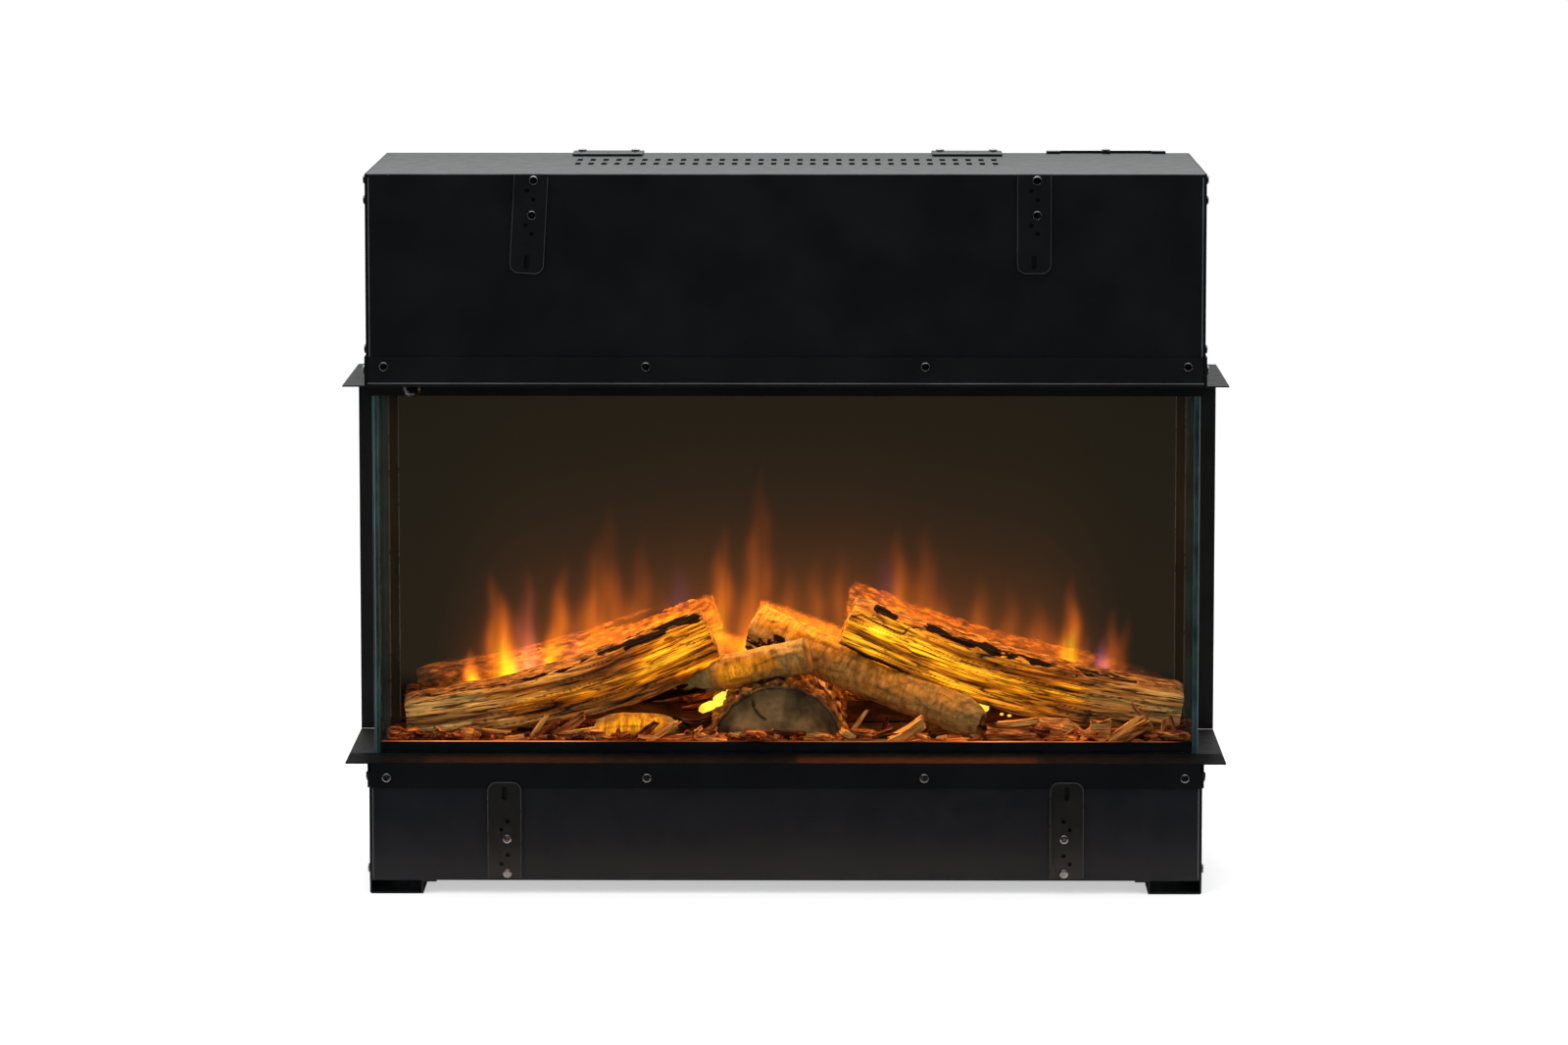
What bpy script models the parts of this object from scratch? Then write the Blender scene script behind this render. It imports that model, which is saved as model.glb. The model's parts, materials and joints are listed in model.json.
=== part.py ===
"""A three-sided electric fireplace, for building into a chimney breast or a media wall.

The frame: +X is to the right of someone who faces the fire, -Y is towards that
person and +Z is up. The origin lies on the floor, under the middle of the body.
"""

import math
from dataclasses import dataclass

import bmesh
import bpy
import numpy as np
from mathutils import Vector

# Driving sizes of the body, in metres
BODY_WIDTH = 0.757
BODY_DEPTH = 0.300
TOP_HEIGHT = 0.656
SOFFIT_SHARE = 465 / 656
LEDGE_HEIGHT = 0.121
FOOT_HEIGHT = 0.0124
FLANGE_REACH = 0.0215
RETURN_SHARE = 41 / 60
SHEET = 0.0012
GAP = 0.0003
OVERRUN = 0.004

# Glass, and the grooves that hold it
GLASS = 0.005
CHANNEL_WALL = 0.0009
TOP_CHANNEL_DEPTH = 0.015
BOTTOM_CHANNEL_DEPTH = 0.0088
CHANNEL_SETBACK = 0.0553
FRONT_GLASS_TOP_CLEARANCE = 0.0096

# Trims round the body at both ledges
UPPER_STRIP_HEIGHT = 0.026
LOWER_STRIP_HEIGHT = 0.0232
STRIP_INSET = 0.002

# Foot rails
FOOT_WIDTH = 0.0485
FOOT_FLANGE = 0.012
FOOT_SHEET = 0.0015
FOOT_INSET = 0.002
FOOT_RADIUS = 0.002

# Air slots in the top panel and in the soffit
VENT_COLUMNS = 33
VENT_PITCH = 0.012
VENT_WIDTH = 0.005
VENT_LENGTH = 0.0285
VENT_FRONT_ROW = 0.127
VENT_REAR_ROW = 0.182
OUTLET_SLOTS = 24
OUTLET_WIDTH = 0.006
OUTLET_LENGTH = 0.030
OUTLET_SETBACK = 0.013

# Hearth tray, ember bed and the pile of logs
TRAY_LIP = 0.010
TRAY_WINDOWS = 8
TRAY_WINDOW_LENGTH = 0.050
TRAY_WINDOW_DEPTH = 0.020
BED_THICKNESS = 0.0062
BED_MARGIN = 0.0035
BED_HOLLOW = 0.0022
PILE_HEIGHT = 0.136
LOG_SIZE = 0.050
LOG_SEAT = 0.0004

# Rear posts and flame screen
POST_WIDTH = 0.008
POST_WEB_INSET = 0.006
SCREEN = 0.003
SCREEN_GROOVE = 0.0036

# Flame rotor, its motor, bearing and lamps
SHAFT_RADIUS = 0.003
SHAFT_CLEARANCE = 0.0001
ROTOR_SETBACK = 0.048
ROTOR_HEIGHT = 0.186
ROTOR_RADIUS = 0.021
ROTOR_HALF_LENGTH = 0.328
ROTOR_BLADE = 0.0012
ROTOR_TURNS = 3
ROTOR_TAPER = 0.0012
JOURNAL = 0.014
ROTOR_MOTOR_RADIUS = 0.024
ROTOR_MOTOR_LENGTH = 0.020
ROTOR_SOCKET = 0.008
BEARING_PLATE = 0.003
BEARING_HALF_HEIGHT = 0.014
BEARING_FOOT = 0.020
LAMP_BAR = 0.0035
LAMP_BAR_HEIGHT = 0.012
LAMP_BAR_DROP = 0.030
LAMP_COUNT = 22
LAMP_SIZE = 0.006
LAMP_HEIGHT = 0.0012
EMBER_BAR_DEPTH = 0.018
EMBER_BAR_SETBACK = 0.124

# Fan heater above the soffit
BLOWER_DEPTH = 0.095
BLOWER_LIFT = 0.070
IMPELLER_RADIUS = 0.027
IMPELLER_HALF_LENGTH = 0.150
IMPELLER_DISC = 0.0016
IMPELLER_RIM = 0.005
IMPELLER_BLADES = 12
SCROLL_GAP = 0.007
HOUSING_END = 0.0015
HOUSING_CLEARANCE = 0.003
BLOWER_MOTOR_RADIUS = 0.022
BLOWER_MOTOR_LENGTH = 0.034
DUCT_FRONT = 0.0098
DUCT_REAR = 0.0462
HEATER_FINS = 36
HEATER_BAR = 0.006
HEATER_LIFT = 0.004
HEATER_FIN_HEIGHT = 0.007
HEATER_FIN = 0.002
HEATER_DEPTH = 0.028
HEATER_LEG = 0.005

# Wall brackets
BRACKET_WIDTH = 0.0302
BRACKET_LENGTH = 0.088
BRACKET_SHEET = 0.0018
BRACKET_CORNER = 0.008
BRACKET_SLOT_WIDTH = 0.0045
BRACKET_SLOT_START = 0.004
BRACKET_SLOT_LENGTH = 0.0124
BRACKET_HOLE_RADIUS = 0.002
BRACKET_STAGGER = 0.0030
BRACKET_HOLE_SHARES = (0.405, 0.490, 0.758, 0.848)
UPPER_BRACKET_LEFT = -0.2285
UPPER_BRACKET_RIGHT = 0.2236
UPPER_BRACKET_DROP = 0.0015
UPPER_LEFT_TILT = math.radians(3.2)
LOWER_BRACKET_OFFSET = 0.2554
LOWER_BRACKET_TOP = 0.1033
TOP_BRACKET_OFFSET = 0.1685
TOP_BRACKET_WIDTH = 0.066
TOP_BRACKET_DEPTH = 0.052
TOP_BRACKET_CORNER = 0.004
TOP_BRACKET_HOLE_ROW = 0.024
TOP_BRACKET_LEG = 0.028
TOP_BRACKET_HOLE_SPACING = 0.025

# Receiver dome and power switch, both in the soffit in front of the glass
DOME_OFFSET = 0.3382
DOME_SETBACK = 0.028
DOME_RADIUS = 0.009
DOME_RIM = 0.003
SWITCH_OFFSET = 0.3558
SWITCH_SETBACK = 0.020
SWITCH_LENGTH = 0.021
SWITCH_WIDTH = 0.015
SWITCH_BEZEL = 0.0015
SWITCH_BORDER = 0.0015
SWITCH_BODY_HEIGHT = 0.016
SWITCH_POCKET_DEPTH = 0.0085
ROCKER_PROUD = 0.0034
ROCKER_DIP = 0.0010
ROCKER_HUB = 0.004
ROCKER_TILT = math.radians(7)

# Control board, terminal block and mains inlet at the rear
BOARD_LEFT = 0.340
BOARD_LENGTH = 0.120
BOARD_REAR = 0.022
BOARD_DEPTH = 0.090
BOARD_THICKNESS = 0.0016
BOARD_STANDOFF = 0.007
STANDOFF_WIDTH = 0.006
COVER_CENTRE = 0.300
COVER_WIDTH = 0.112
COVER_HEIGHT = 0.072
COVER_SHEET = 0.0018
COVER_TAB_DEPTH = 0.012
COVER_TAB_WIDTH = 0.013
COVER_SCREW_TAB_WIDTH = 0.008
INLET_MARGIN = 0.009
NOTCH_DEPTH = 0.010
TERMINAL_LENGTH = 0.060
TERMINAL_DEPTH = 0.020
TERMINAL_HEIGHT = 0.014
TERMINAL_DROP = 0.030
TERMINAL_CELLS = 4
TERMINAL_CELL_STEP = 0.003
GROMMET_RADIUS = 0.0085
GROMMET_FLANGE = 0.003
GROMMET_LIP = 0.0016
GROMMET_BORE = 0.0042
GROMMET_DROP = 0.052
HARNESS_RADIUS = 0.003
HARNESS_LIFT = 0.003

# Sizes that follow from those above
SOFFIT_HEIGHT = TOP_HEIGHT * SOFFIT_SHARE
RETURN_DEPTH = BODY_DEPTH * RETURN_SHARE
ROTOR_DEPTH = BODY_DEPTH - ROTOR_SETBACK
BLOWER_HEIGHT = SOFFIT_HEIGHT + BLOWER_LIFT
UPPER_BRACKET_TOP = TOP_HEIGHT - UPPER_BRACKET_DROP
BOARD_SETBACK = BODY_DEPTH - BOARD_REAR - BOARD_DEPTH
BODY_HALF = BODY_WIDTH / 2
INNER_HALF = BODY_HALF - SHEET - GAP
INNER_FRONT = SHEET + GAP
INNER_REAR = BODY_DEPTH - SHEET - GAP
CHANNEL_WIDTH = GLASS + 2 * (GAP + CHANNEL_WALL)
CHANNEL_REAR = RETURN_DEPTH - SHEET - GAP
CHANNEL_FOOT = LEDGE_HEIGHT - BOTTOM_CHANNEL_DEPTH
GLASS_HALF = BODY_HALF - CHANNEL_WALL - GAP
GLASS_FRONT = CHANNEL_SETBACK + CHANNEL_WALL + GAP
GLASS_FOOT = CHANNEL_FOOT + CHANNEL_WALL + GAP
PANE_FRONT = GLASS_FRONT + GLASS + GAP
GROOVE_OUTER = BODY_HALF - CHANNEL_WALL
GROOVE_INNER = GLASS_HALF - GLASS - GAP
CEILING_FOOT = SOFFIT_HEIGHT + GAP
CEILING_TOP = CEILING_FOOT + SHEET
TRAY_FOOT = LEDGE_HEIGHT + GAP
TRAY_TOP = TRAY_FOOT + SHEET
TRAY_HALF = GROOVE_INNER
TRAY_FRONT = PANE_FRONT
BED_TOP = TRAY_TOP + GAP + BED_THICKNESS
BED_HALF = TRAY_HALF - BED_MARGIN
BED_FRONT = TRAY_FRONT + SHEET + BED_MARGIN
BED_REAR = CHANNEL_REAR - BED_MARGIN
UNDER_TOP = TOP_HEIGHT - SHEET - GAP

# Each groove's foot and top, then the foot and top of the hollow in it
TOP_GROOVE = (
    SOFFIT_HEIGHT - TOP_CHANNEL_DEPTH,
    SOFFIT_HEIGHT,
    SOFFIT_HEIGHT - TOP_CHANNEL_DEPTH,
    SOFFIT_HEIGHT - CHANNEL_WALL,
)
BOTTOM_GROOVE = (CHANNEL_FOOT, LEDGE_HEIGHT, CHANNEL_FOOT + CHANNEL_WALL, LEDGE_HEIGHT)

# Decimals, in metres, to which the planes of folded sheets are taken as one
PLACES = 6


@dataclass(frozen=True)
class Finish:
    """The colour and surface of one material."""

    colour: str
    roughness: float
    metallic: float = 0.0
    alpha: float = 1.0


FINISHES = {
    "body_paint": Finish("#17191b", 0.50),
    "galvanised_steel": Finish("#8f9396", 0.45, 0.9),
    "bracket_paint": Finish("#1d1f21", 0.42),
    "toughened_glass": Finish("#9fb8b4", 0.03, 0.0, 0.25),
    "smoked_screen": Finish("#2a1f17", 0.30),
    "split_wood": Finish("#b98a45", 0.80),
    "bark": Finish("#6a3f22", 0.90),
    "birch": Finish("#a08d6c", 0.75),
    "ember_resin": Finish("#b4431a", 0.40),
    "polished_steel": Finish("#c9cccf", 0.12, 1.0),
    "motor_can": Finish("#9a9c9e", 0.35, 0.9),
    "aluminium_bar": Finish("#c2c4c6", 0.40, 0.9),
    "aluminium_wheel": Finish("#a9acae", 0.35, 0.9),
    "heater_alloy": Finish("#8c8f92", 0.45, 0.8),
    "circuit_board": Finish("#1d5a34", 0.55),
    "black_plastic": Finish("#101113", 0.35),
    "dark_lens": Finish("#08080a", 0.08),
    "nylon": Finish("#e4e1d8", 0.50),
    "rubber": Finish("#151515", 0.85),
    "wire_sleeve": Finish("#3a3c3f", 0.60),
}


def linear(channel):
    """Turns one sRGB channel, from 0 to 1, into its linear value."""
    return channel / 12.92 if channel <= 0.04045 else ((channel + 0.055) / 1.055) ** 2.4


def material(finish_name, piece_name):
    """Makes the piece's own material from the named finish."""
    finish = FINISHES[finish_name]
    made = bpy.data.materials.new(f"{piece_name}_{finish_name}")
    made.use_nodes = True
    shader = made.node_tree.nodes["Principled BSDF"]
    channels = [int(finish.colour[start : start + 2], 16) / 255 for start in (1, 3, 5)]
    colour = (*map(linear, channels), 1)
    shader.inputs["Base Color"].default_value = colour
    shader.inputs["Roughness"].default_value = finish.roughness
    shader.inputs["Metallic"].default_value = finish.metallic
    shader.inputs["Alpha"].default_value = finish.alpha
    made.diffuse_color = (*colour[:3], finish.alpha)
    made.roughness = finish.roughness
    made.metallic = finish.metallic
    return made


def depth(from_front):
    """The y of a place that lies this far behind the front sheet."""
    return from_front - BODY_DEPTH / 2


@dataclass
class Box:
    """A box between two corners, each as x, distance behind the front, z."""

    low: tuple
    high: tuple

    def add_to(self, mesh):
        low = Vector((self.low[0], depth(self.low[1]), self.low[2]))
        high = Vector((self.high[0], depth(self.high[1]), self.high[2]))
        middle = (low + high) / 2
        for vertex in bmesh.ops.create_cube(mesh, size=1)["verts"]:
            vertex.co = middle + vertex.co * (high - low)


@dataclass
class Folded:
    """Boxes that meet as one sheet-metal skin, less the boxes taken out of them.

    The planes of all the boxes divide the space into cells. Faces are laid only
    between a filled cell and an empty one.
    """

    solids: list
    hollows: tuple = ()

    def add_to(self, mesh):
        corners = [
            [(x, depth(back), z) for x, back, z in (box.low, box.high)]
            for box in (*self.solids, *self.hollows)
        ]
        places = np.round(np.array(corners), PLACES)
        planes = [np.unique(places[:, :, axis]) for axis in range(3)]
        filled = np.zeros([len(values) + 1 for values in planes], bool)
        for number, (low, high) in enumerate(places):
            span = tuple(
                slice(np.searchsorted(values, start) + 1, np.searchsorted(values, end) + 1)
                for values, start, end in zip(planes, low, high)
            )
            filled[span] = number < len(self.solids)
        corner_at = {}

        def corner(key):
            if key not in corner_at:
                place = [values[index] for values, index in zip(planes, key)]
                corner_at[key] = mesh.verts.new(place)
            return corner_at[key]

        for axis in range(3):
            before = np.moveaxis(filled, axis, 0)
            for index, *others in np.argwhere(before[1:] != before[:-1]):
                first, second = others
                square = ((-1, -1), (0, -1), (0, 0), (-1, 0))
                keys = [[first + a, second + b] for a, b in square]
                for key in keys:
                    key.insert(axis, index)
                mesh.faces.new([corner(tuple(int(value) for value in key)) for key in keys])


@dataclass
class Prism:
    """An outline, drawn across an axis, pulled from start to end along that axis."""

    outline: list
    axis: str
    start: float
    end: float

    def add_to(self, mesh):
        index = "XYZ".index(self.axis)
        corners = []
        for pair in self.outline:
            place = list(pair)
            place.insert(index, self.start)
            corners.append(mesh.verts.new(place))
        face = mesh.faces.new(corners)
        pulled = bmesh.ops.extrude_face_region(mesh, geom=[face])["geom"]
        travel = Vector((0, 0, 0))
        travel[index] = self.end - self.start
        moved = [item for item in pulled if isinstance(item, bmesh.types.BMVert)]
        bmesh.ops.translate(mesh, verts=moved, vec=travel)


@dataclass
class Loft:
    """A skin of triangles through rings of points, with flat ends or closed like a tyre."""

    rings: list
    closed: bool = False

    def add_to(self, mesh):
        rows = [[mesh.verts.new(point) for point in ring] for ring in self.rings]
        pairs = list(zip(rows, rows[1:]))
        if self.closed:
            pairs.append((rows[-1], rows[0]))
        for near, far in pairs:
            for index in range(len(near)):
                mesh.faces.new((near[index - 1], near[index], far[index]))
                mesh.faces.new((near[index - 1], far[index], far[index - 1]))
        if not self.closed:
            mesh.faces.new(rows[0])
            mesh.faces.new(rows[-1])


def circle(centre, radius, sides=24):
    """The corners of a regular outline round a centre."""
    angles = [math.tau * number / sides for number in range(sides)]
    return [
        (centre[0] + radius * math.cos(a), centre[1] + radius * math.sin(a)) for a in angles
    ]


def slot(centre, width, length, sides=6):
    """A slot's outline, with round ends, whose length lies along the second axis."""
    radius = width / 2
    reach = length / 2 - radius
    points = []
    for end in (1, -1):
        for number in range(sides + 1):
            angle = math.pi * number / sides
            points.append(
                (
                    centre[0] + end * radius * math.cos(angle),
                    centre[1] + end * (reach + radius * math.sin(angle)),
                )
            )
    return points


def corner_arc(centre, radius, start_degrees, steps=4):
    """A quarter circle of points for a rounded corner."""
    angles = [math.radians(start_degrees + 90 * step / steps) for step in range(steps + 1)]
    return [
        (centre[0] + radius * math.cos(a), centre[1] + radius * math.sin(a)) for a in angles
    ]


def mesh_object(name, shapes):
    """An object whose mesh holds the given shapes, with its faces turned outwards."""
    shaped = bmesh.new()
    for shape in shapes:
        shape.add_to(shaped)
    bmesh.ops.recalc_face_normals(shaped, faces=shaped.faces)
    data = bpy.data.meshes.new(name)
    shaped.to_mesh(data)
    shaped.free()
    made = bpy.data.objects.new(name, data)
    bpy.context.scene.collection.objects.link(made)
    return made


def add_boolean(made, operation, groups):
    """Joins each group of shapes to an object, or cuts it out, with a hidden tool."""
    for number, shapes in enumerate(groups, 1):
        tool = mesh_object(f"{made.name}_{operation.lower()}_{number}", shapes)
        tool.hide_render = True
        tool.display_type = "WIRE"
        modifier = made.modifiers.new(tool.name, "BOOLEAN")
        modifier.operation = operation
        modifier.object = tool
        modifier.solver = "EXACT"


def piece(name, finish_name, shape, joined=(), cut=(), cut_together=(), smooth=False):
    """One part of the fireplace.

    The shape is joined with the shapes in joined. Each shape in cut is then taken
    out by itself, and those in cut_together, which stay clear of each other, at once.
    """
    made = mesh_object(name, [shape])
    made.data.materials.append(material(finish_name, name))
    add_boolean(made, "UNION", [[added] for added in joined])
    taken = [[removed] for removed in cut]
    if cut_together:
        taken.append(cut_together)
    add_boolean(made, "DIFFERENCE", taken)
    if smooth:
        made.data.shade_smooth()
        made.data.set_sharp_from_angle(angle=math.radians(35))
    return made


def move_origin(made, origin):
    """Puts a moving piece's origin on its joint's axis and leaves its shape in place."""
    for vertex in made.data.vertices:
        vertex.co -= Vector(origin)
    made.location = origin


def sided(side):
    """The word for a side: -1 is left and 1 is right."""
    return "left" if side < 0 else "right"


def across(side, near, far):
    """Two distances from the middle, on one side, in rising order of x."""
    return sorted((side * near, side * far))


def make_body_shells():
    """The painted sheets of the upper and lower boxes."""
    pan_foot = FOOT_HEIGHT + GAP
    piece(
        "base_pan",
        "galvanised_steel",
        Box((-INNER_HALF, INNER_FRONT, pan_foot), (INNER_HALF, INNER_REAR, pan_foot + SHEET)),
    )
    piece(
        "lower_front_panel",
        "body_paint",
        Box((-INNER_HALF, 0, pan_foot), (INNER_HALF, SHEET, LEDGE_HEIGHT - SHEET - GAP)),
    )
    piece(
        "upper_front_panel",
        "body_paint",
        Box((-INNER_HALF, 0, CEILING_FOOT), (INNER_HALF, SHEET, UNDER_TOP)),
    )
    for side in (-1, 1):
        inner, outer = across(side, BODY_HALF - SHEET, BODY_HALF)
        piece(
            f"lower_side_{sided(side)}",
            "body_paint",
            Box((inner, 0, pan_foot), (outer, BODY_DEPTH, CHANNEL_FOOT - GAP)),
        )
        piece(
            f"upper_side_{sided(side)}",
            "body_paint",
            Box((inner, 0, CEILING_FOOT), (outer, BODY_DEPTH, TOP_HEIGHT)),
        )
    inlet_half = COVER_WIDTH / 2 - INLET_MARGIN
    inlet = Box(
        (COVER_CENTRE - inlet_half, BODY_DEPTH - OVERRUN, UNDER_TOP - COVER_HEIGHT + INLET_MARGIN),
        (COVER_CENTRE + inlet_half, BODY_DEPTH + OVERRUN, UNDER_TOP - INLET_MARGIN),
    )
    piece(
        "back_panel",
        "galvanised_steel",
        Box(
            (-INNER_HALF, BODY_DEPTH - SHEET, pan_foot),
            (INNER_HALF, BODY_DEPTH, UNDER_TOP),
        ),
        cut=[inlet],
    )


def make_top_panel():
    """The top sheet, with its two rows of air slots and two notches over the inlet."""
    slots = []
    for row in (VENT_FRONT_ROW, VENT_REAR_ROW):
        for column in range(VENT_COLUMNS):
            middle = (column - (VENT_COLUMNS - 1) / 2) * VENT_PITCH
            low = (middle - VENT_WIDTH / 2, row, TOP_HEIGHT - SHEET - OVERRUN)
            high = (middle + VENT_WIDTH / 2, row + VENT_LENGTH, TOP_HEIGHT + OVERRUN)
            slots.append(Box(low, high))
    notch_outer = COVER_WIDTH / 2 - COVER_TAB_WIDTH
    for side in (-1, 1):
        near, far = across(side, COVER_SCREW_TAB_WIDTH / 2, notch_outer)
        low = (COVER_CENTRE + near, BODY_DEPTH - NOTCH_DEPTH, TOP_HEIGHT - SHEET - OVERRUN)
        high = (COVER_CENTRE + far, BODY_DEPTH + OVERRUN, TOP_HEIGHT + OVERRUN)
        slots.append(Box(low, high))
    piece(
        "top_panel",
        "body_paint",
        Box((-INNER_HALF, 0, TOP_HEIGHT - SHEET), (INNER_HALF, BODY_DEPTH, TOP_HEIGHT)),
        cut_together=slots,
    )


def outlet_slots():
    """The warm-air slots, which pass through the soffit's flange and the ceiling."""
    shapes = []
    for number in range(OUTLET_SLOTS):
        middle = (number - (OUTLET_SLOTS - 1) / 2) * VENT_PITCH
        low = (middle - OUTLET_WIDTH / 2, OUTLET_SETBACK, SOFFIT_HEIGHT - SHEET - OVERRUN)
        rear = OUTLET_SETBACK + OUTLET_LENGTH
        high = (middle + OUTLET_WIDTH / 2, rear, CEILING_TOP + OVERRUN)
        shapes.append(Box(low, high))
    return shapes


def switch_cutout(clearance):
    """The hole that the power switch's body passes through."""
    half_length = SWITCH_LENGTH / 2 - SWITCH_BORDER + clearance
    half_width = SWITCH_WIDTH / 2 - SWITCH_BORDER + clearance
    return Box(
        (
            SWITCH_OFFSET - half_length,
            SWITCH_SETBACK - half_width,
            SOFFIT_HEIGHT - SHEET - OVERRUN,
        ),
        (SWITCH_OFFSET + half_length, SWITCH_SETBACK + half_width, CEILING_TOP + OVERRUN),
    )


def make_ceiling():
    """The sheet between the fire's chamber and the heater's compartment."""
    piece(
        "firebox_ceiling",
        "body_paint",
        Box((-INNER_HALF, INNER_FRONT, CEILING_FOOT), (INNER_HALF, INNER_REAR, CEILING_TOP)),
        cut=[switch_cutout(GAP)],
        cut_together=outlet_slots(),
    )


def make_feet():
    """Two foot rails of hat section, open at the top, under the floor pan."""
    for side in (-1, 1):
        inner = BODY_HALF - FOOT_WIDTH
        flange = inner - FOOT_FLANGE
        corner = corner_arc((BODY_HALF - FOOT_RADIUS, FOOT_RADIUS), FOOT_RADIUS, -90, steps=3)
        section = [
            (BODY_HALF, FOOT_HEIGHT),
            *corner[::-1],
            (inner, 0),
            (inner, FOOT_HEIGHT - FOOT_SHEET),
            (flange, FOOT_HEIGHT - FOOT_SHEET),
            (flange, FOOT_HEIGHT),
            (inner + FOOT_SHEET, FOOT_HEIGHT),
            (inner + FOOT_SHEET, FOOT_SHEET),
            (BODY_HALF - FOOT_SHEET, FOOT_SHEET),
            (BODY_HALF - FOOT_SHEET, FOOT_HEIGHT),
        ]
        outline = [(side * x, z) for x, z in section]
        rail = Prism(outline, "Y", depth(FOOT_INSET), depth(BODY_DEPTH - FOOT_INSET))
        piece(f"foot_{sided(side)}", "body_paint", rail)


def make_front_trim(name, flange_top, strip_foot, strip_top, **cuts):
    """A strip along the front of the body, folded over into a flange."""
    flange_half = BODY_HALF + FLANGE_REACH
    strip_half = BODY_HALF - STRIP_INSET
    flange = Box(
        (-flange_half, -GAP - SHEET, flange_top - SHEET),
        (flange_half, CHANNEL_SETBACK - GAP, flange_top),
    )
    strip = Box((-strip_half, -GAP - SHEET, strip_foot), (strip_half, -GAP, strip_top))
    piece(f"{name}_trim_front", "body_paint", Folded([flange, strip]), **cuts)


def make_side_trim(name, side, flange_top, strip_foot, strip_top, groove):
    """A strip along one side, its flange, and the groove for the side pane behind it."""
    flange_foot = flange_top - SHEET
    strip = across(side, BODY_HALF + GAP, BODY_HALF + GAP + SHEET)
    wing = across(side, BODY_HALF + GAP, BODY_HALF + FLANGE_REACH)
    block = across(side, GROOVE_INNER - CHANNEL_WALL, BODY_HALF + GAP + SHEET)
    hollow = across(side, GROOVE_INNER, GROOVE_OUTER)
    is_upper = strip_top > flange_top
    front_foot = flange_top + GAP if is_upper else strip_foot
    front_top = strip_top if is_upper else flange_foot - GAP
    block_foot, block_top, hollow_foot, hollow_top = groove
    solids = [
        Box((wing[0], CHANNEL_SETBACK, flange_foot), (wing[1], RETURN_DEPTH, flange_top)),
        Box((strip[0], CHANNEL_SETBACK, strip_foot), (strip[1], RETURN_DEPTH, strip_top)),
        Box((strip[0], 0, front_foot), (strip[1], CHANNEL_SETBACK, front_top)),
        Box((block[0], PANE_FRONT, block_foot), (block[1], CHANNEL_REAR, block_top)),
    ]
    hollows = [
        Box((hollow[0], PANE_FRONT, hollow_foot), (hollow[1], CHANNEL_REAR, hollow_top))
    ]
    piece(f"{name}_trim_{sided(side)}", "body_paint", Folded(solids, hollows))


def make_trims():
    """Trims at both ledges: a strip on the body and a flange that the wall lining meets."""
    upper = (SOFFIT_HEIGHT, SOFFIT_HEIGHT - SHEET, SOFFIT_HEIGHT + UPPER_STRIP_HEIGHT)
    lower = (LEDGE_HEIGHT, LEDGE_HEIGHT - LOWER_STRIP_HEIGHT, LEDGE_HEIGHT)
    make_front_trim("upper", *upper, cut=[switch_cutout(GAP)], cut_together=outlet_slots())
    make_front_trim("lower", *lower)
    for side in (-1, 1):
        make_side_trim("upper", side, *upper, TOP_GROOVE)
        make_side_trim("lower", side, *lower, BOTTOM_GROOVE)


def make_rear_flanges():
    """Side sheets behind the chamber, each with an upright flange for the wall lining."""
    for side in (-1, 1):
        sheet = across(side, BODY_HALF - SHEET, BODY_HALF)
        flange = across(side, BODY_HALF - SHEET, BODY_HALF + FLANGE_REACH)
        front = RETURN_DEPTH - SHEET
        piece(
            f"rear_flange_{sided(side)}",
            "body_paint",
            Folded(
                [
                    Box((sheet[0], front, CHANNEL_FOOT), (sheet[1], BODY_DEPTH, SOFFIT_HEIGHT)),
                    Box(
                        (flange[0], front, LEDGE_HEIGHT + GAP),
                        (flange[1], RETURN_DEPTH, SOFFIT_HEIGHT - SHEET - GAP),
                    ),
                ]
            ),
        )


def make_front_channel(name, groove):
    """The channel for the front pane. Its rear wall stops short of the side panes."""
    foot, top, hollow_foot, hollow_top = groove
    wall_half = GROOVE_INNER - CHANNEL_WALL - GAP
    solids = [
        Box((-BODY_HALF, CHANNEL_SETBACK, foot), (BODY_HALF, PANE_FRONT - GAP, top)),
        Box((-wall_half, CHANNEL_SETBACK, foot), (wall_half, CHANNEL_SETBACK + CHANNEL_WIDTH, top)),
    ]
    hollow = Box(
        (-GROOVE_OUTER, CHANNEL_SETBACK + CHANNEL_WALL, hollow_foot),
        (GROOVE_OUTER, PANE_FRONT, hollow_top),
    )
    piece(name, "body_paint", Folded(solids, [hollow]))


def make_glazing():
    """The front channels, the lift-out front pane and the two side panes."""
    make_front_channel("glass_channel_top", TOP_GROOVE)
    make_front_channel("glass_channel_bottom", BOTTOM_GROOVE)
    glass_rear = GLASS_FRONT + GLASS
    groove_top = SOFFIT_HEIGHT - CHANNEL_WALL
    pane = piece(
        "front_glass",
        "toughened_glass",
        Box(
            (-GLASS_HALF, GLASS_FRONT, GLASS_FOOT),
            (GLASS_HALF, glass_rear, groove_top - FRONT_GLASS_TOP_CLEARANCE),
        ),
    )
    move_origin(pane, (0, depth(GLASS_FRONT + GLASS / 2), GLASS_FOOT))
    for side in (-1, 1):
        near, far = across(side, GLASS_HALF - GLASS, GLASS_HALF)
        piece(
            f"side_glass_{sided(side)}",
            "toughened_glass",
            Box((near, PANE_FRONT, GLASS_FOOT), (far, CHANNEL_REAR, groove_top - GAP)),
        )


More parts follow.
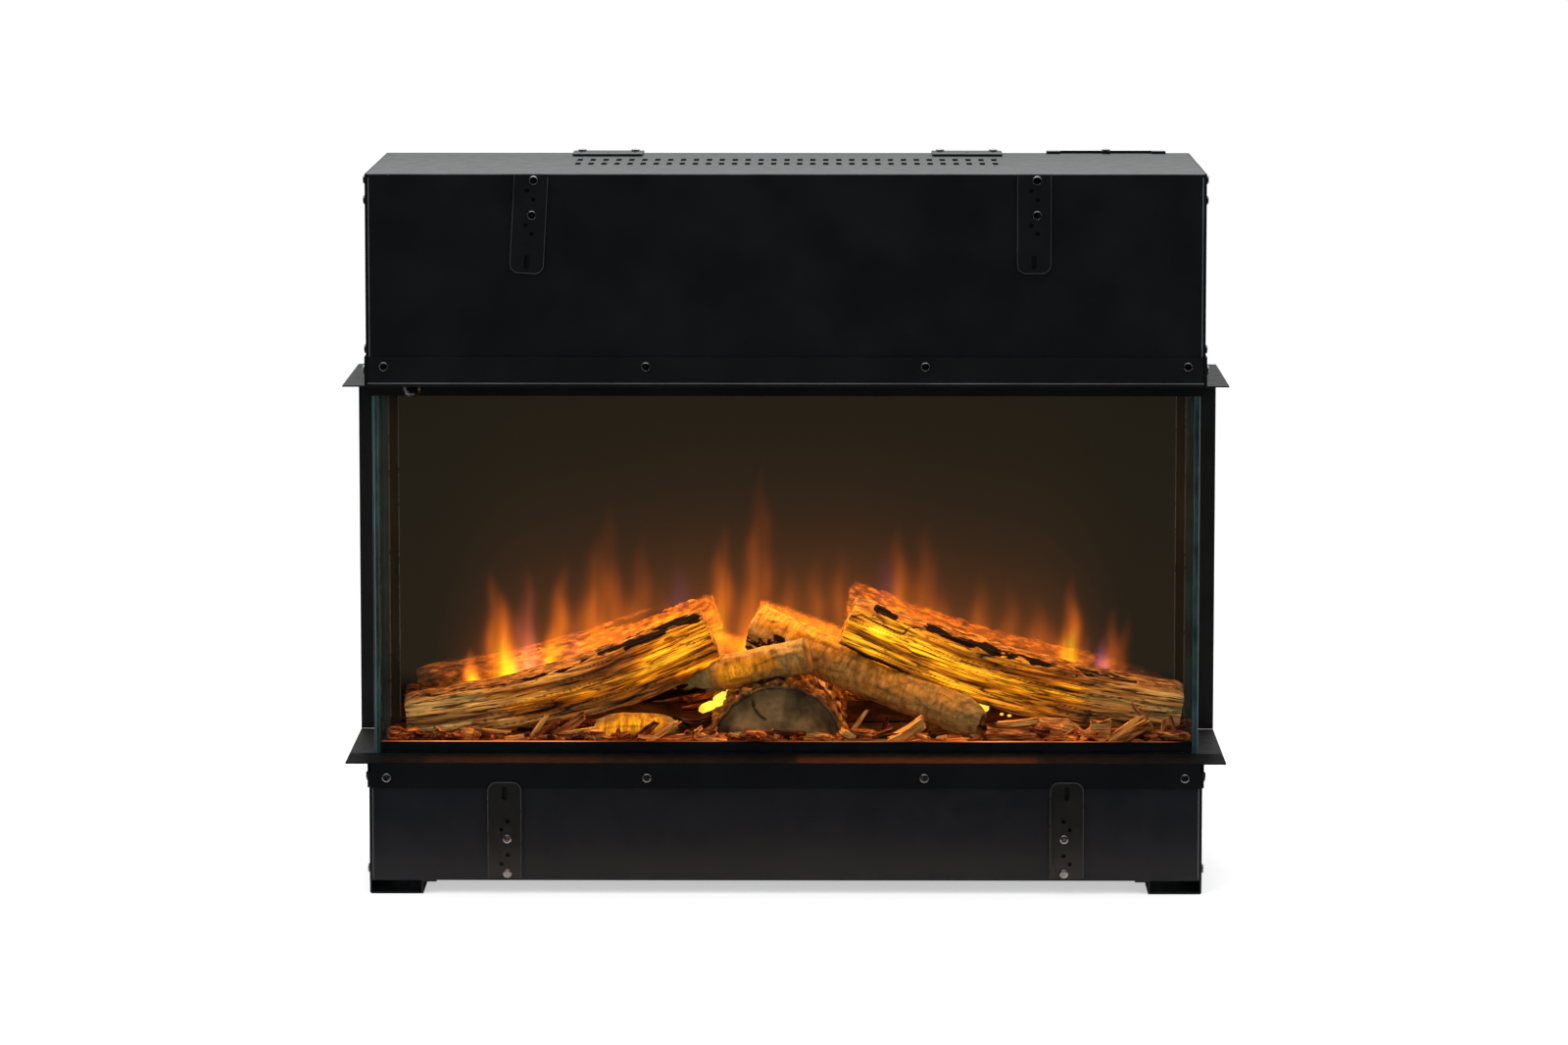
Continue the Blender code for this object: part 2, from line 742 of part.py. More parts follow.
def make_rear_posts():
    """Upright sections that close the chamber's rear corners and grip the screen."""
    post_inner = INNER_HALF - POST_WEB_INSET - POST_WIDTH
    web_outer = INNER_HALF - POST_WEB_INSET
    front = RETURN_DEPTH - SHEET
    groove_front = RETURN_DEPTH
    groove_rear = groove_front + SCREEN_GROOVE
    rear = groove_rear + SHEET
    section = [
        (post_inner, front),
        (INNER_HALF, front),
        (INNER_HALF, groove_front),
        (web_outer, groove_front),
        (web_outer, rear),
        (post_inner, rear),
        (post_inner, groove_rear),
        (web_outer - SHEET, groove_rear),
        (web_outer - SHEET, groove_front),
        (post_inner, groove_front),
    ]
    for side in (-1, 1):
        outline = [(side * x, depth(back)) for x, back in section]
        post = Prism(outline, "Z", CHANNEL_FOOT, SOFFIT_HEIGHT)
        piece(f"rear_post_{sided(side)}", "body_paint", post)
    screen_half = web_outer - SHEET - GAP
    piece(
        "flame_screen",
        "smoked_screen",
        Box(
            (-screen_half, groove_front + GAP, TRAY_FOOT),
            (screen_half, groove_front + GAP + SCREEN, SOFFIT_HEIGHT - GAP),
        ),
    )


def make_hearth():
    """The tray behind the glass, with light windows in its floor, and the ember bed."""
    section = [
        (depth(TRAY_FRONT), TRAY_FOOT),
        (depth(CHANNEL_REAR), TRAY_FOOT),
        (depth(CHANNEL_REAR), TRAY_TOP),
        (depth(TRAY_FRONT + SHEET), TRAY_TOP),
        (depth(TRAY_FRONT + SHEET), TRAY_FOOT + TRAY_LIP),
        (depth(TRAY_FRONT), TRAY_FOOT + TRAY_LIP),
    ]
    window_pitch = 2 * TRAY_HALF / TRAY_WINDOWS
    window_front = EMBER_BAR_SETBACK + (EMBER_BAR_DEPTH - TRAY_WINDOW_DEPTH) / 2
    windows = []
    for number in range(TRAY_WINDOWS):
        middle = (number - (TRAY_WINDOWS - 1) / 2) * window_pitch
        low = (middle - TRAY_WINDOW_LENGTH / 2, window_front, TRAY_FOOT - OVERRUN)
        rear = window_front + TRAY_WINDOW_DEPTH
        high = (middle + TRAY_WINDOW_LENGTH / 2, rear, TRAY_TOP + OVERRUN)
        windows.append(Box(low, high))
    piece(
        "hearth_tray",
        "body_paint",
        Prism(section, "X", -TRAY_HALF, TRAY_HALF),
        cut_together=windows,
    )
    make_ember_bed()
    make_ember_lamps()


def make_ember_bed():
    """A translucent bed whose top dips between its lumps."""
    columns, rows = 32, 6
    length_share, depth_share = 5.2, 2.3
    foot = TRAY_TOP + GAP
    rings = []
    for column in range(columns + 1):
        x = -BED_HALF + 2 * BED_HALF * column / columns
        ring = [(x, depth(BED_REAR), foot), (x, depth(BED_FRONT), foot)]
        for row in range(rows + 1):
            along = column / columns * length_share * math.tau
            back = row / rows * depth_share * math.tau
            dip = BED_HOLLOW * (1 - math.cos(along + back) * math.cos(along * 2 - back)) / 2
            y = depth(BED_FRONT + (BED_REAR - BED_FRONT) * row / rows)
            ring.append((x, y, BED_TOP - dip))
        rings.append(ring)
    piece("ember_bed", "ember_resin", Loft(rings))


def lamp_comb(half_length, count, base_back, base_front, lamp_front):
    """The outline of a bar with a row of lamps along one side, as x and the other axis."""
    outline = [(half_length, base_front), (half_length, base_back)]
    outline += [(-half_length, base_back), (-half_length, base_front)]
    pitch = 2 * half_length / count
    for number in range(count):
        middle = -half_length + (number + 1 / 2) * pitch
        outline += [
            (middle - LAMP_SIZE / 2, base_front),
            (middle - LAMP_SIZE / 2, lamp_front),
            (middle + LAMP_SIZE / 2, lamp_front),
            (middle + LAMP_SIZE / 2, base_front),
        ]
    return outline


def make_ember_lamps():
    """The lamp bar under the tray, with one lamp in each window."""
    outline = lamp_comb(
        TRAY_HALF,
        TRAY_WINDOWS,
        TRAY_FOOT - GAP - LAMP_BAR,
        TRAY_FOOT - GAP,
        TRAY_FOOT - GAP + LAMP_HEIGHT,
    )
    end_half = GROOVE_INNER - CHANNEL_WALL - GAP
    kept = [(max(-end_half, min(end_half, x)), z) for x, z in outline]
    rear = EMBER_BAR_SETBACK + EMBER_BAR_DEPTH
    bar = Prism(kept, "Y", depth(EMBER_BAR_SETBACK), depth(rear))
    piece("ember_lamp_bar", "aluminium_bar", bar)


# The pile of logs. A route's points are shares of the half width of the hearth, of its
# depth from the tray's lip to the screen, and of the pile's height over the ember bed.


@dataclass(frozen=True)
class Log:
    """One log: its route, its section, and its width and height as shares of LOG_SIZE."""

    name: str
    finish: str
    section: str
    route_shares: tuple
    width_shares: tuple
    height_shares: tuple
    bark_share: float = 0.03


SPLIT_FACE_FRONT_SHARES = (
    (-0.50, -0.46),
    (-0.47, -0.20),
    (-0.49, 0.06),
    (-0.44, 0.34),
    (-0.36, 0.42),
    (-0.10, 0.49),
    (0.20, 0.53),
    (0.42, 0.46),
    (0.50, 0.26),
    (0.46, 0.02),
    (0.32, -0.18),
    (0.10, -0.36),
    (-0.16, -0.48),
    (-0.40, -0.52),
)
ROUND_SIDES = 14
HALF_ROUND_SIDES = 12
DOME_POWER = 1.4

SPLIT_LEFT = Log(
    "log_split_left",
    "split_wood",
    "split",
    (
        (-0.950, 0.37, 0.125),
        (-0.700, 0.36, 0.230),
        (-0.484, 0.36, 0.355),
        (-0.333, 0.37, 0.510),
        (-0.185, 0.38, 0.685),
    ),
    (0.84, 0.90, 0.94, 0.92, 0.84),
    (0.80, 0.88, 1.06, 1.08, 0.96),
)
SPLIT_RIGHT = Log(
    "log_split_right",
    "split_wood",
    "split",
    (
        (0.152, 0.39, 0.790),
        (0.326, 0.39, 0.595),
        (0.490, 0.39, 0.435),
        (0.700, 0.40, 0.295),
        (0.985, 0.42, 0.170),
    ),
    (0.76, 0.86, 0.92, 0.94, 0.88),
    (0.90, 1.06, 1.10, 1.06, 0.92),
)
BIRCH_LONG = Log(
    "log_birch_long",
    "birch",
    "round",
    ((-0.077, 0.69, 0.690), (0.210, 0.410, 0.395), (0.490, 0.140, 0.105)),
    (0.92, 0.82, 0.72),
    (0.92, 0.82, 0.72),
)
BIRCH_BRANCH = Log(
    "log_birch_branch",
    "birch",
    "round",
    ((-0.395, 0.61, 0.285), (-0.155, 0.30, 0.440), (0.055, 0.18, 0.580)),
    (0.62, 0.66, 0.62),
    (0.62, 0.66, 0.62),
)
HALF_ROUND = Log(
    "log_half_round",
    "bark",
    "half",
    ((-0.020, 0.110, 0.0), (-0.020, 0.790, 0.0)),
    (2.64, 2.48),
    (1.14, 1.36),
)
BIRCH_LOW = Log(
    "log_birch_low",
    "birch",
    "round",
    ((-0.480, 0.155, 0.075), (-0.265, 0.165, 0.085)),
    (0.56, 0.52),
    (0.60, 0.54),
)


def section_shares(kind):
    """A log's outline, as shares of its width and its height."""
    if kind == "split":
        return SPLIT_FACE_FRONT_SHARES
    if kind == "half":
        angles = [math.pi * number / HALF_ROUND_SIDES for number in range(HALF_ROUND_SIDES + 1)]
        return [(-math.cos(angle) / 2, math.sin(angle) ** DOME_POWER) for angle in angles]
    angles = [math.tau * number / ROUND_SIDES for number in range(ROUND_SIDES)]
    return [(-math.cos(angle) / 2, math.sin(angle) / 2) for angle in angles]


def on_curve(values, share):
    """A smooth value, or point, at a share of the way through a list of them."""
    spans = len(values) - 1
    index = min(int(share * spans), spans - 1)
    t = share * spans - index
    before = values[max(index - 1, 0)]
    start = values[index]
    end = values[index + 1]
    after = values[min(index + 2, spans)]
    return (
        start
        + (end - before) / 2 * t
        + (before - start * 5 / 2 + end * 2 - after / 2) * t**2
        + ((after - before) / 2 + (start - end) * 3 / 2) * t**3
    )


def log_shape(log, grown=0.0, stations=9):
    """A log's skin. A positive growth makes the seat that a crossing log needs."""
    hearth_depth = CHANNEL_REAR - TRAY_FRONT
    route = [
        Vector(
            (
                x_share * TRAY_HALF,
                depth(TRAY_FRONT + y_share * hearth_depth),
                BED_TOP + z_share * PILE_HEIGHT,
            )
        )
        for x_share, y_share, z_share in log.route_shares
    ]
    outline = section_shares(log.section)
    rings = []
    for station in range(stations):
        share = station / (stations - 1)
        centre = on_curve(route, share)
        ahead = on_curve(route, min(share + 1 / stations, 1))
        behind = on_curve(route, max(share - 1 / stations, 0))
        along = (ahead - behind).normalized()
        sideways = Vector((0, 0, 1)).cross(along).normalized()
        upwards = along.cross(sideways)
        if station in (0, stations - 1):
            centre = centre + along * (grown if station else -grown)
        width = LOG_SIZE * on_curve(log.width_shares, share) + 2 * grown
        height = LOG_SIZE * on_curve(log.height_shares, share) + 2 * grown
        ring = []
        for number, (width_share, height_share) in enumerate(outline):
            ripple = 1 + log.bark_share * math.sin(number * 2.3 + station * 1.7)
            ring.append(
                centre
                + sideways * (width_share * width * ripple)
                + upwards * (height_share * height * ripple)
            )
        rings.append(ring)
    return Loft(rings)


def make_logs():
    """The moulded logs, each with seats where it lies on the bed or on another log."""
    floor_cut = Box(
        (-BODY_HALF, 0, BED_TOP - PILE_HEIGHT), (BODY_HALF, BODY_DEPTH, BED_TOP + GAP)
    )
    seats = (
        (HALF_ROUND, ()),
        (BIRCH_LOW, ()),
        (BIRCH_BRANCH, (HALF_ROUND, BIRCH_LOW)),
        (BIRCH_LONG, (HALF_ROUND, BIRCH_BRANCH)),
        (SPLIT_LEFT, (BIRCH_BRANCH, BIRCH_LOW, HALF_ROUND)),
        (SPLIT_RIGHT, (BIRCH_LONG,)),
    )
    for log, under in seats:
        cut = [log_shape(other, grown=LOG_SEAT) for other in under]
        piece(log.name, log.finish, log_shape(log), cut=[floor_cut, *cut], smooth=True)


def bore_radius(sides=24):
    """The corner radius of a faceted bore that clears the shaft at its flats."""
    return (SHAFT_RADIUS + SHAFT_CLEARANCE) / math.cos(math.pi / sides)


def make_flame_engine():
    """The mirrored rotor behind the screen, its motor, bearing and lamp bar."""
    axis = (depth(ROTOR_DEPTH), ROTOR_HEIGHT)
    rotor_end = ROTOR_HALF_LENGTH + JOURNAL
    rings = []
    stations = 10 * ROTOR_TURNS
    corners = 8
    half_blade = ROTOR_BLADE / 2
    star = []
    for tip in range(corners // 2):
        angle = math.tau * tip / (corners // 2)
        out = Vector((math.cos(angle), math.sin(angle)))
        side = Vector((-out.y, out.x))
        star.append(out * ROTOR_RADIUS - side * half_blade)
        star.append(out * ROTOR_RADIUS + side * half_blade)
        star.append((out + side).normalized() * SHAFT_RADIUS)
    round_end = []
    for number in range(len(star)):
        angle = math.tau * (number - 1 / 2) / len(star)
        round_end.append(Vector((math.cos(angle), math.sin(angle))) * SHAFT_RADIUS)

    def ring(points, x, turn):
        cosine, sine = math.cos(turn), math.sin(turn)
        return [
            (x, axis[0] + p.x * cosine - p.y * sine, axis[1] + p.x * sine + p.y * cosine)
            for p in points
        ]

    rings.append(ring(round_end, -rotor_end, 0))
    rings.append(ring(round_end, -ROTOR_HALF_LENGTH, 0))
    for station in range(stations + 1):
        share = station / stations
        x = (2 * share - 1) * (ROTOR_HALF_LENGTH - ROTOR_TAPER)
        rings.append(ring(star, x, share * ROTOR_TURNS * math.tau / 4))
    last_turn = ROTOR_TURNS * math.tau / 4
    rings.append(ring(round_end, ROTOR_HALF_LENGTH, last_turn))
    rings.append(ring(round_end, rotor_end, last_turn))
    rotor = piece("flame_rotor", "polished_steel", Loft(rings))
    move_origin(rotor, (0, *axis))

    motor_face = rotor_end - ROTOR_SOCKET
    motor_back = motor_face + ROTOR_MOTOR_LENGTH
    lug = Box(
        (motor_face, ROTOR_DEPTH, ROTOR_HEIGHT - BEARING_HALF_HEIGHT),
        (motor_back, INNER_REAR, ROTOR_HEIGHT + BEARING_HALF_HEIGHT),
    )
    piece(
        "rotor_motor",
        "motor_can",
        Prism(circle(axis, ROTOR_MOTOR_RADIUS), "X", motor_face, motor_back),
        joined=[lug],
        cut=[
            Prism(circle(axis, bore_radius()), "X", motor_face - OVERRUN, rotor_end + GAP)
        ],
        smooth=True,
    )
    plate_inner = -rotor_end + ROTOR_SOCKET / 2
    plate = Box(
        (
            plate_inner - BEARING_PLATE,
            ROTOR_DEPTH - BEARING_HALF_HEIGHT,
            ROTOR_HEIGHT - BEARING_HALF_HEIGHT,
        ),
        (plate_inner, INNER_REAR, ROTOR_HEIGHT + BEARING_HALF_HEIGHT),
    )
    foot = Box(
        (
            plate_inner - BEARING_PLATE,
            INNER_REAR - SHEET,
            ROTOR_HEIGHT - BEARING_HALF_HEIGHT,
        ),
        (
            plate_inner - BEARING_PLATE + BEARING_FOOT,
            INNER_REAR,
            ROTOR_HEIGHT + BEARING_HALF_HEIGHT,
        ),
    )
    piece(
        "rotor_bearing",
        "galvanised_steel",
        plate,
        joined=[foot],
        cut=[
            Prism(
                circle(axis, bore_radius()),
                "X",
                plate_inner - BEARING_PLATE - OVERRUN,
                plate_inner + OVERRUN,
            )
        ],
    )
    bar_middle = ROTOR_HEIGHT - LAMP_BAR_DROP
    outline = lamp_comb(
        ROTOR_HALF_LENGTH,
        LAMP_COUNT,
        depth(INNER_REAR),
        depth(INNER_REAR - LAMP_BAR),
        depth(INNER_REAR - LAMP_BAR - LAMP_HEIGHT),
    )
    piece(
        "flame_lamp_bar",
        "aluminium_bar",
        Prism(
            outline, "Z", bar_middle - LAMP_BAR_HEIGHT / 2, bar_middle + LAMP_BAR_HEIGHT / 2
        ),
    )


@dataclass
class Drum:
    """A fan drum on its shaft, as one skin: three discs joined by blades at the rim.

    The drum is cut into slabs along the shaft, sectors round it and bands from the
    shaft outwards. Faces are laid only between a filled cell and an empty one.
    """

    centre: tuple
    shaft_end: float

    def add_to(self, mesh):
        middle = IMPELLER_DISC / 2
        end = IMPELLER_HALF_LENGTH
        inner = end - IMPELLER_DISC
        self.planes = [-self.shaft_end, -end, -inner, -middle, middle, inner, end, self.shaft_end]
        self.radii = [SHAFT_RADIUS, IMPELLER_RADIUS - IMPELLER_RIM, IMPELLER_RADIUS]
        self.sectors = 2 * IMPELLER_BLADES
        self.corners = {}
        last = len(self.planes) - 1
        for plane in (0, last):
            mesh.faces.new([self.corner(mesh, plane, 0, s) for s in range(self.sectors)])
        for slab in range(last):
            for sector in range(self.sectors):
                if not self.is_filled(slab, 0, sector):
                    self.add_wall(mesh, slab, 0, sector)
                for band in (0, 1):
                    if self.is_filled(slab, band, sector):
                        self.add_cell(mesh, slab, band, sector)

    def is_filled(self, slab, band, sector):
        """Whether a disc or, at the rim, a blade takes up this cell."""
        is_disc = slab in (1, 3, 5)
        is_blade = slab in (2, 4) and band == 1 and sector % 2 == 0
        return is_disc or is_blade

    def corner(self, mesh, plane, ring, sector):
        """The vertex where a plane, a radius and a sector's start meet."""
        key = (plane, ring, sector % self.sectors)
        if key not in self.corners:
            angle = math.tau * sector / self.sectors
            y = self.centre[0] + self.radii[ring] * math.cos(angle)
            z = self.centre[1] + self.radii[ring] * math.sin(angle)
            self.corners[key] = mesh.verts.new((self.planes[plane], y, z))
        return self.corners[key]

    def add_wall(self, mesh, slab, ring, sector):
        """A face along the shaft at one radius."""
        places = ((slab, sector), (slab + 1, sector), (slab + 1, sector + 1), (slab, sector + 1))
        mesh.faces.new([self.corner(mesh, plane, ring, s) for plane, s in places])

    def add_cell(self, mesh, slab, band, sector):
        """The faces of one filled cell that look into an empty one."""
        after = sector + 1
        for plane, beside in ((slab, slab - 1), (slab + 1, slab + 1)):
            if not self.is_filled(beside, band, sector):
                places = ((band, sector), (band + 1, sector), (band + 1, after), (band, after))
                mesh.faces.new([self.corner(mesh, plane, ring, s) for ring, s in places])
        for edge, beside in ((sector, sector - 1), (after, after)):
            if not self.is_filled(slab, band, beside):
                places = ((slab, band), (slab + 1, band), (slab + 1, band + 1), (slab, band + 1))
                mesh.faces.new([self.corner(mesh, plane, ring, edge) for plane, ring in places])
        if band == 1 and not self.is_filled(slab, 0, sector):
            self.add_wall(mesh, slab, 1, sector)
        if band == 1:
            self.add_wall(mesh, slab, 2, sector)


def make_fan_heater():
    """The cross-flow fan, its scroll housing, its motor and the heating element."""
    centre = (depth(BLOWER_DEPTH), BLOWER_HEIGHT)
    shaft_end = IMPELLER_HALF_LENGTH + HOUSING_CLEARANCE + HOUSING_END + BLOWER_MOTOR_LENGTH / 2
    wheel = piece("blower_impeller", "aluminium_wheel", Drum(centre, shaft_end), smooth=True)
    move_origin(wheel, (0, *centre))

    scroll_radius = IMPELLER_RADIUS + SCROLL_GAP
    guide_angles = [math.radians(70 - step * 190 / 14) for step in range(15)]
    guide = [
        (centre[0] + scroll_radius * math.cos(a), centre[1] + scroll_radius * math.sin(a))
        for a in guide_angles
    ]
    guide.append((depth(DUCT_REAR), CEILING_TOP + GAP))
    outer = [
        (
            centre[0] + (scroll_radius + SHEET) * math.cos(a),
            centre[1] + (scroll_radius + SHEET) * math.sin(a),
        )
        for a in guide_angles
    ]
    outer.append((depth(DUCT_REAR + 2 * SHEET), CEILING_TOP + GAP))
    shoulder = CEILING_TOP + GAP + scroll_radius
    tongue_y = centre[0] - scroll_radius
    tongue_top = centre[1] + SCROLL_GAP
    tongue = [
        (depth(DUCT_FRONT), CEILING_TOP + GAP),
        (depth(DUCT_FRONT), shoulder),
        (tongue_y - SHEET, tongue_top),
        (tongue_y, tongue_top),
        (tongue_y, tongue_top - 2 * SHEET),
        (depth(DUCT_FRONT) + SHEET, shoulder - SHEET),
        (depth(DUCT_FRONT) + SHEET, CEILING_TOP + GAP),
    ]
    end_outline = [tongue[0], tongue[1], tongue[2]]
    end_outline += [outer[0], *outer[1:]]
    inner_x = IMPELLER_HALF_LENGTH + HOUSING_CLEARANCE
    outer_x = inner_x + HOUSING_END
    ends = [
        Prism(end_outline, "X", *across(side, inner_x, outer_x)) for side in (-1, 1)
    ]
    shaft_hole = circle(centre, bore_radius())
    piece(
        "blower_housing",
        "galvanised_steel",
        Prism(guide + outer[::-1], "X", -outer_x, outer_x),
        joined=[Prism(tongue, "X", -outer_x, outer_x), *ends],
        cut=[Prism(shaft_hole, "X", -outer_x - OVERRUN, outer_x + OVERRUN)],
        smooth=True,
    )
    motor_start = outer_x + GAP
    piece(
        "blower_motor",
        "motor_can",
        Prism(
            circle(centre, BLOWER_MOTOR_RADIUS), "X", motor_start, motor_start + BLOWER_MOTOR_LENGTH
        ),
        cut=[
            Prism(
                circle(centre, bore_radius()),
                "X",
                motor_start - OVERRUN,
                shaft_end + GAP,
            )
        ],
        smooth=True,
    )
    make_heating_element(inner_x)


def make_heating_element(inner_x):
    """A finned bar across the warm-air duct, on a leg at each end."""
    half = inner_x - HOUSING_CLEARANCE
    legs_foot = CEILING_TOP + GAP
    fin_foot = legs_foot + HEATER_LIFT
    bar_foot = fin_foot + HEATER_FIN_HEIGHT
    bar_top = bar_foot + HEATER_BAR
    outline = [(half, legs_foot), (half, bar_top), (-half, bar_top), (-half, legs_foot)]
    outline += [(-half + HEATER_LEG, legs_foot), (-half + HEATER_LEG, bar_foot)]
    span = 2 * (half - HEATER_LEG)
    for number in range(HEATER_FINS):
        middle = -half + HEATER_LEG + span * (number + 1 / 2) / HEATER_FINS
        outline += [
            (middle - HEATER_FIN / 2, bar_foot),
            (middle - HEATER_FIN / 2, fin_foot),
            (middle + HEATER_FIN / 2, fin_foot),
            (middle + HEATER_FIN / 2, bar_foot),
        ]
    outline += [(half - HEATER_LEG, bar_foot), (half - HEATER_LEG, legs_foot)]
    front = OUTLET_SETBACK + (OUTLET_LENGTH - HEATER_DEPTH) / 2
    piece(
        "heating_element",
        "heater_alloy",
        Prism(outline, "Y", depth(front), depth(front + HEATER_DEPTH)),
    )


def bracket_outline(free_end_up):
    """A flat bracket's outline, from its free end at zero to its fixed end."""
    half = BRACKET_WIDTH / 2
    inset = half - BRACKET_CORNER
    points = corner_arc((-inset, BRACKET_CORNER), BRACKET_CORNER, 180)
    points += corner_arc((inset, BRACKET_CORNER), BRACKET_CORNER, 270)
    points += [(half, BRACKET_LENGTH), (-half, BRACKET_LENGTH)]
    return [(x, -z if free_end_up else z) for x, z in points]


def make_front_bracket(name, x, free_end_z, free_end_up, front, tilt=0.0, hand=1):
    """A flat wall bracket on the front, with a slot and holes staggered to either hand."""
    up = -1 if free_end_up else 1
    rear = front + BRACKET_SHEET
    fixed_z = free_end_z + up * BRACKET_LENGTH
    cosine, sine = math.cos(tilt), math.sin(tilt)

    def placed(points):
        """The outline's points, turned about the middle of the bracket's fixed end."""
        turned = []
        for px, pz in points:
            dx, dz = px, free_end_z + pz - fixed_z
            turned.append((x + dx * cosine + dz * sine, fixed_z - dx * sine + dz * cosine))
        return turned

    slot_middle = up * (BRACKET_SLOT_START + BRACKET_SLOT_LENGTH / 2)
    outlines = [slot((0, slot_middle), BRACKET_SLOT_WIDTH, BRACKET_SLOT_LENGTH)]
    for number, share in enumerate(BRACKET_HOLE_SHARES):
        offset = hand * BRACKET_STAGGER * (1 if number % 2 == 0 else -1)
        outlines.append(circle((offset, up * share * BRACKET_LENGTH), BRACKET_HOLE_RADIUS, 10))
    holes = [
        Prism(placed(outline), "Y", depth(front - OVERRUN), depth(rear + OVERRUN))
        for outline in outlines
    ]
    plate = Prism(placed(bracket_outline(free_end_up)), "Y", depth(front), depth(rear))
    piece(name, "bracket_paint", plate, cut_together=holes)


def make_top_bracket(side):
    """A bracket on the top panel that folds down over the back."""
    half = TOP_BRACKET_WIDTH / 2
    middle = side * TOP_BRACKET_OFFSET
    front = BODY_DEPTH - TOP_BRACKET_DEPTH
    foot = TOP_HEIGHT + GAP
    top = foot + BRACKET_SHEET
    rear = BODY_DEPTH + GAP + BRACKET_SHEET
    inset = half - TOP_BRACKET_CORNER
    round_y = depth(front + TOP_BRACKET_CORNER)
    outline = corner_arc((middle - inset, round_y), TOP_BRACKET_CORNER, 180)
    outline += corner_arc((middle + inset, round_y), TOP_BRACKET_CORNER, 270)
    outline += [(middle + half, depth(rear)), (middle - half, depth(rear))]
    leg = Box(
        (middle - half, BODY_DEPTH + GAP, foot - TOP_BRACKET_LEG), (middle + half, rear, top)
    )
    holes = []
    leg_holes = []
    for step in (-1, 0, 1):
        x = middle + step * TOP_BRACKET_HOLE_SPACING
        place = (x, depth(front + TOP_BRACKET_HOLE_ROW))
        holes.append(
            Prism(circle(place, BRACKET_HOLE_RADIUS, 10), "Z", foot - OVERRUN, top + OVERRUN)
        )
        leg_place = (x, foot - TOP_BRACKET_LEG / 2)
        leg_holes.append(
            Prism(
                slot(leg_place, BRACKET_SLOT_WIDTH, BRACKET_SLOT_LENGTH),
                "Y",
                depth(BODY_DEPTH - OVERRUN),
                depth(rear + OVERRUN),
            )
        )
    piece(
        f"bracket_top_{sided(side)}",
        "bracket_paint",
        Prism(outline, "Z", foot, top),
        joined=[leg],
        cut_together=holes + leg_holes,
    )


def make_brackets():
    """The six wall brackets."""
    on_panel = -GAP - BRACKET_SHEET
    on_strip = on_panel - SHEET - GAP
    upper_free_end = UPPER_BRACKET_TOP - BRACKET_LENGTH
    make_front_bracket(
        "bracket_upper_left",
        UPPER_BRACKET_LEFT,
        upper_free_end,
        False,
        on_panel,
        UPPER_LEFT_TILT,
    )
    make_front_bracket(
        "bracket_upper_right", UPPER_BRACKET_RIGHT, upper_free_end, False, on_panel
    )
    for side in (-1, 1):
        x = side * LOWER_BRACKET_OFFSET
        make_front_bracket(
            f"bracket_lower_{sided(side)}", x, LOWER_BRACKET_TOP, True, on_strip, hand=-side
        )
        make_top_bracket(side)


def make_receiver_dome():
    """The remote control's receiver, a dark dome under the soffit."""
    flange_top = SOFFIT_HEIGHT - SHEET - GAP
    centre_z = flange_top - DOME_RIM
    sides, steps = 20, 6
    heights = [(DOME_RADIUS, flange_top)]
    for step in range(steps):
        angle = math.pi / 2 * step / steps
        heights.append((DOME_RADIUS * math.cos(angle), centre_z - DOME_RADIUS * math.sin(angle)))
    centre = (-DOME_OFFSET, depth(DOME_SETBACK))
    rings = [[(x, y, z) for x, y in circle(centre, radius, sides)] for radius, z in heights]
    piece("receiver_dome", "dark_lens", Loft(rings), smooth=True)


def make_power_switch():
    """The mains switch: a body with a pocket, and the rocker that tips in it."""
    bezel_top = SOFFIT_HEIGHT - SHEET - GAP
    bezel_foot = bezel_top - SWITCH_BEZEL
    bezel = Box(
        (SWITCH_OFFSET - SWITCH_LENGTH / 2, SWITCH_SETBACK - SWITCH_WIDTH / 2, bezel_foot),
        (SWITCH_OFFSET + SWITCH_LENGTH / 2, SWITCH_SETBACK + SWITCH_WIDTH / 2, bezel_top),
    )
    body_half = (SWITCH_LENGTH / 2 - SWITCH_BORDER, SWITCH_WIDTH / 2 - SWITCH_BORDER)
    pocket_half = (body_half[0] - SHEET, body_half[1] - SHEET)
    body = Box(
        (SWITCH_OFFSET - body_half[0], SWITCH_SETBACK - body_half[1], bezel_foot),
        (
            SWITCH_OFFSET + body_half[0],
            SWITCH_SETBACK + body_half[1],
            bezel_foot + SWITCH_BODY_HEIGHT,
        ),
    )
    pocket = Box(
        (
            SWITCH_OFFSET - pocket_half[0],
            SWITCH_SETBACK - pocket_half[1],
            bezel_foot - OVERRUN,
        ),
        (
            SWITCH_OFFSET + pocket_half[0],
            SWITCH_SETBACK + pocket_half[1],
            bezel_foot + SWITCH_POCKET_DEPTH,
        ),
    )
    piece("power_switch_body", "black_plastic", bezel, joined=[body], cut=[pocket])
    half = pocket_half[0] - 2 * GAP
    shoulder = ROCKER_HUB / 4
    section = [
        (-half, -ROCKER_PROUD),
        (0, -ROCKER_PROUD + ROCKER_DIP),
        (half, -ROCKER_PROUD),
        (half, shoulder),
        (ROCKER_HUB, ROCKER_HUB),
        (-ROCKER_HUB, ROCKER_HUB),
        (-half, shoulder),
    ]
    cosine, sine = math.cos(ROCKER_TILT), math.sin(ROCKER_TILT)
    turned = [
        (SWITCH_OFFSET + x * cosine + z * sine, bezel_foot - x * sine + z * cosine)
        for x, z in section
    ]
    reach = pocket_half[1] - GAP
    rocker = piece(
        "power_switch_rocker",
        "black_plastic",
        Prism(
            turned, "Y", depth(SWITCH_SETBACK - reach), depth(SWITCH_SETBACK + reach)
        ),
    )
    move_origin(rocker, (SWITCH_OFFSET, depth(SWITCH_SETBACK), bezel_foot))


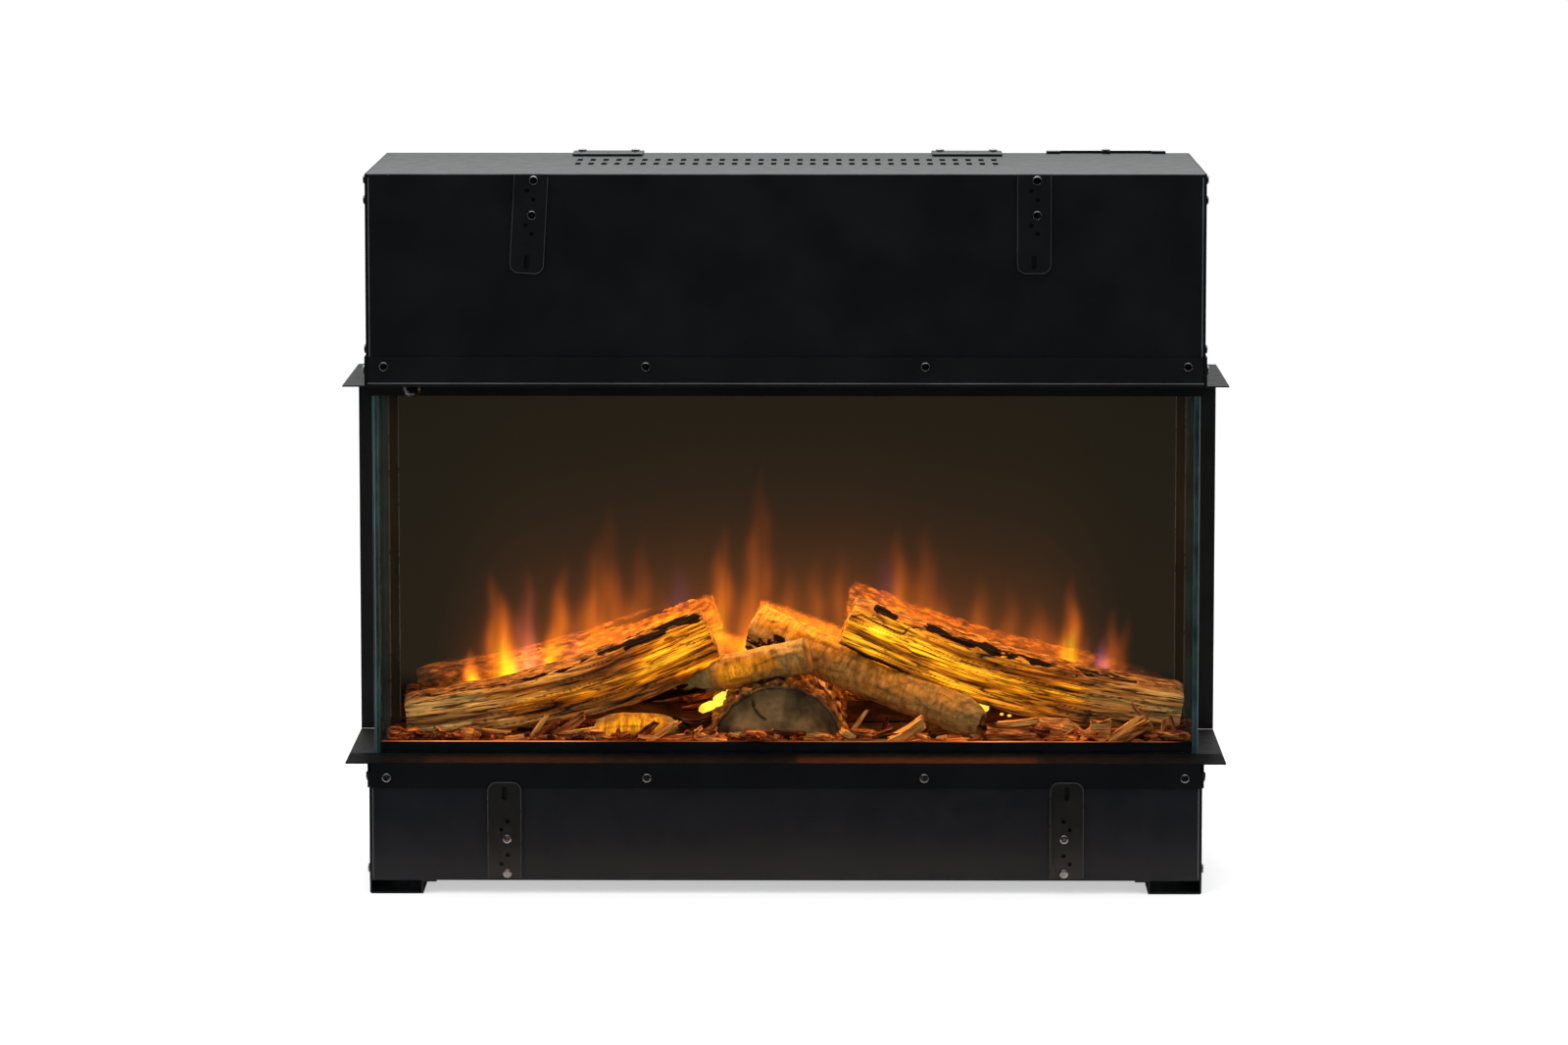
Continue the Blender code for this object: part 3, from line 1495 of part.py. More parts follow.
def make_control_board():
    """The control board on four standoffs, with its relay, transformer and plugs."""
    foot = CEILING_TOP + GAP
    board_foot = foot + BOARD_STANDOFF
    board_top = board_foot + BOARD_THICKNESS
    left, front = -BOARD_LEFT, BOARD_SETBACK
    right, rear = left + BOARD_LENGTH, front + BOARD_DEPTH
    joined = []
    for x in (left, right - STANDOFF_WIDTH):
        for y in (front, rear - STANDOFF_WIDTH):
            joined.append(
                Box((x, y, foot), (x + STANDOFF_WIDTH, y + STANDOFF_WIDTH, board_foot + SHEET))
            )
    component_shares = (
        (0.08, 0.10, 0.34, 0.48, 0.36),
        (0.42, 0.12, 0.58, 0.40, 0.20),
        (0.64, 0.10, 0.80, 0.38, 0.20),
        (0.10, 0.66, 0.30, 0.90, 0.14),
        (0.40, 0.60, 0.72, 0.88, 0.08),
        (0.82, 0.56, 0.94, 0.92, 0.13),
    )
    for x_start, y_start, x_end, y_end, height in component_shares:
        joined.append(
            Box(
                (
                    left + x_start * BOARD_LENGTH,
                    front + y_start * BOARD_DEPTH,
                    board_top - BOARD_THICKNESS / 2,
                ),
                (
                    left + x_end * BOARD_LENGTH,
                    front + y_end * BOARD_DEPTH,
                    board_top + height * BOARD_DEPTH,
                ),
            )
        )
    board = Box((left, front, board_foot), (right, rear, board_top))
    piece("control_board", "circuit_board", board, joined=joined)


def make_mains_inlet():
    """The inlet's cover with its top tabs, the cable grommet and the terminal block."""
    half = COVER_WIDTH / 2
    rear_face = BODY_DEPTH + GAP
    outer_face = rear_face + COVER_SHEET
    tab_foot = TOP_HEIGHT + GAP
    tab_top = tab_foot + COVER_SHEET
    plate = Box(
        (COVER_CENTRE - half, rear_face, TOP_HEIGHT - COVER_HEIGHT),
        (COVER_CENTRE + half, outer_face, tab_top),
    )
    spans = (
        (-half, -half + COVER_TAB_WIDTH),
        (-COVER_SCREW_TAB_WIDTH / 2, COVER_SCREW_TAB_WIDTH / 2),
        (half - COVER_TAB_WIDTH, half),
    )
    tabs = [
        Box(
            (COVER_CENTRE + start, BODY_DEPTH - COVER_TAB_DEPTH, tab_foot),
            (COVER_CENTRE + end, outer_face, tab_top),
        )
        for start, end in spans
    ]
    grommet_z = TOP_HEIGHT - GROMMET_DROP
    hole = Prism(
        circle((COVER_CENTRE, grommet_z), GROMMET_RADIUS + GAP, 24),
        "Y",
        depth(rear_face - OVERRUN),
        depth(outer_face + OVERRUN),
    )
    piece("terminal_cover", "body_paint", plate, joined=tabs, cut=[hole])

    lip_radius = GROMMET_RADIUS + GROMMET_FLANGE
    inner_lip = INNER_REAR - GROMMET_LIP
    profile = [
        (GROMMET_BORE, inner_lip),
        (GROMMET_RADIUS, inner_lip),
        (GROMMET_RADIUS, outer_face + GAP),
        (lip_radius, outer_face + GAP),
        (lip_radius, outer_face + GAP + GROMMET_LIP / 2),
        (GROMMET_RADIUS, outer_face + GAP + GROMMET_LIP),
        (GROMMET_BORE, outer_face + GAP + GROMMET_LIP),
    ]
    rings = [
        [(x, depth(back), z) for x, z in circle((COVER_CENTRE, grommet_z), radius, 20)]
        for radius, back in profile
    ]
    piece("cable_grommet", "rubber", Loft(rings, closed=True), smooth=True)
    make_terminal_block()


def make_terminal_block():
    """A stepped terminal block on the inside of the back panel, beside the inlet."""
    right = COVER_CENTRE - COVER_WIDTH / 2 - INLET_MARGIN
    left = right - TERMINAL_LENGTH
    top = UNDER_TOP - TERMINAL_DROP
    foot = top - TERMINAL_HEIGHT
    cell = TERMINAL_LENGTH / TERMINAL_CELLS
    outline = [(right, foot), (left, foot)]
    for number in range(TERMINAL_CELLS):
        start = left + number * cell
        outline += [
            (start, top),
            (start + cell / 4, top),
            (start + cell / 4, top - TERMINAL_CELL_STEP),
            (start + cell * 3 / 4, top - TERMINAL_CELL_STEP),
            (start + cell * 3 / 4, top),
        ]
    outline.append((right, top))
    piece(
        "terminal_block",
        "nylon",
        Prism(outline, "Y", depth(INNER_REAR - TERMINAL_DEPTH), depth(INNER_REAR)),
    )


def make_wire_harness():
    """The lead inside the upper box, from the terminal block to the control board."""
    lying = CEILING_TOP + HARNESS_LIFT + HARNESS_RADIUS
    block_x = COVER_CENTRE - COVER_WIDTH / 2 - INLET_MARGIN - TERMINAL_LENGTH / 2
    block_foot = UNDER_TOP - TERMINAL_DROP - TERMINAL_HEIGHT
    block_y = depth(INNER_REAR - TERMINAL_DEPTH / 2)
    board_end = -BOARD_LEFT + BOARD_LENGTH
    board_y = depth(BOARD_SETBACK + BOARD_DEPTH / 2)
    drop = 2 * BOARD_DEPTH / 3
    route = [
        Vector((block_x, block_y, block_foot - GAP)),
        Vector((block_x, block_y, block_foot - drop / 2)),
        Vector((block_x, block_y, block_foot - drop)),
        Vector((block_x - drop / 4, block_y, lying + drop / 4)),
        Vector((block_x - drop, block_y - drop / 4, lying)),
        Vector((0, board_y + drop / 4, lying)),
        Vector((board_end + drop, board_y, lying)),
        Vector((board_end + HARNESS_RADIUS + GAP, board_y, lying)),
    ]
    steps = 36
    curve = bpy.data.curves.new("wire_harness", "CURVE")
    curve.dimensions = "3D"
    curve.bevel_depth = HARNESS_RADIUS
    curve.bevel_resolution = 2
    curve.use_fill_caps = True
    spline = curve.splines.new("POLY")
    spline.points.add(steps)
    for number in range(steps + 1):
        spline.points[number].co = (*on_curve(route, number / steps), 1)
    made = bpy.data.objects.new("wire_harness", curve)
    bpy.context.scene.collection.objects.link(made)
    curve.materials.append(material("wire_sleeve", "wire_harness"))


def clear_scene():
    """Removes whatever the open file holds."""
    for old in list(bpy.data.objects):
        bpy.data.objects.remove(old, do_unlink=True)


def main():
    """Builds the whole fireplace."""
    clear_scene()
    make_body_shells()
    make_top_panel()
    make_ceiling()
    make_feet()
    make_trims()
    make_rear_flanges()
    make_glazing()
    make_rear_posts()
    make_hearth()
    make_logs()
    make_flame_engine()
    make_fan_heater()
    make_brackets()
    make_receiver_dome()
    make_power_switch()
    make_control_board()
    make_mains_inlet()
    make_wire_harness()


main()
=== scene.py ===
"""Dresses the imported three-sided electric fireplace as it looks when it is lit.

Everything is in metres in the frame of the CAD model: +X to the viewer's right,
-Y towards the viewer and +Z up. The fireplace stands on z = 0.
"""

import json
import logging
import math
from collections.abc import Iterable, Sequence
from dataclasses import dataclass, field
from enum import Enum

import bpy
import numpy as np
from bpy.types import ID, Material, Mesh, Node, NodeSocket, NodeTree, Object
from mathutils import Matrix, Vector

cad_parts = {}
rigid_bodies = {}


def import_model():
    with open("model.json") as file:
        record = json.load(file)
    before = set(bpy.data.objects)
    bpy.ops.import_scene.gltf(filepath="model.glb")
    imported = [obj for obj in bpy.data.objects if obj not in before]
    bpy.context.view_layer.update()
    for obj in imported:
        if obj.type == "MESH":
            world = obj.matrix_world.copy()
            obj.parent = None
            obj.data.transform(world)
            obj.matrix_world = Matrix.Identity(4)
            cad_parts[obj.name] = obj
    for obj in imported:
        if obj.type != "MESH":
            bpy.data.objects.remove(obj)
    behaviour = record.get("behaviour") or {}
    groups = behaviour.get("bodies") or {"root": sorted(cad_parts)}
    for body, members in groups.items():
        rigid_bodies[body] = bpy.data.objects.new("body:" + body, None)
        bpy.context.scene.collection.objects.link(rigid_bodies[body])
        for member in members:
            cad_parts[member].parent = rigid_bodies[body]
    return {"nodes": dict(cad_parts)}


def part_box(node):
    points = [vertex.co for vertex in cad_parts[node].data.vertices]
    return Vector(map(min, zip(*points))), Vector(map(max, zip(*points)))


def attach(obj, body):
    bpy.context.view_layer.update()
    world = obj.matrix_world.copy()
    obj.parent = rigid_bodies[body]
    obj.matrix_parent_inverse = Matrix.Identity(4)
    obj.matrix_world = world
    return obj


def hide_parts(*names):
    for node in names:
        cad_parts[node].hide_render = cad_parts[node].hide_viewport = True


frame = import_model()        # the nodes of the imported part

log = logging.getLogger("fireplace")
MM = 0.001
HALF_DEPTH = 0.150
Array = np.ndarray
Colour = tuple[float, float, float, float]
Point = tuple[float, float, float]
BOTH_SIDES = (-1, 1)


def linear(hex_colour: str) -> Colour:
    """Turns an sRGB hex colour into linear values.

    Args:
        hex_colour: A colour such as "#17191b".

    Returns:
        Its linear red, green and blue, and an alpha of 1.
    """
    channels = [int(hex_colour[start : start + 2], 16) / 255 for start in (1, 3, 5)]
    return (*(c / 12.92 if c <= 0.04045 else ((c + 0.055) / 1.055) ** 2.4 for c in channels), 1.0)


def rgb(hex_colour: str) -> Array:
    """The linear red, green and blue of a hex colour."""
    return np.array(linear(hex_colour)[:3])


def feed(tree: NodeTree, node: Node, inputs: dict) -> None:
    """Sets a node's inputs.

    Args:
        tree: The node tree.
        node: The node.
        inputs: For each input's name or number, a value, or the node or socket that feeds it.
    """
    for key, value in inputs.items():
        if isinstance(value, Node):
            value = value.outputs[0]
        if isinstance(value, NodeSocket):
            tree.links.new(value, node.inputs[key])
        else:
            node.inputs[key].default_value = value


def add(
    tree: NodeTree,
    kind: str,
    inputs: dict | None = None,
    stops: Sequence[tuple[float, str]] = (),
    **settings: object,
) -> Node:
    """Adds one node with its settings and links.

    Args:
        tree: The node tree that gets the node.
        kind: The node's type without its leading "ShaderNode".
        inputs: What feeds its inputs, as for feed.
        stops: The places and hex colours of a colour ramp, in rising order.
        **settings: Properties of the node itself.

    Returns:
        The new node.
    """
    made = tree.nodes.new("ShaderNode" + kind)
    for name, value in settings.items():
        setattr(made, name, value)
    for index, (place, colour) in enumerate(stops):
        elements = made.color_ramp.elements
        element = elements[index] if index < 2 else elements.new(place)
        element.position = place
        element.color = linear(colour)
    feed(tree, made, inputs or {})
    return made


def depth(from_front: float) -> float:
    """The y, in metres, of a place this many millimetres behind the front sheet."""
    return from_front * MM - HALF_DEPTH


def smooth_step(low: float, high: float, values: Array) -> Array:
    """Rises smoothly from 0 at low to 1 at high."""
    share = np.clip((values - low) / (high - low), 0, 1)
    return share * share * (3 - 2 * share)


def lattice_noise(places: Array, seed: int = 0) -> Array:
    """Smooth noise on a lattice of whole numbers.

    Each corner's value comes from its whole numbers, mixed by large odd factors.

    Args:
        places: An n by 3 array, in lattice cells.
        seed: Picks one of many patterns.

    Returns:
        A value from -1 to 1 for each place.
    """
    cell = np.floor(places).astype(np.int64)
    part = places - cell
    ease = part * part * (3 - 2 * part)
    total = np.zeros(len(places))
    for corner in range(8):
        step = np.array([corner & 1, corner >> 1 & 1, corner >> 2 & 1])
        key = ((cell + step) * np.array([73856093, 19349663, 83492791])).T
        mixed = (key[0] ^ key[1] ^ key[2]) + seed * 7919
        for factor, shift in ((1274126177, 13), (2246822519, 15)):
            mixed = (mixed ^ (mixed >> shift)) * factor & 0xFFFFFFFF
        weight = np.prod(np.where(step, ease, 1 - ease), axis=1)
        total += weight * (mixed / 2**31 - 1)
    return total


def layered_noise(places: Array, layers: int, seed: int = 0) -> Array:
    """Noise with finer and weaker layers on top.

    Args:
        places: An n by 3 array, in cells of the coarsest layer.
        layers: How many layers it has.
        seed: Picks one of many patterns.

    Returns:
        A value for each place, mostly from -1 to 1.
    """
    total = np.zeros(len(places))
    for layer in range(layers):
        total += lattice_noise(places * 2**layer + 17.3 * layer, seed + layer) / 2**layer
    return total


def staircase(values: Array, steps: float) -> Array:
    """Turns an even slope into soft steps, so many to each unit."""
    turn = math.tau * steps
    return values - np.sin(turn * values) / turn


class Finish:
    """A finish: the node material of one real surface."""

    name: str

    def paint(self, tree: NodeTree, shader: Node) -> None:
        """Sets the shader up.

        Args:
            tree: The material's nodes.
            shader: Its Principled BSDF.
        """
        raise NotImplementedError

    def material(self) -> Material:
        """The finish's material, made on first use.

        Returns:
            The material.
        """
        if self.name in bpy.data.materials:
            return bpy.data.materials[self.name]
        made = bpy.data.materials.new(self.name)
        made.use_nodes = True
        self.paint(made.node_tree, made.node_tree.nodes["Principled BSDF"])
        return made


def object_noise(
    tree: NodeTree, size_mm: float, detail: float = 2.0, stretch: Sequence[float] = (1, 1, 1)
) -> Node:
    """Noise in the object's own space, from 0 to 1.

    Args:
        tree: The node tree.
        size_mm: How big the pattern's features are, in millimetres.
        detail: How many finer layers it has.
        stretch: A multiplier of the frequency along x, y and z.

    Returns:
        The noise node.
    """
    place = add(tree, "TexCoord").outputs["Object"]
    scale = [share / (size_mm * MM) for share in stretch]
    mapped = add(tree, "Mapping", {"Vector": place, "Scale": scale})
    return add(tree, "TexNoise", {"Vector": mapped, "Scale": 1.0, "Detail": detail})


@dataclass(frozen=True)
class PowderCoat(Finish):
    """Polyester powder coat baked on steel: a near-black satin with a faint orange peel.

    A real peel is finer than a pixel, so it is drawn about twice as coarse.
    """

    name: str
    colour: str
    worn: str
    roughness: float
    peel_mm: float = 0.9
    specular: float = 0.5
    mottle_mm: float = 55.0
    gloss_mm: float = 12.0
    peel_deep_mm: float = 0.012

    def paint(self, tree: NodeTree, shader: Node) -> None:
        """Mottles the colour and the gloss a little and adds the peel.

        Args:
            tree: The material's nodes.
            shader: Its Principled BSDF.
        """
        mottle = object_noise(tree, self.mottle_mm, 4)
        tint = add(tree, "ValToRGB", {"Fac": mottle}, ((0.35, self.colour), (0.70, self.worn)))
        patchy = object_noise(tree, self.gloss_mm, 5)
        span = {1: 0.3, 2: 0.7, 3: self.roughness - 0.05, 4: self.roughness + 0.06}
        gloss = add(tree, "MapRange", {0: patchy, **span})
        peel = object_noise(tree, self.peel_mm, 1)
        relief = {"Height": peel, "Distance": self.peel_deep_mm * MM, "Strength": 0.5}
        feed(tree, shader, {"Base Color": tint, "Roughness": gloss, "Normal": add(tree, "Bump", relief)})
        feed(tree, shader, {"Specular IOR Level": self.specular})


@dataclass(frozen=True)
class Metal(Finish):
    """A bare metal, rolled, turned or drawn: fine lines along one axis break up its shine."""

    name: str
    colour: str
    dull: str
    roughness: float
    line_mm: float = 0.5
    along: tuple[float, float, float] = (0.05, 1, 1)
    cloud_mm: float = 25.0
    line_deep_mm: float = 0.01

    def paint(self, tree: NodeTree, shader: Node) -> None:
        """Lays the lines over slow changes of shade.

        Args:
            tree: The material's nodes.
            shader: Its Principled BSDF.
        """
        lines = object_noise(tree, self.line_mm, 2, self.along)
        clouds = object_noise(tree, self.cloud_mm, 3)
        both = add(tree, "Math", {0: lines, 1: clouds}, operation="MULTIPLY")
        tint = add(tree, "ValToRGB", {"Fac": both}, ((0.12, self.dull), (0.4, self.colour)))
        span = {1: 0.2, 2: 0.8, 3: self.roughness - 0.06, 4: self.roughness + 0.1}
        rough = add(tree, "MapRange", {0: lines, **span})
        relief = {"Height": lines, "Distance": self.line_deep_mm * MM, "Strength": 0.4}
        feed(tree, shader, {"Base Color": tint, "Roughness": rough, "Normal": add(tree, "Bump", relief)})
        feed(tree, shader, {"Metallic": 1.0})


@dataclass(frozen=True)
class GalvanisedSteel(Finish):
    """Hot-dip galvanised sheet: grey zinc in crystals about a centimetre across."""

    name: str = "galvanised_steel_sheet"
    spangle_mm: float = 9.0
    grit_mm: float = 3.0
    grit_deep_mm: float = 0.02

    def paint(self, tree: NodeTree, shader: Node) -> None:
        """Gives each crystal its own shade and gloss.

        Args:
            tree: The material's nodes.
            shader: Its Principled BSDF.
        """
        place = add(tree, "TexCoord").outputs["Object"]
        cells = add(tree, "TexVoronoi", {"Vector": place, "Scale": 1 / (self.spangle_mm * MM)})
        grey = add(tree, "RGBToBW", {0: cells.outputs["Color"]})
        tint = add(tree, "ValToRGB", {"Fac": grey}, ((0.1, "#7d8184"), (0.9, "#a4a8ab")))
        rough = add(tree, "MapRange", {0: grey, 3: 0.34, 4: 0.52})
        grit = object_noise(tree, self.grit_mm, 3)
        relief = {"Height": grit, "Distance": self.grit_deep_mm * MM, "Strength": 0.5}
        feed(tree, shader, {"Base Color": tint, "Roughness": rough, "Normal": add(tree, "Bump", relief)})
        feed(tree, shader, {"Metallic": 1.0})


@dataclass(frozen=True)
class Moulding(Finish):
    """A moulded polymer (ABS, polyamide, rubber or PVC): even colour under a fine grit."""

    name: str
    colour: str
    second: str
    roughness: float
    grit_mm: float = 0.35
    deep_mm: float = 0.02
    cloud_mm: float = 14.0

    def paint(self, tree: NodeTree, shader: Node) -> None:
        """Gives the polymer its tone, gloss and texture.

        Args:
            tree: The material's nodes.
            shader: Its Principled BSDF.
        """
        clouds = object_noise(tree, self.cloud_mm, 4)
        tint = add(tree, "ValToRGB", {"Fac": clouds}, ((0.3, self.colour), (0.72, self.second)))
        span = {1: 0.3, 2: 0.7, 3: self.roughness - 0.04, 4: self.roughness + 0.05}
        rough = add(tree, "MapRange", {0: clouds, **span})
        grit = object_noise(tree, self.grit_mm, 1)
        relief = {"Height": grit, "Distance": self.deep_mm * MM, "Strength": 0.6}
        feed(tree, shader, {"Base Color": tint, "Roughness": rough, "Normal": add(tree, "Bump", relief)})


@dataclass(frozen=True)
class BoardResin(Finish):
    """Glass-fibre circuit board: paler tracks show through its green solder resist."""

    name: str = "circuit_board_resist"
    track_mm: float = 11.0
    pitch_mm: float = 4.5
    gap_mm: float = 0.4
    weave_mm: float = 1.2
    weave_deep_mm: float = 0.02

    def paint(self, tree: NodeTree, shader: Node) -> None:
        """Draws tracks under the resist.

        Args:
            tree: The material's nodes.
            shader: Its Principled BSDF.
        """
        colours = {"Color1": linear("#14482a"), "Color2": linear("#1a5a34"), "Mortar": linear("#3c8a56")}
        sizes = {"Mortar Size": self.gap_mm, "Brick Width": self.track_mm, "Row Height": self.pitch_mm}
        sizes = {name: size * MM for name, size in sizes.items()}
        place = add(tree, "TexCoord").outputs["Object"]
        tracks = add(tree, "TexBrick", {"Vector": place, "Scale": 1.0, **colours, **sizes})
        weave = object_noise(tree, self.weave_mm, 1)
        relief = {"Height": weave, "Distance": self.weave_deep_mm * MM, "Strength": 0.5}
        feed(tree, shader, {"Base Color": tracks, "Roughness": 0.38, "Normal": add(tree, "Bump", relief)})


@dataclass(frozen=True)
class FloatGlass(Finish):
    """Toughened soda-lime float glass: clear faces, and ground edges of sea green.

    The faces let light straight through, so that the fire is lit through them, and mirror
    more the more slanting they are seen.
    """

    name: str = "toughened_float_glass"
    edge: tuple[str, str] = ("#16282b", "#2c4a4f")
    edge_glow: float = 0.3
    ripple_mm: float = 30.0

    def paint(self, tree: NodeTree, shader: Node) -> None:
        """Lets light through the broad faces and keeps the edges green.

        Args:
            tree: The material's nodes.
            shader: Its Principled BSDF.
        """
        clear = add(tree, "BsdfTransparent", {"Color": (0.965, 0.980, 0.975, 1)})
        gloss = add(tree, "BsdfAnisotropic", {"Color": (0.95, 1.0, 0.99, 1), "Roughness": 0.015})
        slant = add(tree, "LayerWeight", {"Blend": 0.5}).outputs["Facing"]
        steep = add(tree, "Math", {0: slant, 1: 5.0}, operation="POWER")
        mirrored = add(tree, "MapRange", {0: steep, 3: 0.04, 4: 1.0})
        face = add(tree, "MixShader", {0: mirrored, 1: clear, 2: gloss})
        ripple = object_noise(tree, self.ripple_mm, 2)
        tint = add(tree, "ValToRGB", {"Fac": ripple}, ((0.3, self.edge[0]), (0.7, self.edge[1])))
        # The edges' colour also goes into an emission: painted light for the light that the glass carries to
        # its ground edges.
        feed(tree, shader, {"Base Color": tint, "Emission Color": tint})
        feed(tree, shader, {"Emission Strength": self.edge_glow, "Roughness": 0.25})
        is_edge = add(tree, "Attribute", attribute_name="edge").outputs["Fac"]
        whole = add(tree, "MixShader", {0: is_edge, 1: face, 2: shader})
        feed(tree, tree.nodes["Material Output"], {"Surface": whole})


@dataclass(frozen=True)
class SmokedMirror(Finish):
    """Smoked acrylic mirror: it throws back the logs dimly and shows the flames in it."""

    name: str = "smoked_mirror_screen"
    smoke: tuple[str, str] = ("#c0a878", "#cab282")
    bare: str = "#0c0a08"
    smoke_mm: float = 90.0

    def paint(self, tree: NodeTree, shader: Node) -> None:
        """Adds the flames' light to a dark, brown mirror.

        Args:
            tree: The material's nodes.
            shader: Its Principled BSDF.
        """
        clouds = object_noise(tree, self.smoke_mm, 3)
        tint = add(tree, "ValToRGB", {"Fac": clouds}, ((0.3, self.smoke[0]), (0.7, self.smoke[1])))
        silver = add(tree, "Attribute", attribute_name="silvering").outputs["Fac"]
        backed = add(tree, "Mix", {0: silver, 6: linear(self.bare), 7: tint}, data_type="RGBA")
        flames = add(tree, "Attribute", attribute_name="flame_light").outputs["Color"]
        feed(tree, shader, {"Base Color": backed.outputs[2], "Metallic": 1.0, "Roughness": 0.02})
        feed(tree, shader, {"Emission Color": flames, "Emission Strength": 1.0})


@dataclass(frozen=True)
class LogResin(Finish):
    """Cast and hand-painted resin log, with the fire's light painted on it as a warm tint and an emission.

    The wood runs from dark to pale in four shades, and the bark in three. Sizes of the
    grain are given along the log and across it.
    """

    name: str
    wood: tuple[str, str, str, str]
    bark: tuple[str, str, str]
    fibre_mm: tuple[float, float]
    bark_mm: tuple[float, float]
    spotted: bool = False
    contrast: tuple[float, float] = (0.30, 1.60)
    lines: float = 0.85
    # The emission's colours for the painted firelight, from weak to strong.
    painted_firelight: tuple[str, str, str] = ("#ff9626", "#ffae1e", "#ffc822")
    groove: str = "#1c0e06"
    spot: str = "#4a3018"
    soot: str = "#0c0907"
    # Painted shade in cracks, fissures and hollows, and the dark of birch knots.
    hollow_shade_and_mark_colour: str = "#0e0805"
    # The warm tint that the painted firelight gives the colour.
    firelight_tint: str = "#ffd878"
    relief_mm: float = 1.6

    def grain_noise(
        self, tree: NodeTree, along_mm: float, across_mm: float, detail: float = 3.0
    ) -> Node:
        """Noise that follows the log's bend.

        Args:
            tree: The node tree.
            along_mm: How long its features are along the log.
            across_mm: How wide they are across it.
            detail: How many finer layers it has.

        Returns:
            The noise node.
        """
        grain = add(tree, "Attribute", attribute_name="grain").outputs["Vector"]
        scale = (1 / (along_mm * MM), 1 / (across_mm * MM), 1 / (across_mm * MM))
        mapped = add(tree, "Mapping", {"Vector": grain, "Scale": scale})
        inputs = {"Vector": mapped, "Scale": 1.0, "Detail": detail, "Roughness": 0.62}
        return add(tree, "TexNoise", inputs)

    def fibre_noise(
        self, tree: NodeTree, longer: float, wider: float, detail: float = 3.0
    ) -> Node:
        """Grain noise whose features are this many fibres long and wide."""
        return self.grain_noise(tree, self.fibre_mm[0] * longer, self.fibre_mm[1] * wider, detail)

    def grooves(self, tree: NodeTree) -> Node:
        """Where dark drying lines run along the wood.

        Args:
            tree: The material's nodes.

        Returns:
            The node with their strength.
        """
        off = add(tree, "Math", {0: self.fibre_noise(tree, 3.6, 4.2, 2), 1: 0.5}, operation="SUBTRACT")
        near = add(tree, "Math", {0: off}, operation="ABSOLUTE")
        long = add(tree, "MapRange", {0: near, 1: 0.002, 2: 0.012, 3: self.lines, 4: 0.0})
        check = self.fibre_noise(tree, 1.1, 1.9, 2)
        short = add(tree, "MapRange", {0: check, 1: 0.375, 2: 0.415, 3: self.lines, 4: 0.0})
        return add(tree, "Math", {0: long, 1: short}, operation="MAXIMUM")

    def skin(
        self, tree: NodeTree, fibre: Node, bark: Node
    ) -> NodeSocket:
        """The painted colour of wood, bark, soot, cracks and painted shade in hollows, by the masks that the
        mesh carries.

        Args:
            tree: The material's nodes.
            fibre: The noise of the wood's fibres.
            bark: The noise of the bark.

        Returns:
            The socket with the colour.
        """
        masks = add(tree, "Attribute", attribute_name="masks").outputs["Color"]
        is_bark, is_char, hollow_shade_and_marks = add(tree, "SeparateColor", {0: masks}).outputs[:3]
        # The tone shifts the wood's colour lighter or darker; part of it is painted shade.
        tone = add(tree, "Attribute", attribute_name="tone").outputs["Fac"]
        moved = add(tree, "Math", {0: self.fibre_noise(tree, 3, 5), 1: tone}, operation="ADD")
        wood = add(tree, "ValToRGB", {"Fac": moved}, tuple(zip((0.34, 0.46, 0.54, 0.64), self.wood)))
        span = {1: 0.36, 2: 0.64, 3: self.contrast[0], 4: self.contrast[1]}
        shade = add(tree, "MapRange", {0: fibre, **span}).outputs[0]
        wood = add(tree, "VectorMath", {0: wood, "Scale": shade}, operation="SCALE").outputs[0]
        rind = add(tree, "ValToRGB", {"Fac": bark}, tuple(zip((0.34, 0.50, 0.68), self.bark)))
        frayed = add(tree, "Math", {0: fibre, 1: is_char}, operation="ADD")
        layers = [
            (self.grooves(tree).outputs[0], linear(self.groove)),
            (is_bark, rind.outputs[0]),
            (add(tree, "MapRange", {0: frayed, 1: 0.92, 2: 1.06}).outputs[0], linear(self.soot)),
            (hollow_shade_and_marks, linear(self.hollow_shade_and_mark_colour)),
        ]
        if self.spotted:
            spots = {0: self.grain_noise(tree, 1.3, 2.4), 1: 0.60, 2: 0.68, 3: 0.0, 4: 0.75}
            layers.insert(2, (add(tree, "MapRange", spots).outputs[0], linear(self.spot)))
        colour = wood
        for mask, paint in layers:
            colour = add(tree, "Mix", {0: mask, 6: colour, 7: paint}, data_type="RGBA").outputs[2]
        return colour

    def paint(self, tree: NodeTree, shader: Node) -> None:
        """Paints the log, with the fire's light painted on it as a warm tint and an emission.

        Args:
            tree: The material's nodes.
            shader: Its Principled BSDF.
        """
        tinting = {"data_type": "RGBA", "blend_type": "MULTIPLY"}
        fibre = self.fibre_noise(tree, 1, 1, 5)
        bark = self.grain_noise(tree, *self.bark_mm, 6)
        skin = self.skin(tree, fibre, bark)
        # Painted firelight: where the fire's light falls, the colour takes a warm tint and the log emits.
        painted_firelight = add(tree, "Attribute", attribute_name="painted_firelight").outputs["Fac"]
        firelight_tint = add(tree, "Mix", {0: 1.0, 6: skin, 7: linear(self.firelight_tint)}, **tinting).outputs[2]
        firelit_share = add(tree, "MapRange", {0: painted_firelight, 1: 0.0, 2: 0.9})
        firelit_skin = add(tree, "Mix", {0: firelit_share, 6: skin, 7: firelight_tint}, data_type="RGBA")
        heat = add(tree, "MapRange", {0: painted_firelight, 1: 0.0, 2: 2.0})
        flame = add(tree, "ValToRGB", {"Fac": heat}, tuple(zip((0.05, 0.5, 1.0), self.painted_firelight)))
        warm = add(tree, "Mix", {0: 1.0, 6: skin, 7: flame}, **tinting).outputs[2]
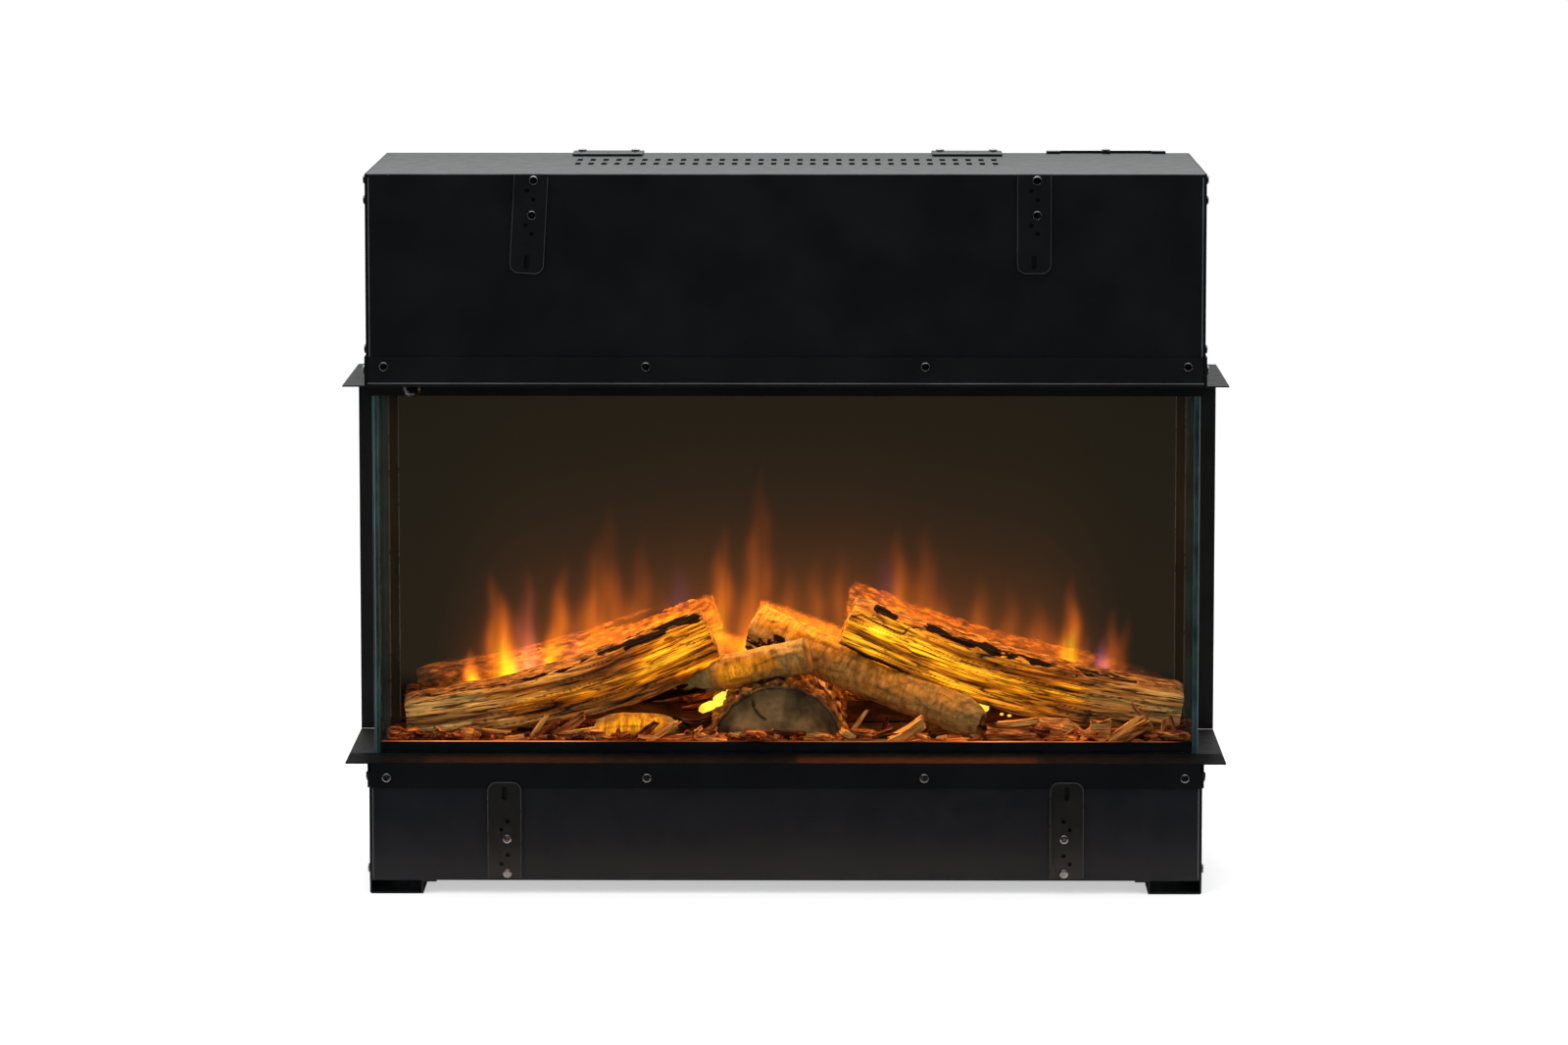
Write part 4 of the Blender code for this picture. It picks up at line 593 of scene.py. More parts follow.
        # Streaky patches make the painted firelight stronger in some fibres than in others.
        thin = self.fibre_noise(tree, 2, 3)
        patches = add(tree, "MapRange", {0: thin, 1: 0.36, 2: 0.64, 3: 0.35, 4: 1.6})
        power = add(tree, "Math", {0: painted_firelight, 1: patches}, operation="MULTIPLY")
        lit = add(tree, "VectorMath", {0: warm, "Scale": power}, operation="SCALE")
        masks = add(tree, "Attribute", attribute_name="masks").outputs["Color"]
        is_bark = add(tree, "SeparateColor", {0: masks})
        height = add(tree, "Mix", {0: is_bark, 2: fibre, 3: bark}, data_type="FLOAT")
        relief = {"Height": height, "Distance": self.relief_mm * MM, "Strength": 0.8}
        rough = add(tree, "MapRange", {0: fibre, 3: 0.62, 4: 0.92})
        feed(tree, shader, {"Base Color": firelit_skin.outputs[2], "Normal": add(tree, "Bump", relief)})
        feed(tree, shader, {"Emission Color": lit, "Emission Strength": 1.0})
        feed(tree, shader, {"Specular IOR Level": 0.2, "Roughness": rough})


@dataclass(frozen=True)
class EmberResin(Finish):
    """Crushed clear resin over red and orange lamps: dark lumps with bright cracks."""

    name: str
    dark: str
    ember: str
    dim: str = "#7a1c04"
    power: float = 0.8
    crowns: tuple[str, str] = ("#4a2210", "#8a4a20")
    lump_mm: float = 9.0
    lit_from: float = 0.46
    gloss: float = 0.5
    grit_mm: float = 1.6
    grit_deep_mm: float = 0.8
    sheen_mm: float = 4.0

    def paint(self, tree: NodeTree, shader: Node) -> None:
        """Lets the light out where the lumps are thin.

        Args:
            tree: The material's nodes.
            shader: Its Principled BSDF.
        """
        lumps = object_noise(tree, self.lump_mm, 4)
        shades = tuple(zip((0.35, 0.55, 0.75), (self.dark, *self.crowns)))
        tint = add(tree, "ValToRGB", {"Fac": lumps}, shades)
        rising = (self.lit_from, self.lit_from + 0.12, self.lit_from + 0.26)
        light = add(tree, "ValToRGB", {"Fac": lumps}, tuple(zip(rising, ("#000000", self.dim, self.ember))))
        rough = add(tree, "MapRange", {0: object_noise(tree, self.sheen_mm, 2), 3: 0.25, 4: 0.7})
        grit = object_noise(tree, self.grit_mm, 3)
        relief = {"Height": grit, "Distance": self.grit_deep_mm * MM, "Strength": 0.8}
        feed(tree, shader, {"Base Color": tint, "Roughness": rough, "Normal": add(tree, "Bump", relief)})
        feed(tree, shader, {"Emission Color": light, "Emission Strength": self.power})
        feed(tree, shader, {"Specular IOR Level": self.gloss})


@dataclass(frozen=True)
class Kindling(Finish):
    """Loose splinters of dyed wood: each has its own shade, with fine fibres along it."""

    name: str = "loose_wood_kindling"
    shades: tuple[str, str, str, str] = ("#140603", "#50240e", "#985626", "#cc9650")
    firelight: str = "#ff9850"
    fibre_mm: tuple[float, float] = (16.6667, 1.5625)
    relief_mm: float = 0.3

    def paint(self, tree: NodeTree, shader: Node) -> None:
        """Picks a shade for each splinter, draws its fibres and paints the light of the lamps under the bed
        on it as emission.

        Args:
            tree: The material's nodes.
            shader: Its Principled BSDF.
        """
        along, across = (1 / (size * MM) for size in self.fibre_mm)
        grain = add(tree, "Attribute", attribute_name="grain").outputs["Vector"]
        mapped = add(tree, "Mapping", {"Vector": grain, "Scale": (along, across, across)})
        fibre = add(tree, "TexNoise", {"Vector": mapped, "Scale": 1.0, "Detail": 3.0})
        spread = add(tree, "MapRange", {0: fibre, 1: 0.34, 2: 0.66})
        own = add(tree, "Attribute", attribute_name="shade").outputs["Fac"]
        moved = add(tree, "Mix", {0: 0.40, 2: own, 3: spread}, data_type="FLOAT")
        tint = add(tree, "ValToRGB", {"Fac": moved}, tuple(zip((0.18, 0.38, 0.58, 0.80), self.shades)))
        tinting = {"data_type": "RGBA", "blend_type": "MULTIPLY"}
        painted_firelight = add(tree, "Mix", {0: 1.0, 6: tint, 7: linear(self.firelight)}, **tinting).outputs[2]
        warm = add(tree, "Attribute", attribute_name="warmth").outputs["Fac"]
        lit = add(tree, "VectorMath", {0: painted_firelight, "Scale": warm}, operation="SCALE")
        relief = {"Height": fibre, "Distance": self.relief_mm * MM, "Strength": 0.8}
        feed(tree, shader, {"Base Color": tint, "Roughness": 0.75, "Normal": add(tree, "Bump", relief)})
        feed(tree, shader, {"Emission Color": lit, "Emission Strength": 1.0})
        feed(tree, shader, {"Specular IOR Level": 0.15})


# Powder coats: how dull each is decides how much of the studio shows in it as a soft haze.
BODY_PAINT = PowderCoat("satin_black_powder_coat", "#0c1013", "#11151a", 0.36)
# A lit copy of the satin black: painted a little lighter and bluer for the light on the lower panels, sides
# and feet, with a weaker specular.
LOWER_LIT_COPY_PAINT = PowderCoat("satin_black_powder_coat_lit_copy", "#0e131b", "#11161e", 0.36, specular=0.36)
TRIM_PAINT = PowderCoat("matt_black_powder_coat", "#0c0f12", "#101316", 0.46)
LEDGE_PAINT = PowderCoat("dull_black_powder_coat", "#0d0f12", "#101316", 0.40, specular=0.02)
# The posts' black coat, tinted warm brown as painted firelight from the fire beside them.
POST_FIRELIT_PAINT = PowderCoat("black_powder_coat_painted_firelight", "#1b1813", "#231f18", 0.36)
BRACKET_PAINT = PowderCoat("black_bracket_powder_coat", "#0f1214", "#15181a", 0.32, 0.7)

# Painted highlights: a fine paler line on folds and on bracket and post edges. On the glass the pale line is
# the ground arris, brightened as a painted highlight.
FOLD_PAINTED_HIGHLIGHT = PowderCoat("painted_highlight_on_folds", "#484c4f", "#5e6265", 0.30)
EDGE_PAINTED_HIGHLIGHT = PowderCoat("painted_highlight_on_edges", "#2c3032", "#3e4244", 0.30)
GLASS_ARRIS = PowderCoat("ground_glass_arris_highlight", "#566468", "#6c7c80", 0.20)

# Cast resin: split wood shows long fibres, birch shows spotted bark, and the half log is sawn.
SPLIT_RESIN = LogResin(
    "cast_resin_split_log",
    ("#46290f", "#78542a", "#9e7a44", "#b4985e"),
    ("#201109", "#6a4626", "#b4884a"),
    (36.0, 1.7),
    (10.0, 3.5),
)
BIRCH_RESIN = LogResin(
    "cast_resin_birch_log",
    ("#5e3e1c", "#92703a", "#ac864e", "#be9a62"),
    ("#6a522a", "#846a3e", "#98804a"),
    (1.6, 6.0),
    (6.0, 9.0),
    spotted=True,
    contrast=(0.8, 1.2),
    lines=0.25,
    painted_firelight=("#ff9c1c", "#ffac1c", "#ffc01c"),
)
HALF_RESIN = LogResin(
    "cast_resin_half_log",
    ("#3e2e1a", "#6e5636", "#8a6e48", "#987c54"),
    ("#1a0e07", "#5a3818", "#a47434"),
    (3.0, 9.0),
    (12.0, 8.0),
    contrast=(0.85, 1.15),
    lines=0.0,
)

# Lit resin: a dim bed and crumbs with glowing cracks. The shining lumps and the tray's lit lip are painted
# light: the light seen between the logs, and firelight on the lip.
EMBER_BED = EmberResin(
    "ember_bed_resin", "#080402", "#c8480c", power=0.12, crowns=("#140a05", "#241208"), lump_mm=14.0,
    gloss=0.05,
)
EMBER_GLASS = EmberResin("ember_crumb_resin", "#160904", "#ff4a10", power=0.45, lump_mm=6.0)
# Lumps that stand in for the light seen between the logs: painted light.
GAP_LIGHT_RESIN = EmberResin("painted_gap_light_resin", "#c87818", "#ffe848", "#ffb81c", 1.3, lump_mm=30.0, lit_from=0.24)
# The tray's lip glows with painted firelight.
LIT_LIP = EmberResin(
    "lit_tray_lip", "#0a0503", "#e07c48", "#8a4020", 2.1, ("#2a150c", "#5a2c18"), 110.0, 0.36
)

GLASS = FloatGlass()
KINDLING = Kindling()
SCREW_STEEL = Metal("blackened_screw_steel", "#c4c6ca", "#96989c", 0.24, 0.4, (1, 1, 1))

NODE_FINISHES: dict[Finish, tuple[str, ...]] = {
    BODY_PAINT: (
        "upper_front_panel", "upper_side_left", "upper_side_right", "top_panel",
        "firebox_ceiling", "rear_flange_left", "rear_flange_right", "glass_channel_top",
        "glass_channel_bottom", "hearth_tray", "terminal_cover", "blower_housing",
    ),
    LOWER_LIT_COPY_PAINT: ("lower_front_panel", "lower_side_left", "lower_side_right", "foot_left", "foot_right"),
    TRIM_PAINT: (
        "upper_trim_front", "upper_trim_left", "upper_trim_right", "lower_trim_left", "lower_trim_right",
    ),
    LEDGE_PAINT: ("lower_trim_front",),
    POST_FIRELIT_PAINT: ("rear_post_left", "rear_post_right"),
    BRACKET_PAINT: (
        "bracket_upper_left", "bracket_upper_right", "bracket_lower_left",
        "bracket_lower_right", "bracket_top_left", "bracket_top_right",
    ),
    GalvanisedSteel(): ("base_pan", "back_panel", "rotor_bearing"),
    # Polished strip throws sharp glints, and drawn, extruded or stamped metal softer ones.
    Metal("mirror_polished_steel", "#d3d5d7", "#a8abae", 0.14, 0.4): ("flame_rotor",),
    Metal("drawn_steel_motor_can", "#a3a5a7", "#7c7e80", 0.36, 0.6): ("rotor_motor", "blower_motor"),
    Metal("extruded_aluminium_bar", "#c6c8ca", "#9b9da0", 0.38, 0.3): ("ember_lamp_bar", "flame_lamp_bar"),
    Metal("stamped_aluminium_wheel", "#b0b3b5", "#84878a", 0.34, 0.5): ("blower_impeller",),
    Metal("oxidised_heater_alloy", "#8e8a86", "#5b5650", 0.46, 0.5, (1, 1, 0.1)): ("heating_element",),
    # Moulded parts: the lens is glossy and smooth, the rest have a dull, gritty skin.
    Moulding("black_abs_moulding", "#0f1011", "#151617", 0.34): ("power_switch_body", "power_switch_rocker"),
    Moulding("tinted_lens_acrylic", "#060608", "#0a0a0d", 0.10, 6.0, 0.01): ("receiver_dome",),
    Moulding("natural_polyamide", "#d8d4c8", "#e8e5dc", 0.46, 0.5): ("terminal_block",),
    Moulding("black_rubber_grommet", "#121212", "#1b1b1b", 0.80, 0.4, 0.03): ("cable_grommet",),
    Moulding("grey_pvc_sleeve", "#34363a", "#45474b", 0.55, 0.6): ("wire_harness",),
    BoardResin(): ("control_board",),
}


def select_only(objects: Iterable[Object]) -> None:
    """Selects these objects and nothing else, the last as the active one.

    Args:
        objects: The objects.
    """
    for other in bpy.context.view_layer.objects:
        other.select_set(False)
    for chosen in objects:
        chosen.select_set(True)
        bpy.context.view_layer.objects.active = chosen


def start_piece(name: str) -> Object:
    """Names the primitive that was just added.

    Args:
        name: The piece's name.

    Returns:
        The piece.
    """
    made = bpy.context.active_object
    made.name = name
    made.data.name = name
    return made


def settle(piece: Object) -> None:
    """Puts the piece's place into its mesh and leaves its object at the origin."""
    select_only([piece])
    bpy.ops.object.transform_apply(location=True, rotation=True, scale=True)


def apply_modifier(piece: Object, kind: str, **settings: object) -> None:
    """Adds a modifier and applies it.

    Args:
        piece: The piece that it shapes.
        kind: The modifier's type.
        **settings: Its properties.
    """
    select_only([piece])
    modifier = piece.modifiers.new(kind.lower(), kind)
    for name, value in settings.items():
        setattr(modifier, name, value)
    bpy.ops.object.modifier_apply(modifier=modifier.name)


def points_of(mesh: Mesh, what: str = "co") -> Array:
    """The vertices' places or normals.

    Args:
        mesh: The mesh.
        what: "co" for the places and "normal" for the normals.

    Returns:
        An n by 3 array.
    """
    values = np.zeros(len(mesh.vertices) * 3)
    mesh.vertices.foreach_get(what, values)
    return values.reshape(-1, 3)


def set_points(mesh: Mesh, places: Array) -> None:
    """Moves the vertices to these places."""
    mesh.vertices.foreach_set("co", places.ravel())
    mesh.update()


def select_vertices(piece: Object, chosen: Array) -> None:
    """Makes the piece active, with only these vertices and the edges between them selected.

    Args:
        piece: The piece.
        chosen: Whether each vertex is selected.
    """
    select_only([piece])
    mesh = piece.data
    ends = np.zeros(len(mesh.edges) * 2, dtype=np.int32)
    mesh.edges.foreach_get("vertices", ends)
    mesh.vertices.foreach_set("select", chosen)
    mesh.edges.foreach_set("select", chosen[ends].reshape(-1, 2).all(1))
    mesh.polygons.foreach_set("select", np.zeros(len(mesh.polygons), dtype=bool))
    bpy.context.tool_settings.mesh_select_mode = (True, False, False)


def put_in_scene(name: str, data: ID) -> Object:
    """Puts an object with this mesh, curve, light or camera into the scene.

    Args:
        name: The object's name.
        data: Its data.

    Returns:
        The object, at the origin.
    """
    made = bpy.data.objects.new(name, data)
    bpy.context.scene.collection.objects.link(made)
    return made


def join(name: str, parts: Sequence[Object]) -> Object:
    """Makes one piece of several objects.

    Args:
        name: The piece's name.
        parts: The objects.

    Returns:
        The piece.
    """
    select_only(parts)
    bpy.ops.object.join()
    return start_piece(name)


def store(mesh: Mesh, name: str, kind: str, values: Array) -> None:
    """Keeps values with the vertices.

    Args:
        mesh: The mesh.
        name: The attribute's name, which materials read.
        kind: FLOAT, FLOAT_VECTOR or FLOAT_COLOR.
        values: One row for each vertex.
    """
    key = {"FLOAT": "value", "FLOAT_VECTOR": "vector", "FLOAT_COLOR": "color"}[kind]
    attribute = mesh.attributes.new(name, kind, "POINT")
    attribute.data.foreach_set(key, values.astype(np.float32).ravel())


def hand_over(
    piece: Object, finish: Finish, body: str = "body", nodes: Sequence[str] = ()
) -> None:
    """Dresses a finished piece and fixes it to its body.

    Args:
        piece: The finished piece, with its place in its mesh.
        finish: What it is covered with.
        body: The CAD body that it moves with.
        nodes: The CAD nodes that it stands for.
    """
    piece.data.materials.clear()
    piece.data.materials.append(finish.material())
    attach(piece, body)
    if nodes:
        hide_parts(*nodes)
    log.info("%s: %d faces, on %s", piece.name, len(piece.data.polygons), body)


@dataclass(frozen=True)
class Route:
    """A log's centre line in millimetres, with its width and height at each point."""

    points: tuple[tuple[float, float, float], ...]
    widths: tuple[float, ...]
    heights: tuple[float, ...]

    def line(self, count: int = 64) -> Array:
        """Follows a smooth curve through the points.

        Args:
            count: How many places to return.

        Returns:
            A row for each place, with its x, y, z, width and height in metres.
        """
        spans = len(self.points) - 1
        values = np.column_stack([np.array(self.points), self.widths, self.heights]) * MM
        place = np.linspace(0, spans, count)
        index = np.minimum(place.astype(int), spans - 1)
        t = (place - index)[:, None]
        picked = [values[np.clip(index + step, 0, spans)] for step in (-1, 0, 1, 2)]
        before, start, end, after = picked
        return (
            start
            + (end - before) / 2 * t
            + (before - start * 2.5 + end * 2 - after / 2) * t**2
            + ((after - before) / 2 + (start - end) * 1.5) * t**3
        )


@dataclass
class LogPlaces:
    """The vertices of a log, and where each lies in the log's own straightened frame."""

    places: Array
    normals: Array
    seed: int
    run: Array
    side: Array
    up: Array
    width: Array
    height: Array
    facing_side: Array
    facing_end: Array
    total: float

    @classmethod
    def of(cls, route: Route, mesh: Mesh, seed: int) -> "LogPlaces":
        """Works the frame out.

        Args:
            route: The log's route.
            mesh: The log's mesh.
            seed: Picks its noise.

        Returns:
            The places in the log's frame.
        """
        places, normals = points_of(mesh), points_of(mesh, "normal")
        line = route.line()
        centres = line[:, :3]
        along = np.gradient(centres, axis=0)
        along /= np.linalg.norm(along, axis=1)[:, None]
        sideways = np.cross((0, 0, 1), along)
        sideways /= np.linalg.norm(sideways, axis=1)[:, None]
        upwards = np.cross(along, sideways)
        steps = np.linalg.norm(np.diff(centres, axis=0), axis=1)
        lengths = np.concatenate([[0], np.cumsum(steps)])
        square = (centres**2).sum(1)[None] - 2 * places @ centres.T
        near = square.argmin(1)
        offset = places - centres[near]
        return cls(
            places=places,
            normals=normals,
            seed=seed,
            run=lengths[near] + (offset * along[near]).sum(1),
            side=(offset * sideways[near]).sum(1),
            up=(offset * upwards[near]).sum(1),
            width=line[near, 3],
            height=line[near, 4],
            facing_side=(normals * sideways[near]).sum(1),
            facing_end=(normals * along[near]).sum(1),
            total=float(lengths[-1]),
        )

    def noise(self, run_mm: float, across_mm: float, pick: int, layers: int = 1) -> Array:
        """Noise along the log.

        Args:
            run_mm: How long its features are along the log.
            across_mm: How wide they are across it.
            pick: Picks one of the log's patterns.
            layers: How many finer layers it has.

        Returns:
            One value for each vertex.
        """
        scaled = np.column_stack([self.run / run_mm, self.side / across_mm, self.up / across_mm])
        return layered_noise(scaled / MM, layers, self.seed + pick)


@dataclass(frozen=True)
class Spot:
    """A soft patch seen from the front, in millimetres: its middle, reach and strength."""

    x: float
    z: float
    reach_x: float
    reach_z: float
    strength: float

    def over(self, places: Array) -> Array:
        """How strong the patch is.

        Args:
            places: The vertices, in metres.

        Returns:
            One value for each vertex.
        """
        across = (places[:, 0] / MM - self.x) / self.reach_x
        up = (places[:, 2] / MM - self.z) / self.reach_z
        return self.strength * np.exp(-(across**2) - up**2)


@dataclass(frozen=True)
class Stroke:
    """A soft, ragged line seen from the front, in millimetres."""

    points: tuple[tuple[float, float], ...]
    width: float
    strength: float = 1.0
    ragged: float = 0.35

    def over(self, places: Array) -> Array:
        """How strong the stroke is.

        Args:
            places: The vertices, in metres.

        Returns:
            One value for each vertex.
        """
        x, z = places[:, 0] / MM, places[:, 2] / MM
        nearest = np.full(len(x), 1e6)
        for (x0, z0), (x1, z1) in zip(self.points, self.points[1:]):
            step_x, step_z = x1 - x0, z1 - z0
            share = ((x - x0) * step_x + (z - z0) * step_z) / (step_x**2 + step_z**2)
            share = np.clip(share, 0, 1)
            nearest = np.minimum(nearest, np.hypot(x - x0 - share * step_x, z - z0 - share * step_z))
        return self.strength * np.exp(-((nearest / self.width) ** 2))


class Section(Enum):
    """How a log was cut."""

    SPLIT = "split"
    ROUND = "round"
    HALF = "half"


# In metres: up to the first height a log keeps the CAD shape that sits in the bed, and from the second on
# it is carved in full.
BED_CONTACT = (0.1292, 0.1310)


@dataclass(frozen=True)
class MouldedLog:
    """One moulded log: the CAD log with its grain, bark and cracks, painted shade in its hollows and painted
    firelight.
    """

    node: str
    section: Section
    route: Route
    finish: LogResin
    slot: str
    seed: int
    voxel_mm: float = 1.3
    crack_depth: float = 0.0016
    char_depth: float = 0.0008
    # Painted firelight: over the whole log, on the faces turned back towards the flames, and in spots and
    # strokes.
    base_painted_firelight: float = 0.0
    rear_painted_firelight: float = 0.0
    painted_firelight_marks: tuple[Spot | Stroke, ...] = ()
    chars: tuple[Spot | Stroke, ...] = ()
    cracks: tuple[Stroke, ...] = ()
    # Spots that shift the wood's tone lighter or darker; the darker ones on the birch branch and the half
    # log are painted shade.
    tone_and_shade_spots: tuple[Spot, ...] = ()
    rounded_mm: tuple[float, float] = (0.0, 0.0)
    broken_mm: float = 0.0

    def build(self) -> None:
        """Makes the log."""
        piece = self.remesh()
        mesh = piece.data
        local = LogPlaces.of(self.route, mesh, self.seed)
        places = local.places
        carve = {Section.SPLIT: self.split, Section.ROUND: self.round, Section.HALF: self.half}
        lift, bark, hollow_shade_and_marks = carve[self.section](local)
        cut = self.cut(local)
        lift = self.end_lift(local, lift - self.crack_depth * cut)
        # The drawn cracks also get painted shade.
        hollow_shade_and_marks = np.maximum(hollow_shade_and_marks, 0.95 * cut)
        char = np.zeros(len(places))
        ragged = 0.42 * local.noise(11, 3, 40, 3)
        for stroke in self.chars:
            char = np.maximum(char, smooth_step(0.30, 0.80, stroke.over(places) + ragged))
        seat = smooth_step(*BED_CONTACT, places[:, 2])
        set_points(mesh, places + local.normals * ((lift - self.char_depth * char) * seat)[:, None])
        store(mesh, "grain", "FLOAT_VECTOR", np.column_stack([local.run, local.side, local.up]))
        store(mesh, "masks", "FLOAT_COLOR", np.column_stack([bark, char, hollow_shade_and_marks, np.ones(len(bark))]))
        # The painted firelight, kept off the painted shade in the hollows.
        store(mesh, "painted_firelight", "FLOAT", self.painted_firelight_strength(local) * (1 - hollow_shade_and_marks))
        tone = sum((spot.over(places) for spot in self.tone_and_shade_spots), np.zeros(len(places)))
        store(mesh, "tone", "FLOAT", tone)
        hand_over(piece, self.finish, nodes=(self.node,))

    def remesh(self) -> Object:
        """Copies the CAD log and gives it even, fine faces.

        Returns:
            The copy.
        """
        piece = put_in_scene(self.node + "_moulded", frame["nodes"][self.node].data.copy())
        select_only([piece])
        bpy.ops.object.mode_set(mode="EDIT")
        bpy.ops.mesh.select_all(action="SELECT")
        bpy.ops.mesh.remove_doubles(threshold=0.00001)
        bpy.ops.object.mode_set(mode="OBJECT")
        voxel = self.voxel_mm * 1.0 * MM
        apply_modifier(piece, "REMESH", mode="VOXEL", voxel_size=voxel, use_smooth_shade=True)
        apply_modifier(piece, "SMOOTH", factor=0.5, iterations=4)
        return piece

    def cut(self, local: LogPlaces) -> Array:
        """Where the drawn cracks open.

        Args:
            local: The vertices in the log's frame.

        Returns:
            From 0 to 1 for each vertex.
        """
        open_share = np.zeros(len(local.places))
        for stroke in self.cracks:
            ragged = stroke.ragged * local.noise(9, 3, 41)
            share = smooth_step(0.35, 0.7, stroke.over(local.places) + ragged)
            open_share = np.maximum(open_share, share)
        return open_share * smooth_step(0.1, 0.5, -local.normals[:, 1])

    def end_lift(self, local: LogPlaces, lift: Array) -> Array:
        """Rounds or breaks the log's ends.

        Args:
            local: The vertices in the log's frame.
            lift: How far each vertex moves out so far, in metres.

        Returns:
            How far it moves with its end shaped.
        """
        for reach, edge in zip(self.rounded_mm, (local.run, local.total - local.run)):
            if reach:
                share = 1 - np.clip(edge / MM / reach, 0, 1)
                lift = lift - 0.45 * reach * MM * (1 - np.sqrt(1 - share**2))
        if self.broken_mm:
            near_end = smooth_step(0.5, 0.8, np.abs(local.facing_end))
            splinters = 0.5 + 0.5 * local.noise(9, 6, 60, 2)
            lift = lift - near_end * self.broken_mm * MM * splinters
        return lift

    def painted_firelight_strength(self, local: LogPlaces) -> Array:
        """How strongly the fire's light is painted on the log.

        Args:
            local: The vertices in the log's frame.

        Returns:
            One value for each vertex.
        """
        painted_firelight = self.base_painted_firelight + sum(spot.over(local.places) for spot in self.painted_firelight_marks)
        inward = 1 - smooth_step(290, 345, np.abs(local.places[:, 0]) / MM)
        # Painted firelight on the faces turned back towards the flames.
        painted_firelight += self.rear_painted_firelight * smooth_step(0.1, 0.5, local.normals[:, 1]) * inward
        flicker = 1 + 0.30 * local.noise(35, 12, 50, 2)
        return np.clip(painted_firelight * flicker, 0, None)

    def split(self, local: LogPlaces) -> tuple[Array, ...]:
        """Carves a split log: torn fibres on its front face and bark on the rest.

        Args:
            local: The vertices in the log's frame.

        Returns:
            The lift in metres, and the masks of bark and of painted shade in hollows.
        """
        end = smooth_step(0.55, 0.8, np.abs(local.facing_end))
        face = smooth_step(0.25, 0.6, -local.facing_side) * (1 - end)
        rows = local.up / MM + 5 * local.noise(80, 30, 0)
        flat = np.zeros(len(rows))

        def rowed(run_mm: float, row_mm: float, pick: int) -> Array:
            """Noise along the wood's warped rows, constant through its depth."""
            scaled = np.column_stack([local.run / MM / run_mm, rows / row_mm, flat])
            return lattice_noise(scaled, self.seed + pick)

        ledge = staircase(rowed(150, 12, 1) + 0.5 * rowed(60, 6, 2), 2.2)
        fibre = rowed(38, 1.9, 3) + 0.6 * rowed(16, 1.0, 4)
        crack = (1 - np.abs(rowed(95, 7.5, 5))) ** 16 * smooth_step(-0.2, 0.3, rowed(60, 20, 6))
        fine = (1 - np.abs(rowed(42, 3.0, 7))) ** 10 * smooth_step(0.0, 0.5, rowed(50, 9, 8))
        lumps = local.noise(20, 11, 9, 3)
        fissure = (1 - np.abs(local.noise(26, 9, 12))) ** 7
        front = face * (0.0017 * ledge + 0.00055 * fibre - 0.0026 * crack - 0.0011 * fine)
        lift = front + (1 - face) * (0.0013 * lumps - 0.0010 * fissure)
        # Painted shade in the face's cracks and the bark's fissures.
        hollow_shade_and_marks = np.clip(face * (1.1 * crack + 0.8 * fine) + (1 - face) * 0.45 * fissure, 0, 0.92)
        bark = (1 - face) * (1 - 0.6 * end)
        height = (local.up / local.height - 0.45) / 0.09
        rim = np.exp(-(height**2)) * smooth_step(0.0, 0.5, -local.facing_side)
        torn = smooth_step(-0.25, 0.35, local.noise(30, 6, 14, 2))
        return lift, np.maximum(bark, rim * torn), hollow_shade_and_marks

    def round(self, local: LogPlaces) -> tuple[Array, ...]:
        """Carves a birch branch: smooth bark with knots, and sawn ends.

        Args:
            local: The vertices in the log's frame.

        Returns:
            The lift in metres, and the masks of bark and of dark peel lines and knots.
        """
        end = smooth_step(0.55, 0.8, np.abs(local.facing_end))
        knots = smooth_step(0.45, 0.9, local.noise(26, 13, 0, 1))
        skin = local.noise(9, 5, 3, 3)
        sawn = end * 0.0003 * local.noise(3, 4, 5, 2)
        peel = (1 - np.abs(local.noise(14, 9, 7))) ** 12
        # Peel lines and knots darkened: partly painted shade, partly the birch's own dark marks.
        hollow_shade_and_marks = np.clip((1 - end) * (0.5 * peel + 0.25 * knots), 0, 0.8)
        return (1 - end) * (0.0005 * skin + 0.0012 * knots) + sawn, 1 - end, hollow_shade_and_marks

    def half(self, local: LogPlaces) -> tuple[Array, ...]:
        """Carves the half log: a sawn face with rings, in charred, ragged bark.

        Args:
            local: The vertices in the log's frame.

        Returns:
            The lift in metres, and the masks of bark and of painted shade in hollows.
        """
        face = smooth_step(0.6, 0.85, -local.facing_end)
        radius = np.hypot(local.side / (local.width / 2), local.up / local.height)
        radius += 0.022 * local.noise(30, 9, 1, 2)
        rim = smooth_step(0.86, 0.90, radius)
        ring = np.exp(-(((radius - 0.845) / 0.022) ** 2))
        lumps = local.noise(14, 11, 2, 3)
        fissure = (1 - np.abs(local.noise(16, 10, 5))) ** 6
        bark = np.maximum(1 - face, rim)
        rings = np.sin(radius * 60 + 2 * local.noise(30, 18, 6))
        lift = bark * (0.0030 * lumps - 0.0026 * fissure) + face * (0.00010 * rings - 0.0012 * ring)
        # Painted shade on the sawn face towards the bark, in its dark ring and in the bark's fissures.
        shade = 0.6 * smooth_step(0.55, 0.86, radius) * (1 - rim)
        hollow_shade_and_marks = face * np.maximum(shade, 0.9 * ring) + bark * 0.7 * fissure
        return lift, bark, np.clip(hollow_shade_and_marks, 0, 0.95)


